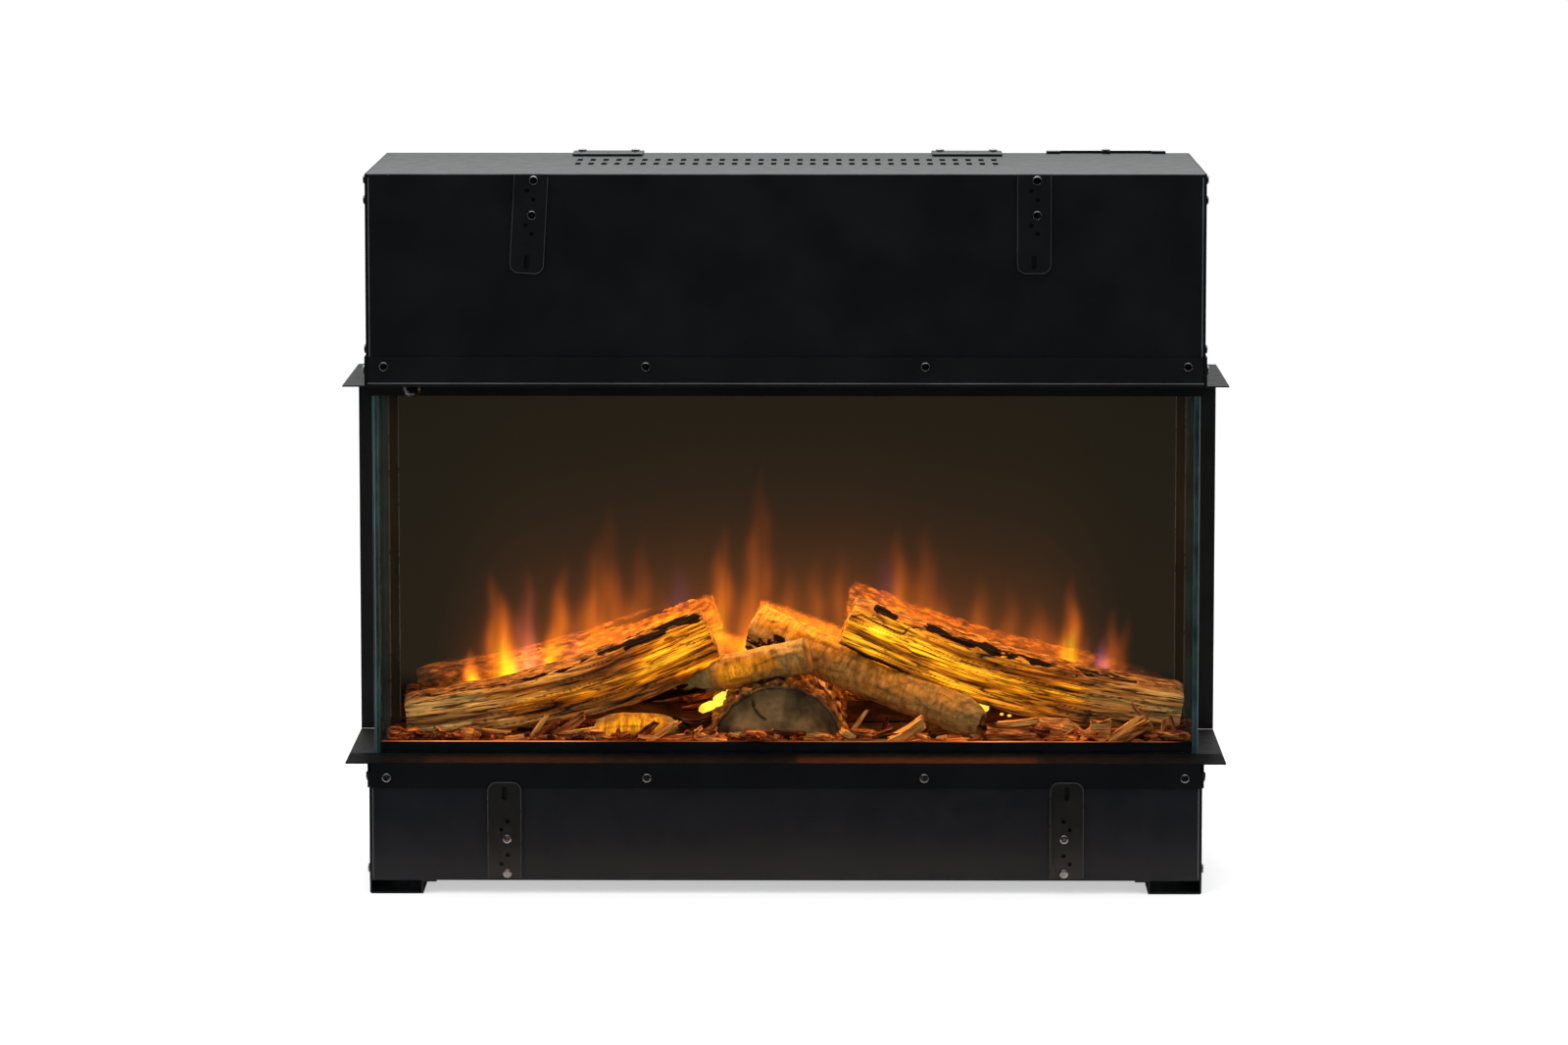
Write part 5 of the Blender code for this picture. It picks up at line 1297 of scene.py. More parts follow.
LOGS: tuple[MouldedLog, ...] = (
    MouldedLog(
        "log_split_left",
        Section.SPLIT,
        Route(
            (
                (-353.4, -35.8, 146.0), (-260.4, -37.2, 160.3), (-180.0, -37.2, 177.3),
                (-123.9, -35.8, 198.4), (-68.8, -34.4, 222.2),
            ),
            (42, 45, 47, 46, 42),
            (40, 44, 53, 54, 48),
        ),
        SPLIT_RESIN,
        "log_resin_split",
        11,
        base_painted_firelight=0.16,
        rear_painted_firelight=0.24,
        painted_firelight_marks=(
            Stroke(((-128.5, 203.3), (-92.4, 223.4), (-69.8, 232.5)), 9, 2.2),
            Stroke(((-146.7, 177.8), (-110.5, 194.2), (-92.4, 203.3)), 7, 1.9),
            Stroke(((-98.5, 188.4), (-81.6, 196.5), (-60.1, 203.2)), 4, 6.0),
            Stroke(((-251.6, 154.9), (-177.4, 173.2), (-146.6, 186.9), (-115.0, 208.8)), 6, 0.8),
            Spot(-92, 212, 40, 24, 1.2),
            Spot(-180, 172, 60, 14, 0.35),
            Spot(-250, 166, 60, 16, 0.25),
            Spot(-170, 190, 60, 26, 0.25),
        ),
        chars=(
            Stroke(((-148, 214.5), (-135.7, 219.0), (-118.5, 227.0), (-104, 234.5), (-84, 239.5)), 4.6),
            Stroke(((-172.7, 206.0), (-160.1, 211.5), (-135.7, 217.9)), 2.8),
            Stroke(
                (
                    (-350.9, 165.0), (-313.8, 170.5), (-276.7, 175.9), (-241.5, 183.2),
                    (-206.2, 192.4), (-172.7, 205.1),
                ),
                1.7,
                0.62,
            ),
        ),
        tone_and_shade_spots=(
            Spot(-310, 165, 80, 20, 0.10),
            Spot(-220, 160, 60, 12, -0.10),
            Spot(-150, 200, 40, 12, -0.06),
        ),
        rounded_mm=(20, 0),
    ),
    MouldedLog(
        "log_split_right",
        Section.SPLIT,
        Route(
            (
                (56.5, -32.9, 236.4), (121.3, -32.9, 209.9), (182.3, -32.9, 188.2),
                (260.4, -31.5, 169.1), (366.4, -28.7, 152.1),
            ),
            (38, 43, 46, 47, 44),
            (45, 53, 55, 53, 46),
        ),
        SPLIT_RESIN,
        "log_resin_split",
        23,
        base_painted_firelight=0.12,
        painted_firelight_marks=(
            Stroke(((62.8, 232.1), (83.5, 227.5), (115.1, 218.4), (142.2, 206.6)), 13, 1.2),
            Stroke(((142.2, 202.9), (178.4, 188.4), (232.6, 174.7), (262.7, 169.5)), 10, 1.1),
            Stroke(((160.3, 177.4), (205.5, 166.5), (241.7, 157.4)), 8, 1.1),
            Stroke(((60.0, 214.0), (78.1, 208.0), (123.3, 190.9), (150, 180)), 8, 0.9),
            Spot(95, 220, 55, 30, 1.2),
            Spot(180, 188, 80, 34, 1.0),
            Spot(262, 166, 60, 18, 0.4),
        ),
        chars=(
            Stroke(((84.4, 248.5), (92.5, 243.9), (99.8, 241.2)), 4.2),
            Stroke(((131.3, 231.2), (146.7, 223.9), (164.7, 218.4), (196.3, 208.4)), 3.8),
            Stroke(
                ((196.3, 208.4), (232.5, 198.4), (265.0, 191.1), (294.8, 186.6), (321.9, 182.0)), 3.4, 0.66
            ),
            Stroke(((52.9, 213.0), (78.1, 202.0), (123.3, 182.9), (159.4, 169.2)), 2.0, 0.9),
        ),
        cracks=(
            Stroke(
                (
                    (57.4, 241.2), (69.1, 243.0), (87.1, 233.9),
                    (107.9, 224.8), (112.4, 231.2), (123.2, 232.1),
                ),
                0.9,
                0.9,
            ),
        ),
        tone_and_shade_spots=(Spot(340, 160, 60, 22, 0.12), Spot(75, 225, 45, 30, 0.08)),
        rounded_mm=(0, 14),
    ),
    MouldedLog(
        "log_birch_long",
        Section.ROUND,
        Route(
            ((-28.6, 9.6, 222.8), (78.1, -30.1, 182.7), (182.3, -68.4, 143.3)), (46, 41, 36), (46, 41, 36)
        ),
        BIRCH_RESIN,
        "log_resin_birch",
        37,
        base_painted_firelight=0.12,
        painted_firelight_marks=(
            Stroke(((-16.1, 238.6), (15.7, 227.9), (43.0, 216.7)), 13, 1.3),
            Stroke(((60, 205), (110, 184), (150, 168)), 10, 0.35),
            Spot(90, 180, 50, 20, 0.3),
        ),
        chars=(Stroke(((-33, 206), (-24.4, 211.5), (-10, 214)), 10, 0.70), Spot(188, 134, 8, 12, 0.8)),
        tone_and_shade_spots=(Spot(60, 175, 30, 24, -0.04), Spot(130, 160, 50, 30, 0.06)),
        rounded_mm=(0, 28),
    ),
    MouldedLog(
        "log_birch_branch",
        Section.ROUND,
        Route(
            ((-146.9, -1.8, 167.8), (-57.7, -45.7, 188.8), (20.5, -62.7, 207.9)), (31, 33, 31), (31, 33, 31)
        ),
        BIRCH_RESIN,
        "log_resin_birch",
        51,
        painted_firelight_marks=(
            Stroke(((-56, 190), (-38.3, 197.4), (-16, 202)), 9, 1.3),
            Spot(-50, 190, 13, 13, 1.0),
            Spot(10, 202, 12, 16, 0.3),
        ),
        # Part of this soot is painted shadow, cast by the split log above.
        chars=(
            Stroke(((-150, 162), (-122, 165), (-100, 168)), 15, 1.0),
            Stroke(((-98, 168), (-82, 170)), 7),
        ),
        # Painted shade, under the split log above and on the branch's right end.
        tone_and_shade_spots=(Spot(8, 204, 44, 30, -0.12), Spot(-86, 178, 26, 20, -0.14)),
        broken_mm=1.4,
    ),
    MouldedLog(
        "log_half_round",
        Section.HALF,
        Route(((-7.4, -72.6, 129.0), (-7.4, 23.7, 129.0)), (132, 124), (57, 68)),
        HALF_RESIN,
        "log_resin_bark",
        64,
        base_painted_firelight=0.04,
        painted_firelight_marks=(
            Stroke(((2.4, 186.2), (24.9, 179.0), (39.3, 170.8), (49.2, 155.3), (57.4, 137.1)), 5.0, 0.8),
            Stroke(((-68.8, 136.1), (-59.8, 155.3), (-45.3, 168.9)), 4, 0.4),
        ),
        # Painted shade darkens the sawn face's sides.
        tone_and_shade_spots=(
            Spot(-52, 146, 24, 34, -0.14),
            Spot(26, 146, 26, 34, -0.10),
            Spot(-8, 150, 30, 26, 0.06),
        ),
        cracks=(Stroke(((-30.5, 166.0), (-29.5, 159.0), (-25.5, 153.5), (-19.5, 148.5)), 1.2, 1.0, 0.02),),
    ),
    MouldedLog(
        "log_birch_low",
        Section.ROUND,
        Route(((-178.6, -66.2, 139.2), (-98.6, -64.8, 140.6)), (28, 26), (30, 27)),
        BIRCH_RESIN,
        "log_resin_birch",
        78,
        painted_firelight_marks=(Stroke(((-166.3, 140.0), (-146.4, 145.0), (-121.1, 147.0)), 8, 3.6),),
        tone_and_shade_spots=(Spot(-140, 145, 60, 30, 0.08),),
        rounded_mm=(30, 30),
    ),
)


# From the coolest to the hottest.
FLAME_COLOURS = ("#8c3408", "#ee7010", "#ffc80c")
FLAME_BLUE = "#6a54d8"


@dataclass(frozen=True)
class Flame:
    """One tongue of flame on the screen, in millimetres.

    It rises from its foot to its tip and is widest a third of the way up. Heat runs
    from 0, a dull red, to 1, a bright yellow. Violet is the share of blue light.
    """

    foot_x: float
    foot_z: float
    tip_x: float
    tip_z: float
    width: float
    heat: float
    strength: float
    violet: float = 0.0
    bend: float = 0.0

    def light(self, x: Array, z: Array) -> Array:
        """The linear colour that the flame adds at each place.

        Args:
            x: The places' x, in millimetres.
            z: Their z, in millimetres.

        Returns:
            An array with red, green and blue for each place.
        """
        dull, orange, yellow = map(rgb, FLAME_COLOURS)
        share = (z - self.foot_z) / (self.tip_z - self.foot_z)
        climb = np.clip(share, 0, 1)
        middle = self.foot_x + (self.tip_x - self.foot_x) * climb + self.bend * np.sin(math.pi * climb)
        middle += 1.6 * np.sin(z / 9.0 + self.foot_x)
        body = self.width * (0.90 + 0.40 * climb) * (1 - climb) ** 0.72 + 1.2
        edge = np.exp(-np.abs((x - middle) / body) ** 2.4)
        below = smooth_step(-0.16, 0.06, share)
        fade = below * (1 - smooth_step(0.15, 1.08, share)) ** 1.1
        power = self.strength * edge * fade
        heat = self.heat * (1.15 - climb) * (0.35 + 0.65 * edge) * (0.25 + 0.75 * fade)
        hot = np.clip(heat, 0, 1)[:, None]
        cooler, hotter = dull + (orange - dull) * hot * 2, orange + (yellow - orange) * (hot * 2 - 1)
        colour = np.where(hot < 0.5, cooler, hotter)
        blue = rgb(FLAME_BLUE) * self.violet * (1 - climb)[:, None]
        return (colour + blue) * power[:, None]


# Each row: foot x and z, tip x and z, width, heat, strength, violet and bend.
FLAME_ROWS: tuple[tuple[float, ...], ...] = (
    (-291, 150, -299, 198, 7, 1.0, 4.5), (-263, 148, -277, 272, 15, 1.0, 1.7, 0, 2),
    (-272, 150, -282, 236, 18, 0.3, 0.3), (-246, 150, -243, 280, 12, 0.60, 0.9, 0.14),
    (-238, 150, -240, 212, 15, 1.0, 1.3, 0.16), (-224, 155, -210, 286, 12, 0.85, 1.3, 0, 3),
    (-200, 165, -198, 240, 11, 0.45, 0.45, 0.2), (-184, 172, -166, 334, 19, 0.48, 0.80),
    (-156, 178, -162, 284, 18, 0.50, 0.62), (-140, 185, -134, 312, 13, 0.3, 0.5),
    (-118, 200, -116, 262, 12, 0.3, 0.40), (-102, 238, -100, 292, 9, 0.1, 0.06, 0.8),
    (-64, 205, -60, 320, 12, 0.65, 0.80, 0, 1), (-34, 178, -24, 372, 16, 0.40, 0.65, 0, 2),
    (-40, 176, -36, 252, 15, 0.9, 0.95), (4, 215, 1, 284, 10, 0.4, 0.40),
    (26, 220, 28, 296, 9, 0.3, 0.28), (52, 220, 50, 300, 11, 0.35, 0.28),
    (92, 245, 92, 306, 9, 0.15, 0.08, 0.5), (110, 222, 104, 318, 12, 0.55, 0.50, 0, -2),
    (128, 215, 131, 322, 13, 0.35, 0.36), (148, 212, 142, 264, 11, 0.4, 0.28),
    (181, 200, 181, 272, 12, 0.45, 0.36), (208, 190, 209, 264, 11, 0.4, 0.36),
    (234, 186, 234, 252, 12, 0.45, 0.42), (251, 182, 248, 232, 9, 0.4, 0.40),
    (266, 168, 267, 270, 10, 1.0, 1.25), (279, 170, 279, 220, 7, 0.55, 0.45),
    (290, 160, 300, 216, 7, 0.4, 0.50, 0.8), (300, 168, 308, 242, 7, 0.5, 0.50),
    (310, 168, 320, 236, 7, 0.35, 0.30),
)
FLAMES = tuple(Flame(*row) for row in FLAME_ROWS)

# The pile's skyline, and the gentler line from which the haze of light fades upwards.
LOG_TOPS: tuple[tuple[float, float], ...] = (
    (-355.6, 161.1), (-351.8, 176.0), (-315.8, 183.4), (-279.0, 190.9), (-242.1, 198.3), (-223.7, 202.9),
    (-196.1, 209.5), (-168.4, 218.7), (-140.8, 228.0), (-113.2, 235.4), (-90.2, 241.9), (-69.1, 243.8),
    (-64.5, 241.0), (-60.0, 209.5), (-37.0, 203.0), (-24.1, 239.2), (-3.0, 233.6), (15.4, 226.2),
    (38.4, 218.8), (52.2, 212.3), (59.5, 251.2), (64.1, 255.8), (93.5, 248.4), (111.9, 237.3),
    (125.6, 233.6), (153.2, 228.1), (180.8, 216.9), (217.6, 205.8), (254.4, 198.4), (282.0, 191.0),
    (318.8, 179.8), (351.0, 168.7), (374.1, 159.4),
)
HAZE_FROM: tuple[tuple[float, float], ...] = (
    (-355, 161), (-223, 203), (-90, 236), (62, 240), (217, 204), (374, 159),
)


@dataclass
class FlameScreen:
    """The smoked mirror behind the logs, which carries the picture of the flames."""

    node: str = "flame_screen"
    column_mm: float = 2.2
    row_mm: float = 2.6
    flames_top: float = 0.375
    rows_above: int = 6
    haze_middle: float = -5.0
    near_reach: float = 38.0
    far_reach: float = 120.0
    near_haze: str = "#a8500f"
    far_haze: str = "#3a2412"
    glow_low: str = "#2a231a"
    glow_high: str = "#241f17"

    def build(self) -> None:
        """Makes the screen in fine squares where flames play."""
        low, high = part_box(self.node)
        columns = round((high.x - low.x) / (self.column_mm * MM))
        rows = round((self.flames_top - low.z) / (self.row_mm * MM))
        bpy.ops.mesh.primitive_grid_add(x_subdivisions=columns, y_subdivisions=rows, size=1)
        piece = start_piece("flame_screen_mirror")
        places = points_of(piece.data)
        across = low.x + (places[:, 0] + 0.5) * (high.x - low.x)
        up = low.z + (places[:, 1] + 0.5) * (self.flames_top - low.z)
        set_points(piece.data, np.column_stack([across, np.full(len(places), low.y), up]))
        self.extend(piece, high)
        self.light(piece.data, low.y)
        hand_over(piece, SmokedMirror(), nodes=(self.node,))

    def extend(self, piece: Object, high: Vector) -> None:
        """Pulls the top edge up, gives the sheet its thickness and closes its back.

        Args:
            piece: The fine grid.
            high: The CAD screen's highest corner.
        """
        select_vertices(piece, points_of(piece.data)[:, 2] > self.flames_top - 1e-5)
        bpy.ops.object.mode_set(mode="EDIT")
        bpy.ops.mesh.select_mode(type="EDGE")
        for _ in range(self.rows_above):
            lift = (0, 0, (high.z - self.flames_top) / self.rows_above)
            bpy.ops.mesh.extrude_region_move(TRANSFORM_OT_translate={"value": lift})
        bpy.ops.mesh.select_all(action="DESELECT")
        bpy.ops.mesh.select_non_manifold(extend=False)
        back = (0, high.y - piece.data.vertices[0].co.y, 0)
        bpy.ops.mesh.extrude_region_move(TRANSFORM_OT_translate={"value": back})
        bpy.ops.mesh.edge_face_add()
        bpy.ops.mesh.select_all(action="SELECT")
        bpy.ops.mesh.normals_make_consistent(inside=False)
        bpy.ops.object.mode_set(mode="OBJECT")

    def light(self, mesh: Mesh, front_y: float) -> None:
        """Keeps the flames' light with the front's vertices.

        Args:
            mesh: The screen's mesh.
            front_y: The y of the front.
        """
        places = points_of(mesh)
        x, z = places[:, 0] / MM, places[:, 2] / MM
        above_logs = z - np.interp(x, *np.array(LOG_TOPS).T)
        above_haze = np.clip(z - np.interp(x, *np.array(HAZE_FROM).T), 0, None)
        off_middle = np.abs(x - self.haze_middle)
        near = np.exp(-above_haze / self.near_reach) * (0.3 + 0.7 * smooth_step(-4, 3, above_logs))
        near *= 1 - smooth_step(235, 335, off_middle)
        far = np.exp(-above_haze / self.far_reach) * (1 - smooth_step(230, 340, off_middle))
        low, high = rgb(self.glow_low), rgb(self.glow_high)
        total = low + (high - low) * smooth_step(240, 465, z)[:, None]
        total += rgb(self.near_haze) * 0.36 * near[:, None] + rgb(self.far_haze) * 0.35 * far[:, None]
        total *= (0.04 + 0.96 * smooth_step(152, 180, z))[:, None]
        threads = layered_noise(np.column_stack([x / 8, z / 60, np.zeros(len(x))]), 3, 7)
        streaks = (0.92 + 0.35 * threads) * smooth_step(142, 154, z)
        total += sum(flame.light(x, z) for flame in FLAMES) * streaks[:, None]
        total *= (np.abs(places[:, 1] - front_y) < 1e-4)[:, None]
        store(mesh, "silvering", "FLOAT", 1 - smooth_step(0.5, 4.5, above_logs))
        store(mesh, "flame_light", "FLOAT_COLOR", np.column_stack([total, np.ones(len(x))]))


class Chip(Enum):
    """The kinds of loose bits on the bed."""

    SPLINTER = "splinter"
    FLAKE = "flake"
    CRUMB = "crumb"
    BALL = "ball"


@dataclass(frozen=True)
class LaidBit:
    """A bit with its own place: where it lies, its size and how it is turned."""

    kind: Chip
    x: float
    back: float
    z: float
    size: tuple[float, float, float]
    turn: float = 0.0
    rise: float = 0.0
    roll: float = 0.0
    shade: float = 0.6


SPLINTER, FLAKE, CRUMB, BALL = Chip

# Each row: kind, x, how far behind the front sheet, z, size, turn, rise, roll and shade.
LAID_ROWS: tuple[tuple, ...] = (
    (CRUMB, -358.8, 72, 137, (18, 10, 14), 20, 0, 0, 0.35),
    (CRUMB, -349, 70, 134, (16, 8, 9), -10, 15, 0, 0.5),
    (SPLINTER, -340, 70, 131.5, (24, 8, 6), 5, -4, 0, 0.3),
    (SPLINTER, -330, 73, 132.5, (30, 6, 5), 5, 3, 0, 0.5),
    (FLAKE, -311, 72, 133, (22, 7, 8), 0, -6, 10, 0.35),
    (BALL, -292, 74, 134, (17, 13, 15), 10, 0, 0, 0.62),
    (FLAKE, -269, 73, 133.5, (27, 8, 9), 4, 5, 0, 0.28),
    (FLAKE, -267, 74, 138.5, (25, 6, 2.6), -6, 4, 0, 0.8),
    (FLAKE, -247, 71, 132.5, (22, 8, 6), 8, -8, 0, 0.8),
    (SPLINTER, -228.6, 74, 140.7, (30, 4.5, 4), 4, -54, 20, 0.88),
    (SPLINTER, -222, 76, 137.5, (30, 7, 6), -5, -38, 20, 0.4),
    (FLAKE, -199, 78, 143, (32, 6, 8), 4, -36, 0, 0.45),
    (FLAKE, -191.7, 74, 134, (36, 9, 7), 6, -4, 0, 0.45),
    (FLAKE, -190, 74, 139, (31, 8, 2.6), 2, -8, 0, 0.85),
    (FLAKE, -172, 71, 131.5, (16, 6, 4), 0, 10, 0, 0.7),
    (FLAKE, -151.7, 70, 133, (17, 7, 9), 10, -8, 30, 0.34),
    (SPLINTER, -131, 73, 137.5, (31, 8, 8), 5, -38, 0, 0.2),
    (SPLINTER, -113.5, 75, 137.8, (35, 5.5, 5), 10, -31, 10, 0.86),
    (FLAKE, -108, 105, 138, (24, 10, 9), 0, -10, 0, 0.12),
    (FLAKE, -92, 108, 140, (26, 10, 10), 20, 12, 0, 0.1),
    (FLAKE, -80, 112, 140, (22, 9, 9), 0, -20, 0, 0.16),
    (FLAKE, -91, 72, 133.5, (22, 8, 8), 0, -12, 0, 0.62),
    (FLAKE, -78, 71, 133, (18, 8, 7), 0, 20, 0, 0.42),
    (FLAKE, -84, 73, 138, (16, 6, 3), 10, -30, 0, 0.8),
    (SPLINTER, 65.6, 74, 146, (31, 4.4, 4), -5, -54, 0, 0.72),
    (SPLINTER, 91, 90, 142, (17, 5, 5), 0, -75, 0, 0.16),
    (FLAKE, 111, 72, 137.8, (36, 8, 11), 12, -30, 20, 0.88),
    (FLAKE, 74, 70, 130.8, (34, 7, 3.4), 4, -1, 0, 0.66),
    (SPLINTER, 96, 69, 130.6, (26, 5, 3.4), -8, 2, 0, 0.8),
    (SPLINTER, 52, 69, 130.6, (20, 5, 3.4), 6, -3, 0, 0.55),
    (FLAKE, 208, 72, 132, (43, 10, 4.2), 2, 0, 0, 0.46),
    (FLAKE, 209, 73, 136.2, (41, 9, 3.6), -3, 1, 0, 0.74),
    (FLAKE, 206, 74, 140, (39, 9, 3.6), 3, -2, 0, 0.4),
    (FLAKE, 213, 80, 146, (37, 10, 5), 0, -6, 0, 0.86),
    (CRUMB, 249, 80, 141, (44, 16, 20), 0, 8, 0, 0.7),
    (SPLINTER, 238, 71, 131.5, (26, 6, 4), 0, -8, 0, 0.6),
    (SPLINTER, 275, 72, 135, (21, 6, 6), 8, -50, 0, 0.8),
    (FLAKE, 289, 74, 140.5, (18, 9, 18), 10, 0, 0, 0.74),
    (SPLINTER, 266, 70, 131, (24, 6, 4), 4, 4, 0, 0.45),
    (SPLINTER, 313, 72, 138.5, (42, 5, 5), 6, -30, 10, 0.76),
    (SPLINTER, 316, 70, 134.5, (40, 5, 4.5), 4, -26, 0, 0.42),
    (SPLINTER, 312, 75, 143, (38, 5, 4.5), 8, -33, 0, 0.84),
    (SPLINTER, 326, 78, 154, (27, 5, 4.5), 4, 50, 0, 0.62),
    (SPLINTER, 332, 82, 148, (26, 5, 4.5), 4, 58, 0, 0.5),
    (SPLINTER, 346, 72, 139, (23, 5, 5), 4, -80, 0, 0.52),
    (SPLINTER, 356, 76, 141, (25, 5, 4), 4, 75, 0, 0.36),
    (FLAKE, 340, 70, 132, (20, 7, 5), 0, 10, 0, 0.4),
)
LAID_BITS = tuple(LaidBit(*row) for row in LAID_ROWS)

# Glowing lumps behind and between the logs: painted light where light shows through the gaps.
GAP_LIGHT_LUMPS: tuple[LaidBit, ...] = (
    LaidBit(CRUMB, -73, 134, 152.5, (20, 12, 8), 20, -20, 0),
    LaidBit(CRUMB, -60, 132, 160, (18, 12, 12), 0, -25, 0),
    LaidBit(CRUMB, -49, 136, 168, (16, 12, 10), 0, -30, 0),
    LaidBit(CRUMB, 170, 122, 158, (18, 10, 11), 10, 0, 0),
    LaidBit(CRUMB, 182, 120, 154, (14, 10, 8), 50, 0, 0),
    LaidBit(CRUMB, 199, 112, 149.0, (3.6, 3, 2.4), 0, 0, 0),
    LaidBit(CRUMB, 206, 110, 148.0, (4.4, 3, 2.4), 30, 0, 0),
)


# How far the bits may reach to each side and to the front, which keeps them within the tray.
BED_SIDE_X = 0.3715
BED_FRONT_Y = depth(63.4)


@dataclass
class LooseBed:
    """Kindling, bark crumbs and glowing resin bits that lie on the ember bed, and lumps of painted light
    between the logs.
    """

    half_width: float = 364.0
    front: float = 67.0
    rear: float = 196.0
    bed_top: float = 128.4
    log_middle: float = -7.4
    # Bits further back than this lie in the logs' shadow and get a painted shadow.
    painted_shadow_from: float = 84.0
    count: int = 150
    quick_count: int = 90
    seed: int = 5
    rng: np.random.Generator = field(init=False)

    def __post_init__(self) -> None:
        """Seeds the scatter, so that it is the same each run."""
        self.rng = np.random.default_rng(self.seed)

    def template(self, kind: Chip) -> tuple[Array, Mesh]:
        """Models one bit at a length, width and height of one.

        Args:
            kind: Which bit.

        Returns:
            Its vertices and its mesh.
        """
        if kind in (CRUMB, BALL):
            levels = 2 if kind is CRUMB else 3
            bpy.ops.mesh.primitive_ico_sphere_add(subdivisions=levels, radius=0.5)
        else:
            bpy.ops.mesh.primitive_cube_add(size=1)
        piece = start_piece("bit_" + kind.value)
        select_only([piece])
        bpy.ops.object.mode_set(mode="EDIT")
        bpy.ops.mesh.select_all(action="SELECT")
        if kind in (SPLINTER, FLAKE):
            bpy.ops.mesh.subdivide(number_cuts=2, fractal=0.0)
        offset = {SPLINTER: 0.10, FLAKE: 0.16, CRUMB: 0.16, BALL: 0.03}[kind]
        bpy.ops.transform.vertex_random(offset=offset, seed=list(Chip).index(kind) + 3)
        bpy.ops.object.mode_set(mode="OBJECT")
        places = points_of(piece.data)
        if kind is SPLINTER:
            taper = 1 - 0.55 * np.abs(places[:, 0]) ** 1.5 * 2
            places[:, 1:] *= np.clip(taper, 0.3, 1)[:, None]
        if kind is FLAKE:
            places[:, 2] += 0.35 * np.abs(places[:, 0]) - 0.1
            places[:, 1] *= 1 - 0.35 * np.abs(places[:, 0])
        set_points(piece.data, places)
        mesh = piece.data
        bpy.data.objects.remove(piece)
        return places, mesh

    def scatter(self, count: int, kinds: Sequence[Chip]) -> list[LaidBit]:
        """Lays bits at random over the bed, most of them along its front.

        Args:
            count: How many.
            kinds: The kinds to choose from.

        Returns:
            The bits.
        """
        made = []
        for _ in range(count):
            kind = kinds[int(self.rng.integers(len(kinds)))]
            x = float(self.rng.uniform(-self.half_width, self.half_width))
            back = self.front + 3 + (self.rear - self.front - 8) * float(self.rng.uniform()) ** 4.5
            if abs(x - self.log_middle) < 72 and back > 72:
                back = float(self.rng.uniform(self.front + 2, 72))
            length = float(self.rng.uniform(*((18, 42) if kind is SPLINTER else (12, 26))))
            if kind is CRUMB:
                size = tuple(float(v) for v in self.rng.uniform(3.0, 8.5, 3))
            else:
                width = length * float(self.rng.uniform(0.18, 0.36))
                size = (length, width, float(self.rng.uniform(2.5, 6.0)))
            z = self.bed_top + size[2] * 0.5 + float(self.rng.uniform(0, 1)) ** 2 * 9
            any_way = kind is CRUMB
            turn = float(self.rng.uniform(-180, 180) if any_way else self.rng.normal(0, 38))
            rise = float(self.rng.normal(0, 9))
            roll = float(self.rng.uniform(-40, 40))
            shade = float(np.clip(self.rng.normal(0.50, 0.26), 0.05, 0.98))
            # Painted shadow: bits behind the logs are made darker.
            shade *= 1.0 if back < self.painted_shadow_from else 0.3
            made.append(LaidBit(kind, x, back, z, size, turn, rise, roll, shade))
        return made

    def lay(self, name: str, bits: Sequence[LaidBit], finish: Finish) -> None:
        """Joins the bits into one piece.

        Args:
            name: The piece's name.
            bits: The bits.
            finish: What they are covered with.
        """
        templates = {kind: self.template(kind) for kind in {bit.kind for bit in bits}}
        parts = []
        for bit in bits:
            places, source = templates[bit.kind]
            turned = (
                Matrix.Rotation(math.radians(bit.turn), 3, "Z")
                @ Matrix.Rotation(math.radians(bit.rise), 3, "Y")
                @ Matrix.Rotation(math.radians(bit.roll), 3, "X")
            )
            sized = places * np.array(bit.size) * MM
            middle = np.array((bit.x * MM, depth(bit.back), bit.z * MM))
            moved = sized @ np.array(turned).T + middle
            moved[:, 0] = np.clip(moved[:, 0], -BED_SIDE_X, BED_SIDE_X)
            moved[:, 1] = np.maximum(moved[:, 1], BED_FRONT_Y)
            copied = source.copy()
            set_points(copied, moved)
            count = len(moved)
            # Painted lamp light: bits near the bed's top get the most emission.
            heat = np.exp(-(((moved[:, 2] / MM - 129) / 7) ** 2))
            store(copied, "shade", "FLOAT", np.full(count, bit.shade))
            store(copied, "grain", "FLOAT_VECTOR", sized + middle)
            store(copied, "warmth", "FLOAT", heat * self.warmth(bit))
            parts.append(put_in_scene(name, copied))
        piece = join(name, parts)
        if isinstance(finish, EmberResin):
            select_only([piece])
            bpy.ops.object.shade_smooth_by_angle(angle=math.radians(40))
        for _, source in templates.values():
            bpy.data.meshes.remove(source)
        hand_over(piece, finish)

    def warmth(self, bit: LaidBit) -> float:
        """How strongly the lamps under the bed light a bit.

        Args:
            bit: The bit.

        Returns:
            A value from 0 upwards.
        """
        wave = math.sin(bit.x * 0.047 + 1.3) + math.sin(bit.x * 0.021 + bit.back * 0.05)
        far = 1 - smooth_step(78, 92, np.array(bit.back))
        return max(0.0, 0.34 + 0.30 * wave) * float(far)

    def build(self) -> None:
        """Lays the kindling, the crumbs and the larger bits."""
        frame["nodes"]["ember_bed"].material_slots[0].material = EMBER_BED.material()
        count = self.count
        scattered = self.scatter(count, (SPLINTER, SPLINTER, FLAKE))
        self.lay("kindling_scattered", scattered, KINDLING)
        self.lay("kindling_laid", LAID_BITS, KINDLING)
        self.lay("ember_crumbs", self.scatter(count // 3, (CRUMB,)), EMBER_GLASS)
        self.lay("painted_gap_light_lumps", GAP_LIGHT_LUMPS, GAP_LIGHT_RESIN)


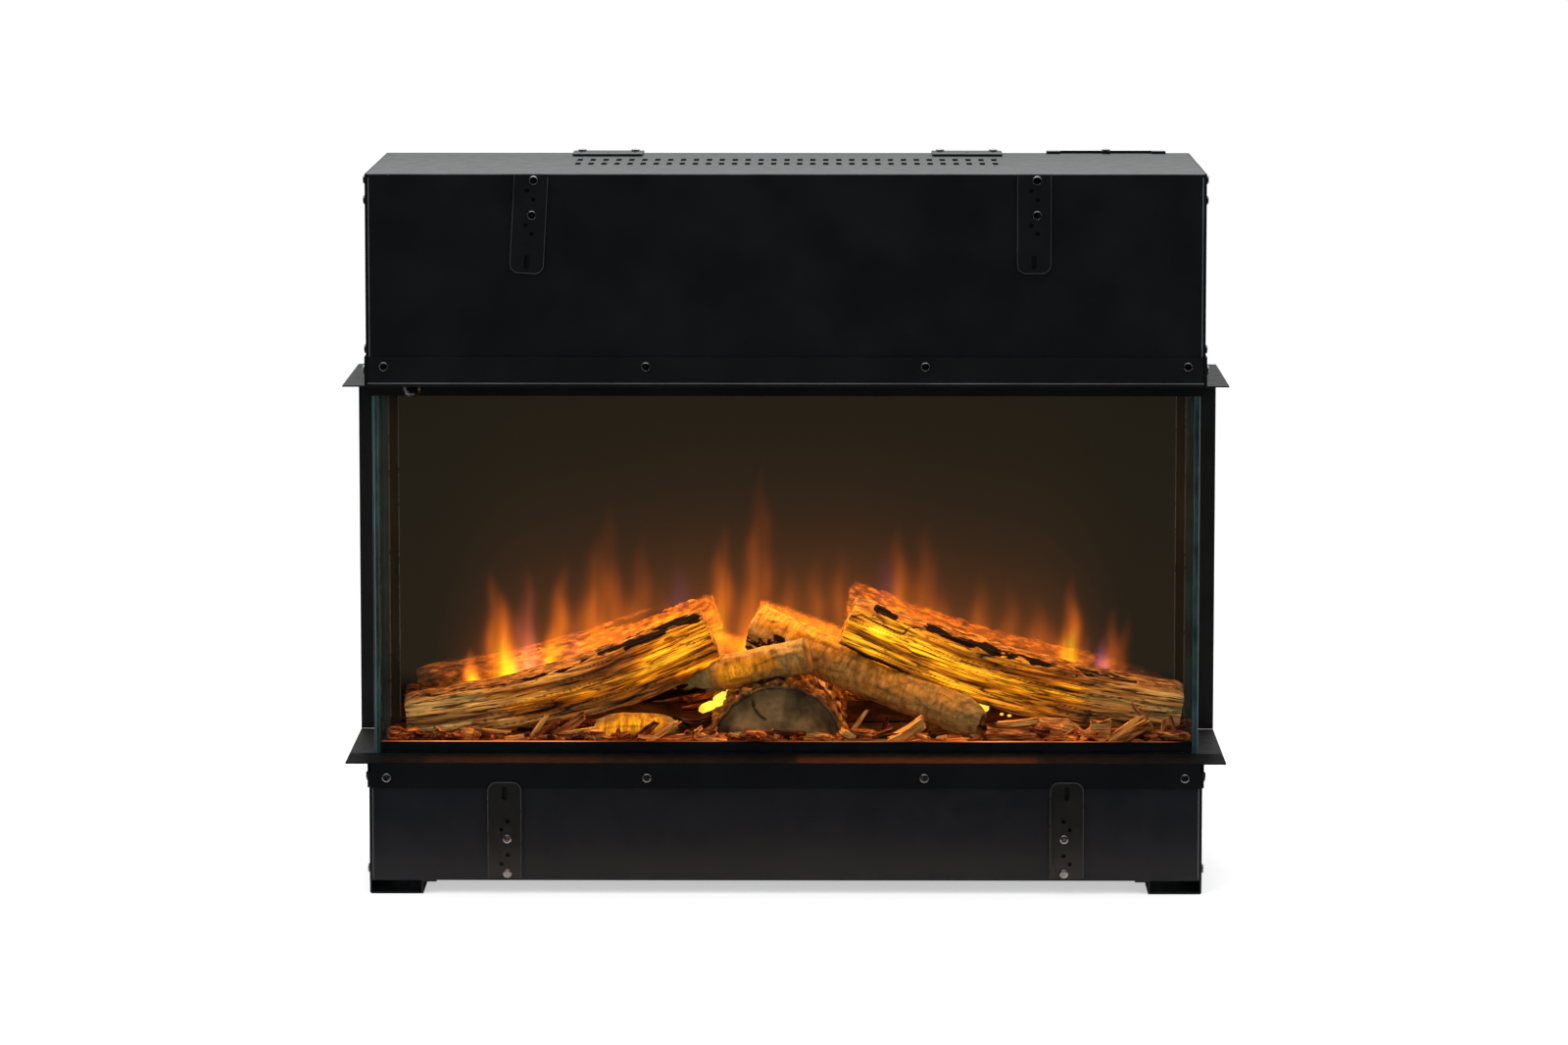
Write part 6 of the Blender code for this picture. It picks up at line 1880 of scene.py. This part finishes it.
# The wall brackets on the front, in millimetres: the x of their middles, the z of their straight ends, how
# far the left upper one leans, in degrees, and how far the screws are from the middles.
UPPER_BRACKETS = (-228.5, 223.6)
LOWER_BRACKETS = 255.4
BRACKET_TOP = 654.5
BRACKET_FOOT = 15.3
BRACKET_LEAN = 3.2
BRACKET_SCREW_SHIFT = 2.35

# Each row of screws on a side: x, z and how far behind the front sheet each one is.
SIDE_SCREWS: tuple[tuple[float, float, tuple[float, ...]], ...] = (
    (378.5, 650.5, (10, 150, 290)),
    (378.5, 632.0, (10, 150, 290)),
    (380.0, 478.5, (12, 190)),
    (378.5, 497.5, (10, 290)),
    (380.0, 107.0, (12, 190)),
    (378.5, 22.5, (10, 290)),
)


@dataclass(frozen=True)
class Screw:
    """One screw: where its head sits and which way it looks."""

    x: float
    y: float
    z: float
    outward: tuple[float, float, float]


@dataclass
class Screws:
    """Pan-head screws with a cross recess, blackened, in groups by what they hold."""

    radius: float = 4.1
    height: float = 2.1
    slot_width: float = 1.1
    slot_length: float = 4.6

    def head(self) -> Mesh:
        """Models one head with its flat side at the origin, looking along +Z.

        Returns:
            The head's mesh.
        """
        bpy.ops.mesh.primitive_cylinder_add(
            vertices=20,
            radius=self.radius * MM,
            depth=self.height * MM,
            location=(0, 0, self.height * MM / 2),
        )
        piece = start_piece("screw_head")
        settle(piece)
        apply_modifier(piece, "BEVEL", width=self.height * 0.62 * MM, segments=4, limit_method="ANGLE")
        for turn in (0, 90):
            bpy.ops.mesh.primitive_cube_add(size=1, location=(0, 0, self.height * MM))
            tool = start_piece("screw_recess")
            tool.scale = (self.slot_length * MM, self.slot_width * MM, 1.8 * MM)
            tool.rotation_euler = (0, 0, math.radians(turn))
            settle(tool)
            apply_modifier(piece, "BOOLEAN", operation="DIFFERENCE", object=tool, solver="EXACT")
            bpy.data.objects.remove(tool)
        select_only([piece])
        bpy.ops.object.shade_smooth_by_angle(angle=math.radians(35))
        mesh = piece.data
        bpy.data.objects.remove(piece)
        return mesh

    def groups(self) -> dict[str, list[Screw]]:
        """The places of all screws.

        Returns:
            For each group's name, its screws.
        """
        front, back, up = (0, -1, 0), (0, 1, 0), (0, 0, 1)
        strip = depth(-1.5) / MM
        panel_bracket = depth(-2.1) / MM
        strip_bracket = depth(-3.6) / MM
        sides: list[Screw] = []
        for side in BOTH_SIDES:
            out = (side, 0, 0)
            for x, z, backs in SIDE_SCREWS:
                sides += [Screw(side * x, depth(back_mm) / MM, z, out) for back_mm in backs]
        lean = math.radians(BRACKET_LEAN)
        shift = BRACKET_SCREW_SHIFT
        upper = []
        for middle, sine, cosine in zip(UPPER_BRACKETS, (math.sin(lean), 0), (math.cos(lean), 1)):
            for along in (4.2, 35.5):
                x = middle + shift * cosine - along * sine
                upper.append(Screw(x, panel_bracket, BRACKET_TOP - along * cosine, front))
        lower = [
            Screw(side * (LOWER_BRACKETS - shift), strip_bracket, BRACKET_FOOT + along, front)
            for side in BOTH_SIDES
            for along in (4.4, 36)
        ]
        roof = [Screw(x, depth(290) / MM, 658.1, up) for x in (-193.5, -143.5, 143.5, 193.5)]
        rear = [Screw(x, 150, z, back) for x in (-362, -180, 0, 180, 362) for z in (24, 150, 300, 450)]
        return {
            "screws_upper_trim": [Screw(x, strip, 482.3, front) for x in (-362.5, -126, 126, 362.5)],
            "screws_lower_trim": [Screw(x, strip, 107.2, front) for x in (-362.5, -126, 126, 362.5)],
            "screws_sides": sides,
            "screws_front_brackets": upper + lower,
            "screws_top_brackets": roof,
            "screws_inlet_cover": [Screw(300, depth(294) / MM, 658.1, up)],
            "screws_back_panel": rear,
        }

    def build(self) -> None:
        """Copies the head to each place, one piece for each group."""
        head = self.head()
        for name, screws in self.groups().items():
            parts = []
            for screw in screws:
                copied = head.copy()
                turn = Vector(screw.outward).to_track_quat("Z", "Y").to_matrix().to_4x4()
                spin = Matrix.Rotation(screw.x * 0.7 + screw.z, 4, "Z")
                place = Vector((screw.x, screw.y, screw.z)) * MM
                copied.transform(Matrix.Translation(place) @ turn @ spin)
                parts.append(put_in_scene(name, copied))
            hand_over(join(name, parts), SCREW_STEEL)
        bpy.data.meshes.remove(head)


def bracket_edge(
    middle: float, end: float, y: float, down: float = 1.0, tilt: float = 0.0
) -> tuple[Point, ...]:
    """The outline of a wall bracket, in millimetres.

    Args:
        middle: The x of the middle of its straight end.
        end: The z of that end.
        y: The y of its face.
        down: 1 where the rounded end is below, -1 where it is above.
        tilt: How far it is turned, in degrees.

    Returns:
        The points from one corner round to the other.
    """
    half, long, curve = 15.1, 88.0, 8.0
    corners = [(-half, 0.0)]
    for side, angles in ((-1, range(90, -1, -18)), (1, range(0, 91, 18))):
        for turn in map(math.radians, angles):
            across = side * (half - curve + curve * math.sin(turn))
            corners.append((across, long - curve + curve * math.cos(turn)))
    corners.append((half, 0.0))
    cosine, sine = math.cos(math.radians(tilt)), math.sin(math.radians(tilt))
    return tuple((middle + u * cosine - v * sine, y, end - down * v * cosine - u * sine) for u, v in corners)


@dataclass(frozen=True)
class Bead:
    """A fine half-round where sheet is folded or glass is ground, in millimetres, mostly coloured as painted
    highlight or painted firelight.
    """

    name: str
    runs: tuple[tuple[Point, ...], ...]
    radius: float
    finish: Finish
    slot: str = "body_paint"
    body: str = "body"

    def build(self) -> None:
        """Sweeps the half-round along its runs."""
        curve = bpy.data.curves.new(self.name, "CURVE")
        curve.dimensions = "3D"
        curve.bevel_depth = self.radius * MM
        curve.bevel_resolution = 2
        curve.use_fill_caps = True
        for run in self.runs:
            spline = curve.splines.new("POLY")
            spline.points.add(len(run) - 1)
            for point, place in zip(spline.points, run):
                point.co = (*(Vector(place) * MM), 1.0)
        select_only([put_in_scene(self.name, curve)])
        bpy.ops.object.convert(target="MESH")
        piece = start_piece(self.name)
        select_only([piece])
        bpy.ops.object.shade_smooth()
        hand_over(piece, self.finish, self.body)


# Folds, posts and brackets carry painted highlights, the glass a ground arris with a painted highlight, the
# tray's lip painted firelight; the seams are plain coat.
BEADS: tuple[Bead, ...] = (
    Bead(
        "front_panel_folds",
        tuple(
            ((side * 375.2, -150.0, low), (side * 375.2, -150.0, high))
            for side in BOTH_SIDES
            for low, high in ((491, 653), (14, 97.6))
        )
        + (((-376.5, -149.8, 655.6), (376.5, -149.8, 655.6)),),
        0.45,
        FOLD_PAINTED_HIGHLIGHT,
    ),
    Bead("upper_trim_fold", (((-377, -151.3, 467.0), (377, -151.3, 467.0)),), 0.55, FOLD_PAINTED_HIGHLIGHT),
    Bead("tray_lip_bead", (((-371, -88.0, 131.0), (371, -88.0, 131.0)),), 0.5, LIT_LIP),
    Bead(
        "post_edges",
        tuple(((side * x, 53.7, 132), (side * x, 53.7, 449)) for side in BOTH_SIDES for x in (363.4, 372.2)),
        0.5,
        EDGE_PAINTED_HIGHLIGHT,
    ),
    Bead(
        "rear_flange_seams",
        tuple(((side * 378, 53.6, 112.4), (side * 399.8, 53.6, 112.4)) for side in BOTH_SIDES),
        0.55,
        TRIM_PAINT,
    ),
    Bead(
        "bracket_edges",
        (
            bracket_edge(UPPER_BRACKETS[0], BRACKET_TOP, -152.1, tilt=BRACKET_LEAN),
            bracket_edge(UPPER_BRACKETS[1], BRACKET_TOP, -152.1),
            bracket_edge(-LOWER_BRACKETS, BRACKET_FOOT, -153.6, -1),
            bracket_edge(LOWER_BRACKETS, BRACKET_FOOT, -153.6, -1),
        ),
        0.35,
        EDGE_PAINTED_HIGHLIGHT,
        "bracket_paint",
    ),
    Bead(
        "front_glass_arris",
        (((-375.6, -93.2, 114), (-375.6, -93.2, 449.5)), ((377.0, -93.0, 114), (377.0, -93.0, 449.5))),
        0.35,
        GLASS_ARRIS,
        "toughened_glass",
        "front_pane",
    ),
)


@dataclass
class Panes:
    """The three panes, each the CAD pane with a fine ground edge."""

    nodes: tuple[tuple[str, str], ...] = (
        ("front_glass", "front_pane"),
        ("side_glass_left", "body"),
        ("side_glass_right", "body"),
    )
    bevel_mm: float = 0.5

    def build(self) -> None:
        """Bevels each pane's edges and marks them for the glass finish."""
        for node, body in self.nodes:
            low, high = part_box(node)
            thin = 1 if high.y - low.y < high.x - low.x else 0
            bpy.ops.mesh.primitive_cube_add(size=1, location=(low + high) / 2)
            piece = start_piece(node + "_ground")
            piece.scale = high - low
            settle(piece)
            apply_modifier(piece, "BEVEL", width=self.bevel_mm * MM, segments=1)
            self.mark(piece, thin)
            hand_over(piece, GLASS, body, (node,))

    def mark(self, piece: Object, thin: int) -> None:
        """Splits the edges off and marks them.

        Args:
            piece: The pane.
            thin: The number of the axis through the pane.
        """
        mesh = piece.data
        values = np.zeros(len(mesh.loops))
        for face in mesh.polygons:
            is_edge = abs(face.normal[thin]) < 0.9
            values[list(face.loop_indices)] = float(is_edge)
        attribute = mesh.attributes.new("edge", "FLOAT", "CORNER")
        attribute.data.foreach_set("value", values.astype(np.float32))


@dataclass
class CarriedNodes:
    """The CAD nodes that keep their shape and get a finish."""

    finishes: dict[Finish, tuple[str, ...]] = field(default_factory=lambda: NODE_FINISHES)

    def dress(self) -> None:
        """Assigns each node's finish."""
        for finish, names in self.finishes.items():
            for name in names:
                for held in frame["nodes"][name].material_slots:
                    held.material = finish.material()
            log.info("%s on %d CAD nodes", finish.name, len(names))


@dataclass(frozen=True)
class Lamp:
    """One studio or chamber light. A chamber light is small and warm."""

    name: str
    place: tuple[float, float, float]
    aim: tuple[float, float, float]
    size: tuple[float, float]
    power: float
    colour: str = "#ffffff"
    seen_in_gloss: bool = True

    def build(self) -> None:
        """Adds the light as a rectangle that faces its aim."""
        data = bpy.data.lights.new(self.name, "AREA")
        data.shape = "RECTANGLE"
        data.size, data.size_y = self.size
        data.energy = self.power
        data.color = linear(self.colour)[:3]
        made = put_in_scene(self.name, data)
        made.location = self.place
        made.rotation_euler = (Vector(self.aim) - Vector(self.place)).to_track_quat("-Z", "Y").to_euler()
        made.visible_glossy = self.seen_in_gloss
        made.visible_camera = False


WHITE = (1, 1, 1, 1)
EMBER_LIGHT = "#ff7428"
FLAME_LIGHT = "#ffe0a0"
HEARTH_LIGHT = "#ffc864"
LAMPS: tuple[Lamp, ...] = (
    Lamp("key_softbox", (-1.6, -2.6, 2.6), (0, 0, 0.3), (1.8, 1.8), 30, seen_in_gloss=False),
    Lamp("fill_softbox", (2.2, -2.4, 1.6), (0, 0, 0.3), (1.6, 1.6), 10, seen_in_gloss=False),
    Lamp("top_softbox", (0, 0.8, 2.6), (0, 0, 0.5), (2.4, 1.4), 30),
    Lamp("strip_softbox", (0, -0.7, 2.4), (0, -0.15, 0.4), (3.0, 0.4), 3),
    Lamp(
        "ledge_light_left", (-0.25, depth(53), 0.134), (-0.25, depth(20), 0.112), (0.16, 0.01), 0.004,
        EMBER_LIGHT,
    ),
    Lamp(
        "ledge_light_right", (0.12, depth(53), 0.134), (0.12, depth(20), 0.112), (0.22, 0.01), 0.012,
        EMBER_LIGHT,
    ),
    Lamp(
        "flame_light_left", (-0.17, depth(202), 0.175), (-0.17, depth(120), 0.195), (0.20, 0.03), 0.9,
        FLAME_LIGHT, False,
    ),
    Lamp(
        "flame_light_middle", (0.0, depth(202), 0.200), (0.0, depth(120), 0.23), (0.16, 0.03), 0.7,
        FLAME_LIGHT, False,
    ),
    Lamp(
        "flame_light_right", (0.18, depth(202), 0.180), (0.18, depth(120), 0.200), (0.22, 0.03), 0.28,
        FLAME_LIGHT, False,
    ),
    Lamp(
        "flame_light_above", (0.0, depth(186), 0.330), (0.0, depth(110), 0.18), (0.50, 0.04), 2.7,
        "#ffc070", False,
    ),
    Lamp(
        "chamber_light", (0.0, depth(80), 0.440), (0.0, depth(90), 0.15), (0.66, 0.04), 3.4,
        "#ffc080", False,
    ),
    Lamp(
        "hearth_light_left", (-0.075, depth(140), 0.160), (-0.10, depth(100), 0.200), (0.04, 0.02), 0.06,
        HEARTH_LIGHT, False,
    ),
    Lamp(
        "hearth_light_right", (0.165, depth(140), 0.150), (0.150, depth(100), 0.175), (0.06, 0.02), 0.07,
        HEARTH_LIGHT, False,
    ),
)


@dataclass
class Studio:
    """A pale floor, a white surround, dark flags in front and the camera."""

    floor_colour: str = "#f0f0f0"
    floor_size: float = 80.0
    floor_lift: float = 0.52
    surround: float = 0.60
    camera_place: tuple[float, float, float] = (0.04089, -5.95351, 1.04338)
    camera_turn: tuple[float, float, float] = (90 - 6.9024, 0.0, 0.4175)
    lens: float = 148.476

    def build(self) -> None:
        """Makes the stage, the lights and the camera."""
        self.make_floor()
        self.make_flags()
        self.make_world()
        for lamp in LAMPS:
            lamp.build()
        self.make_camera()

    def plain(self, name: str, inputs: dict) -> Material:
        """Makes a material of one even shader.

        Args:
            name: The material's name.
            inputs: What the shader's inputs get, as for feed.

        Returns:
            The material.
        """
        made = bpy.data.materials.new(name)
        made.use_nodes = True
        feed(made.node_tree, made.node_tree.nodes["Principled BSDF"], inputs)
        return made

    def make_floor(self) -> None:
        """A matt floor, a little brighter to the camera, that keeps the shadow."""
        bpy.ops.mesh.primitive_plane_add(size=self.floor_size)
        floor = start_piece("studio_floor")
        base = {"Base Color": linear(self.floor_colour), "Roughness": 0.9, "Specular IOR Level": 0.1}
        made = self.plain("matt_white_floor", {**base, "Emission Color": WHITE})
        tree = made.node_tree
        path = add(tree, "LightPath")
        rays = {0: path.outputs["Is Camera Ray"], 1: path.outputs["Is Transmission Ray"]}
        seen = add(tree, "Math", rays, operation="MAXIMUM")
        lift = add(tree, "Math", {0: seen, 1: self.floor_lift}, operation="MULTIPLY")
        feed(tree, tree.nodes["Principled BSDF"], {"Emission Strength": lift})
        floor.data.materials.append(made)

    def make_flags(self) -> None:
        """Black flags in front, which only gloss sees, so that dark faces stay dark."""
        radius, edge = 9.0, -0.4
        black = {"Base Color": linear("#050505"), "Roughness": 1.0, "Specular IOR Level": 0.0}
        velvet = self.plain("black_flag_velvet", black)
        board = {**black, "Emission Color": linear("#909090"), "Emission Strength": 1.0}
        grey = self.plain("grey_card_board", board)
        bpy.ops.mesh.primitive_cylinder_add(
            vertices=48, radius=radius, depth=radius, end_fill_type="NOTHING", location=(0, 0, radius / 2)
        )
        flag = start_piece("black_flag")
        settle(flag)
        select_vertices(flag, points_of(flag.data)[:, 1] > edge)
        bpy.ops.object.mode_set(mode="EDIT")
        bpy.ops.mesh.delete(type="VERT")
        bpy.ops.object.mode_set(mode="OBJECT")
        bpy.ops.mesh.primitive_plane_add(size=1, location=(0, -4.80, 0.002))
        carpet = start_piece("black_carpet")
        carpet.scale = (2 * radius, radius, 1)
        settle(carpet)
        upright = (math.radians(90), 0, 0)
        bpy.ops.mesh.primitive_plane_add(size=1, location=(0, 0.85, 0.40), rotation=upright)
        card = start_piece("black_card_behind")
        card.scale = (3.2, 0.8, 1)
        settle(card)
        for cloth, made in ((flag, velvet), (carpet, velvet), (card, grey)):
            cloth.data.materials.append(made)
            cloth.visible_camera = False
            cloth.visible_diffuse = False
            cloth.visible_shadow = False
            cloth.visible_transmission = False

    def make_world(self) -> None:
        """White where it is seen, and a plain even light elsewhere."""
        world = bpy.context.scene.world or bpy.data.worlds.new("studio")
        bpy.context.scene.world = world
        world.use_nodes = True
        world.cycles.sampling_method = "NONE"
        tree = world.node_tree
        tree.nodes.clear()
        path = add(tree, "LightPath")
        rays = {0: path.outputs["Is Camera Ray"], 1: path.outputs["Is Glossy Ray"]}
        seen = add(tree, "Math", rays, operation="MAXIMUM")
        through = path.outputs["Is Transmission Ray"]
        both = add(tree, "Math", {0: seen, 1: through}, operation="MAXIMUM")
        even = add(tree, "Background", {"Color": WHITE, "Strength": self.surround})
        white = add(tree, "Background", {"Color": WHITE, "Strength": 1.0})
        mixed = add(tree, "MixShader", {0: both, 1: even, 2: white})
        add(tree, "OutputWorld", {"Surface": mixed})

    def make_camera(self) -> None:
        """The camera that took the photograph, as fitted to the object's edges."""
        data = bpy.data.cameras.new("portrait_camera")
        data.sensor_width = 36
        data.lens = self.lens
        made = put_in_scene("portrait_camera", data)
        made.location = self.camera_place
        made.rotation_euler = [math.radians(angle) for angle in self.camera_turn]
        bpy.context.scene.camera = made
        bpy.context.scene.view_settings.view_transform = "Standard"


def main() -> None:
    """Builds the stage, dresses the nodes and adds the scene's own pieces."""
    logging.basicConfig(level=logging.INFO, format="%(name)s: %(message)s")
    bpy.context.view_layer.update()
    Studio().build()
    CarriedNodes().dress()
    Panes().build()
    FlameScreen().build()
    for moulded in LOGS:
        moulded.build()
    LooseBed().build()
    Screws().build()
    for bead in BEADS:
        bead.build()


if __name__ == "__main__":
    main()
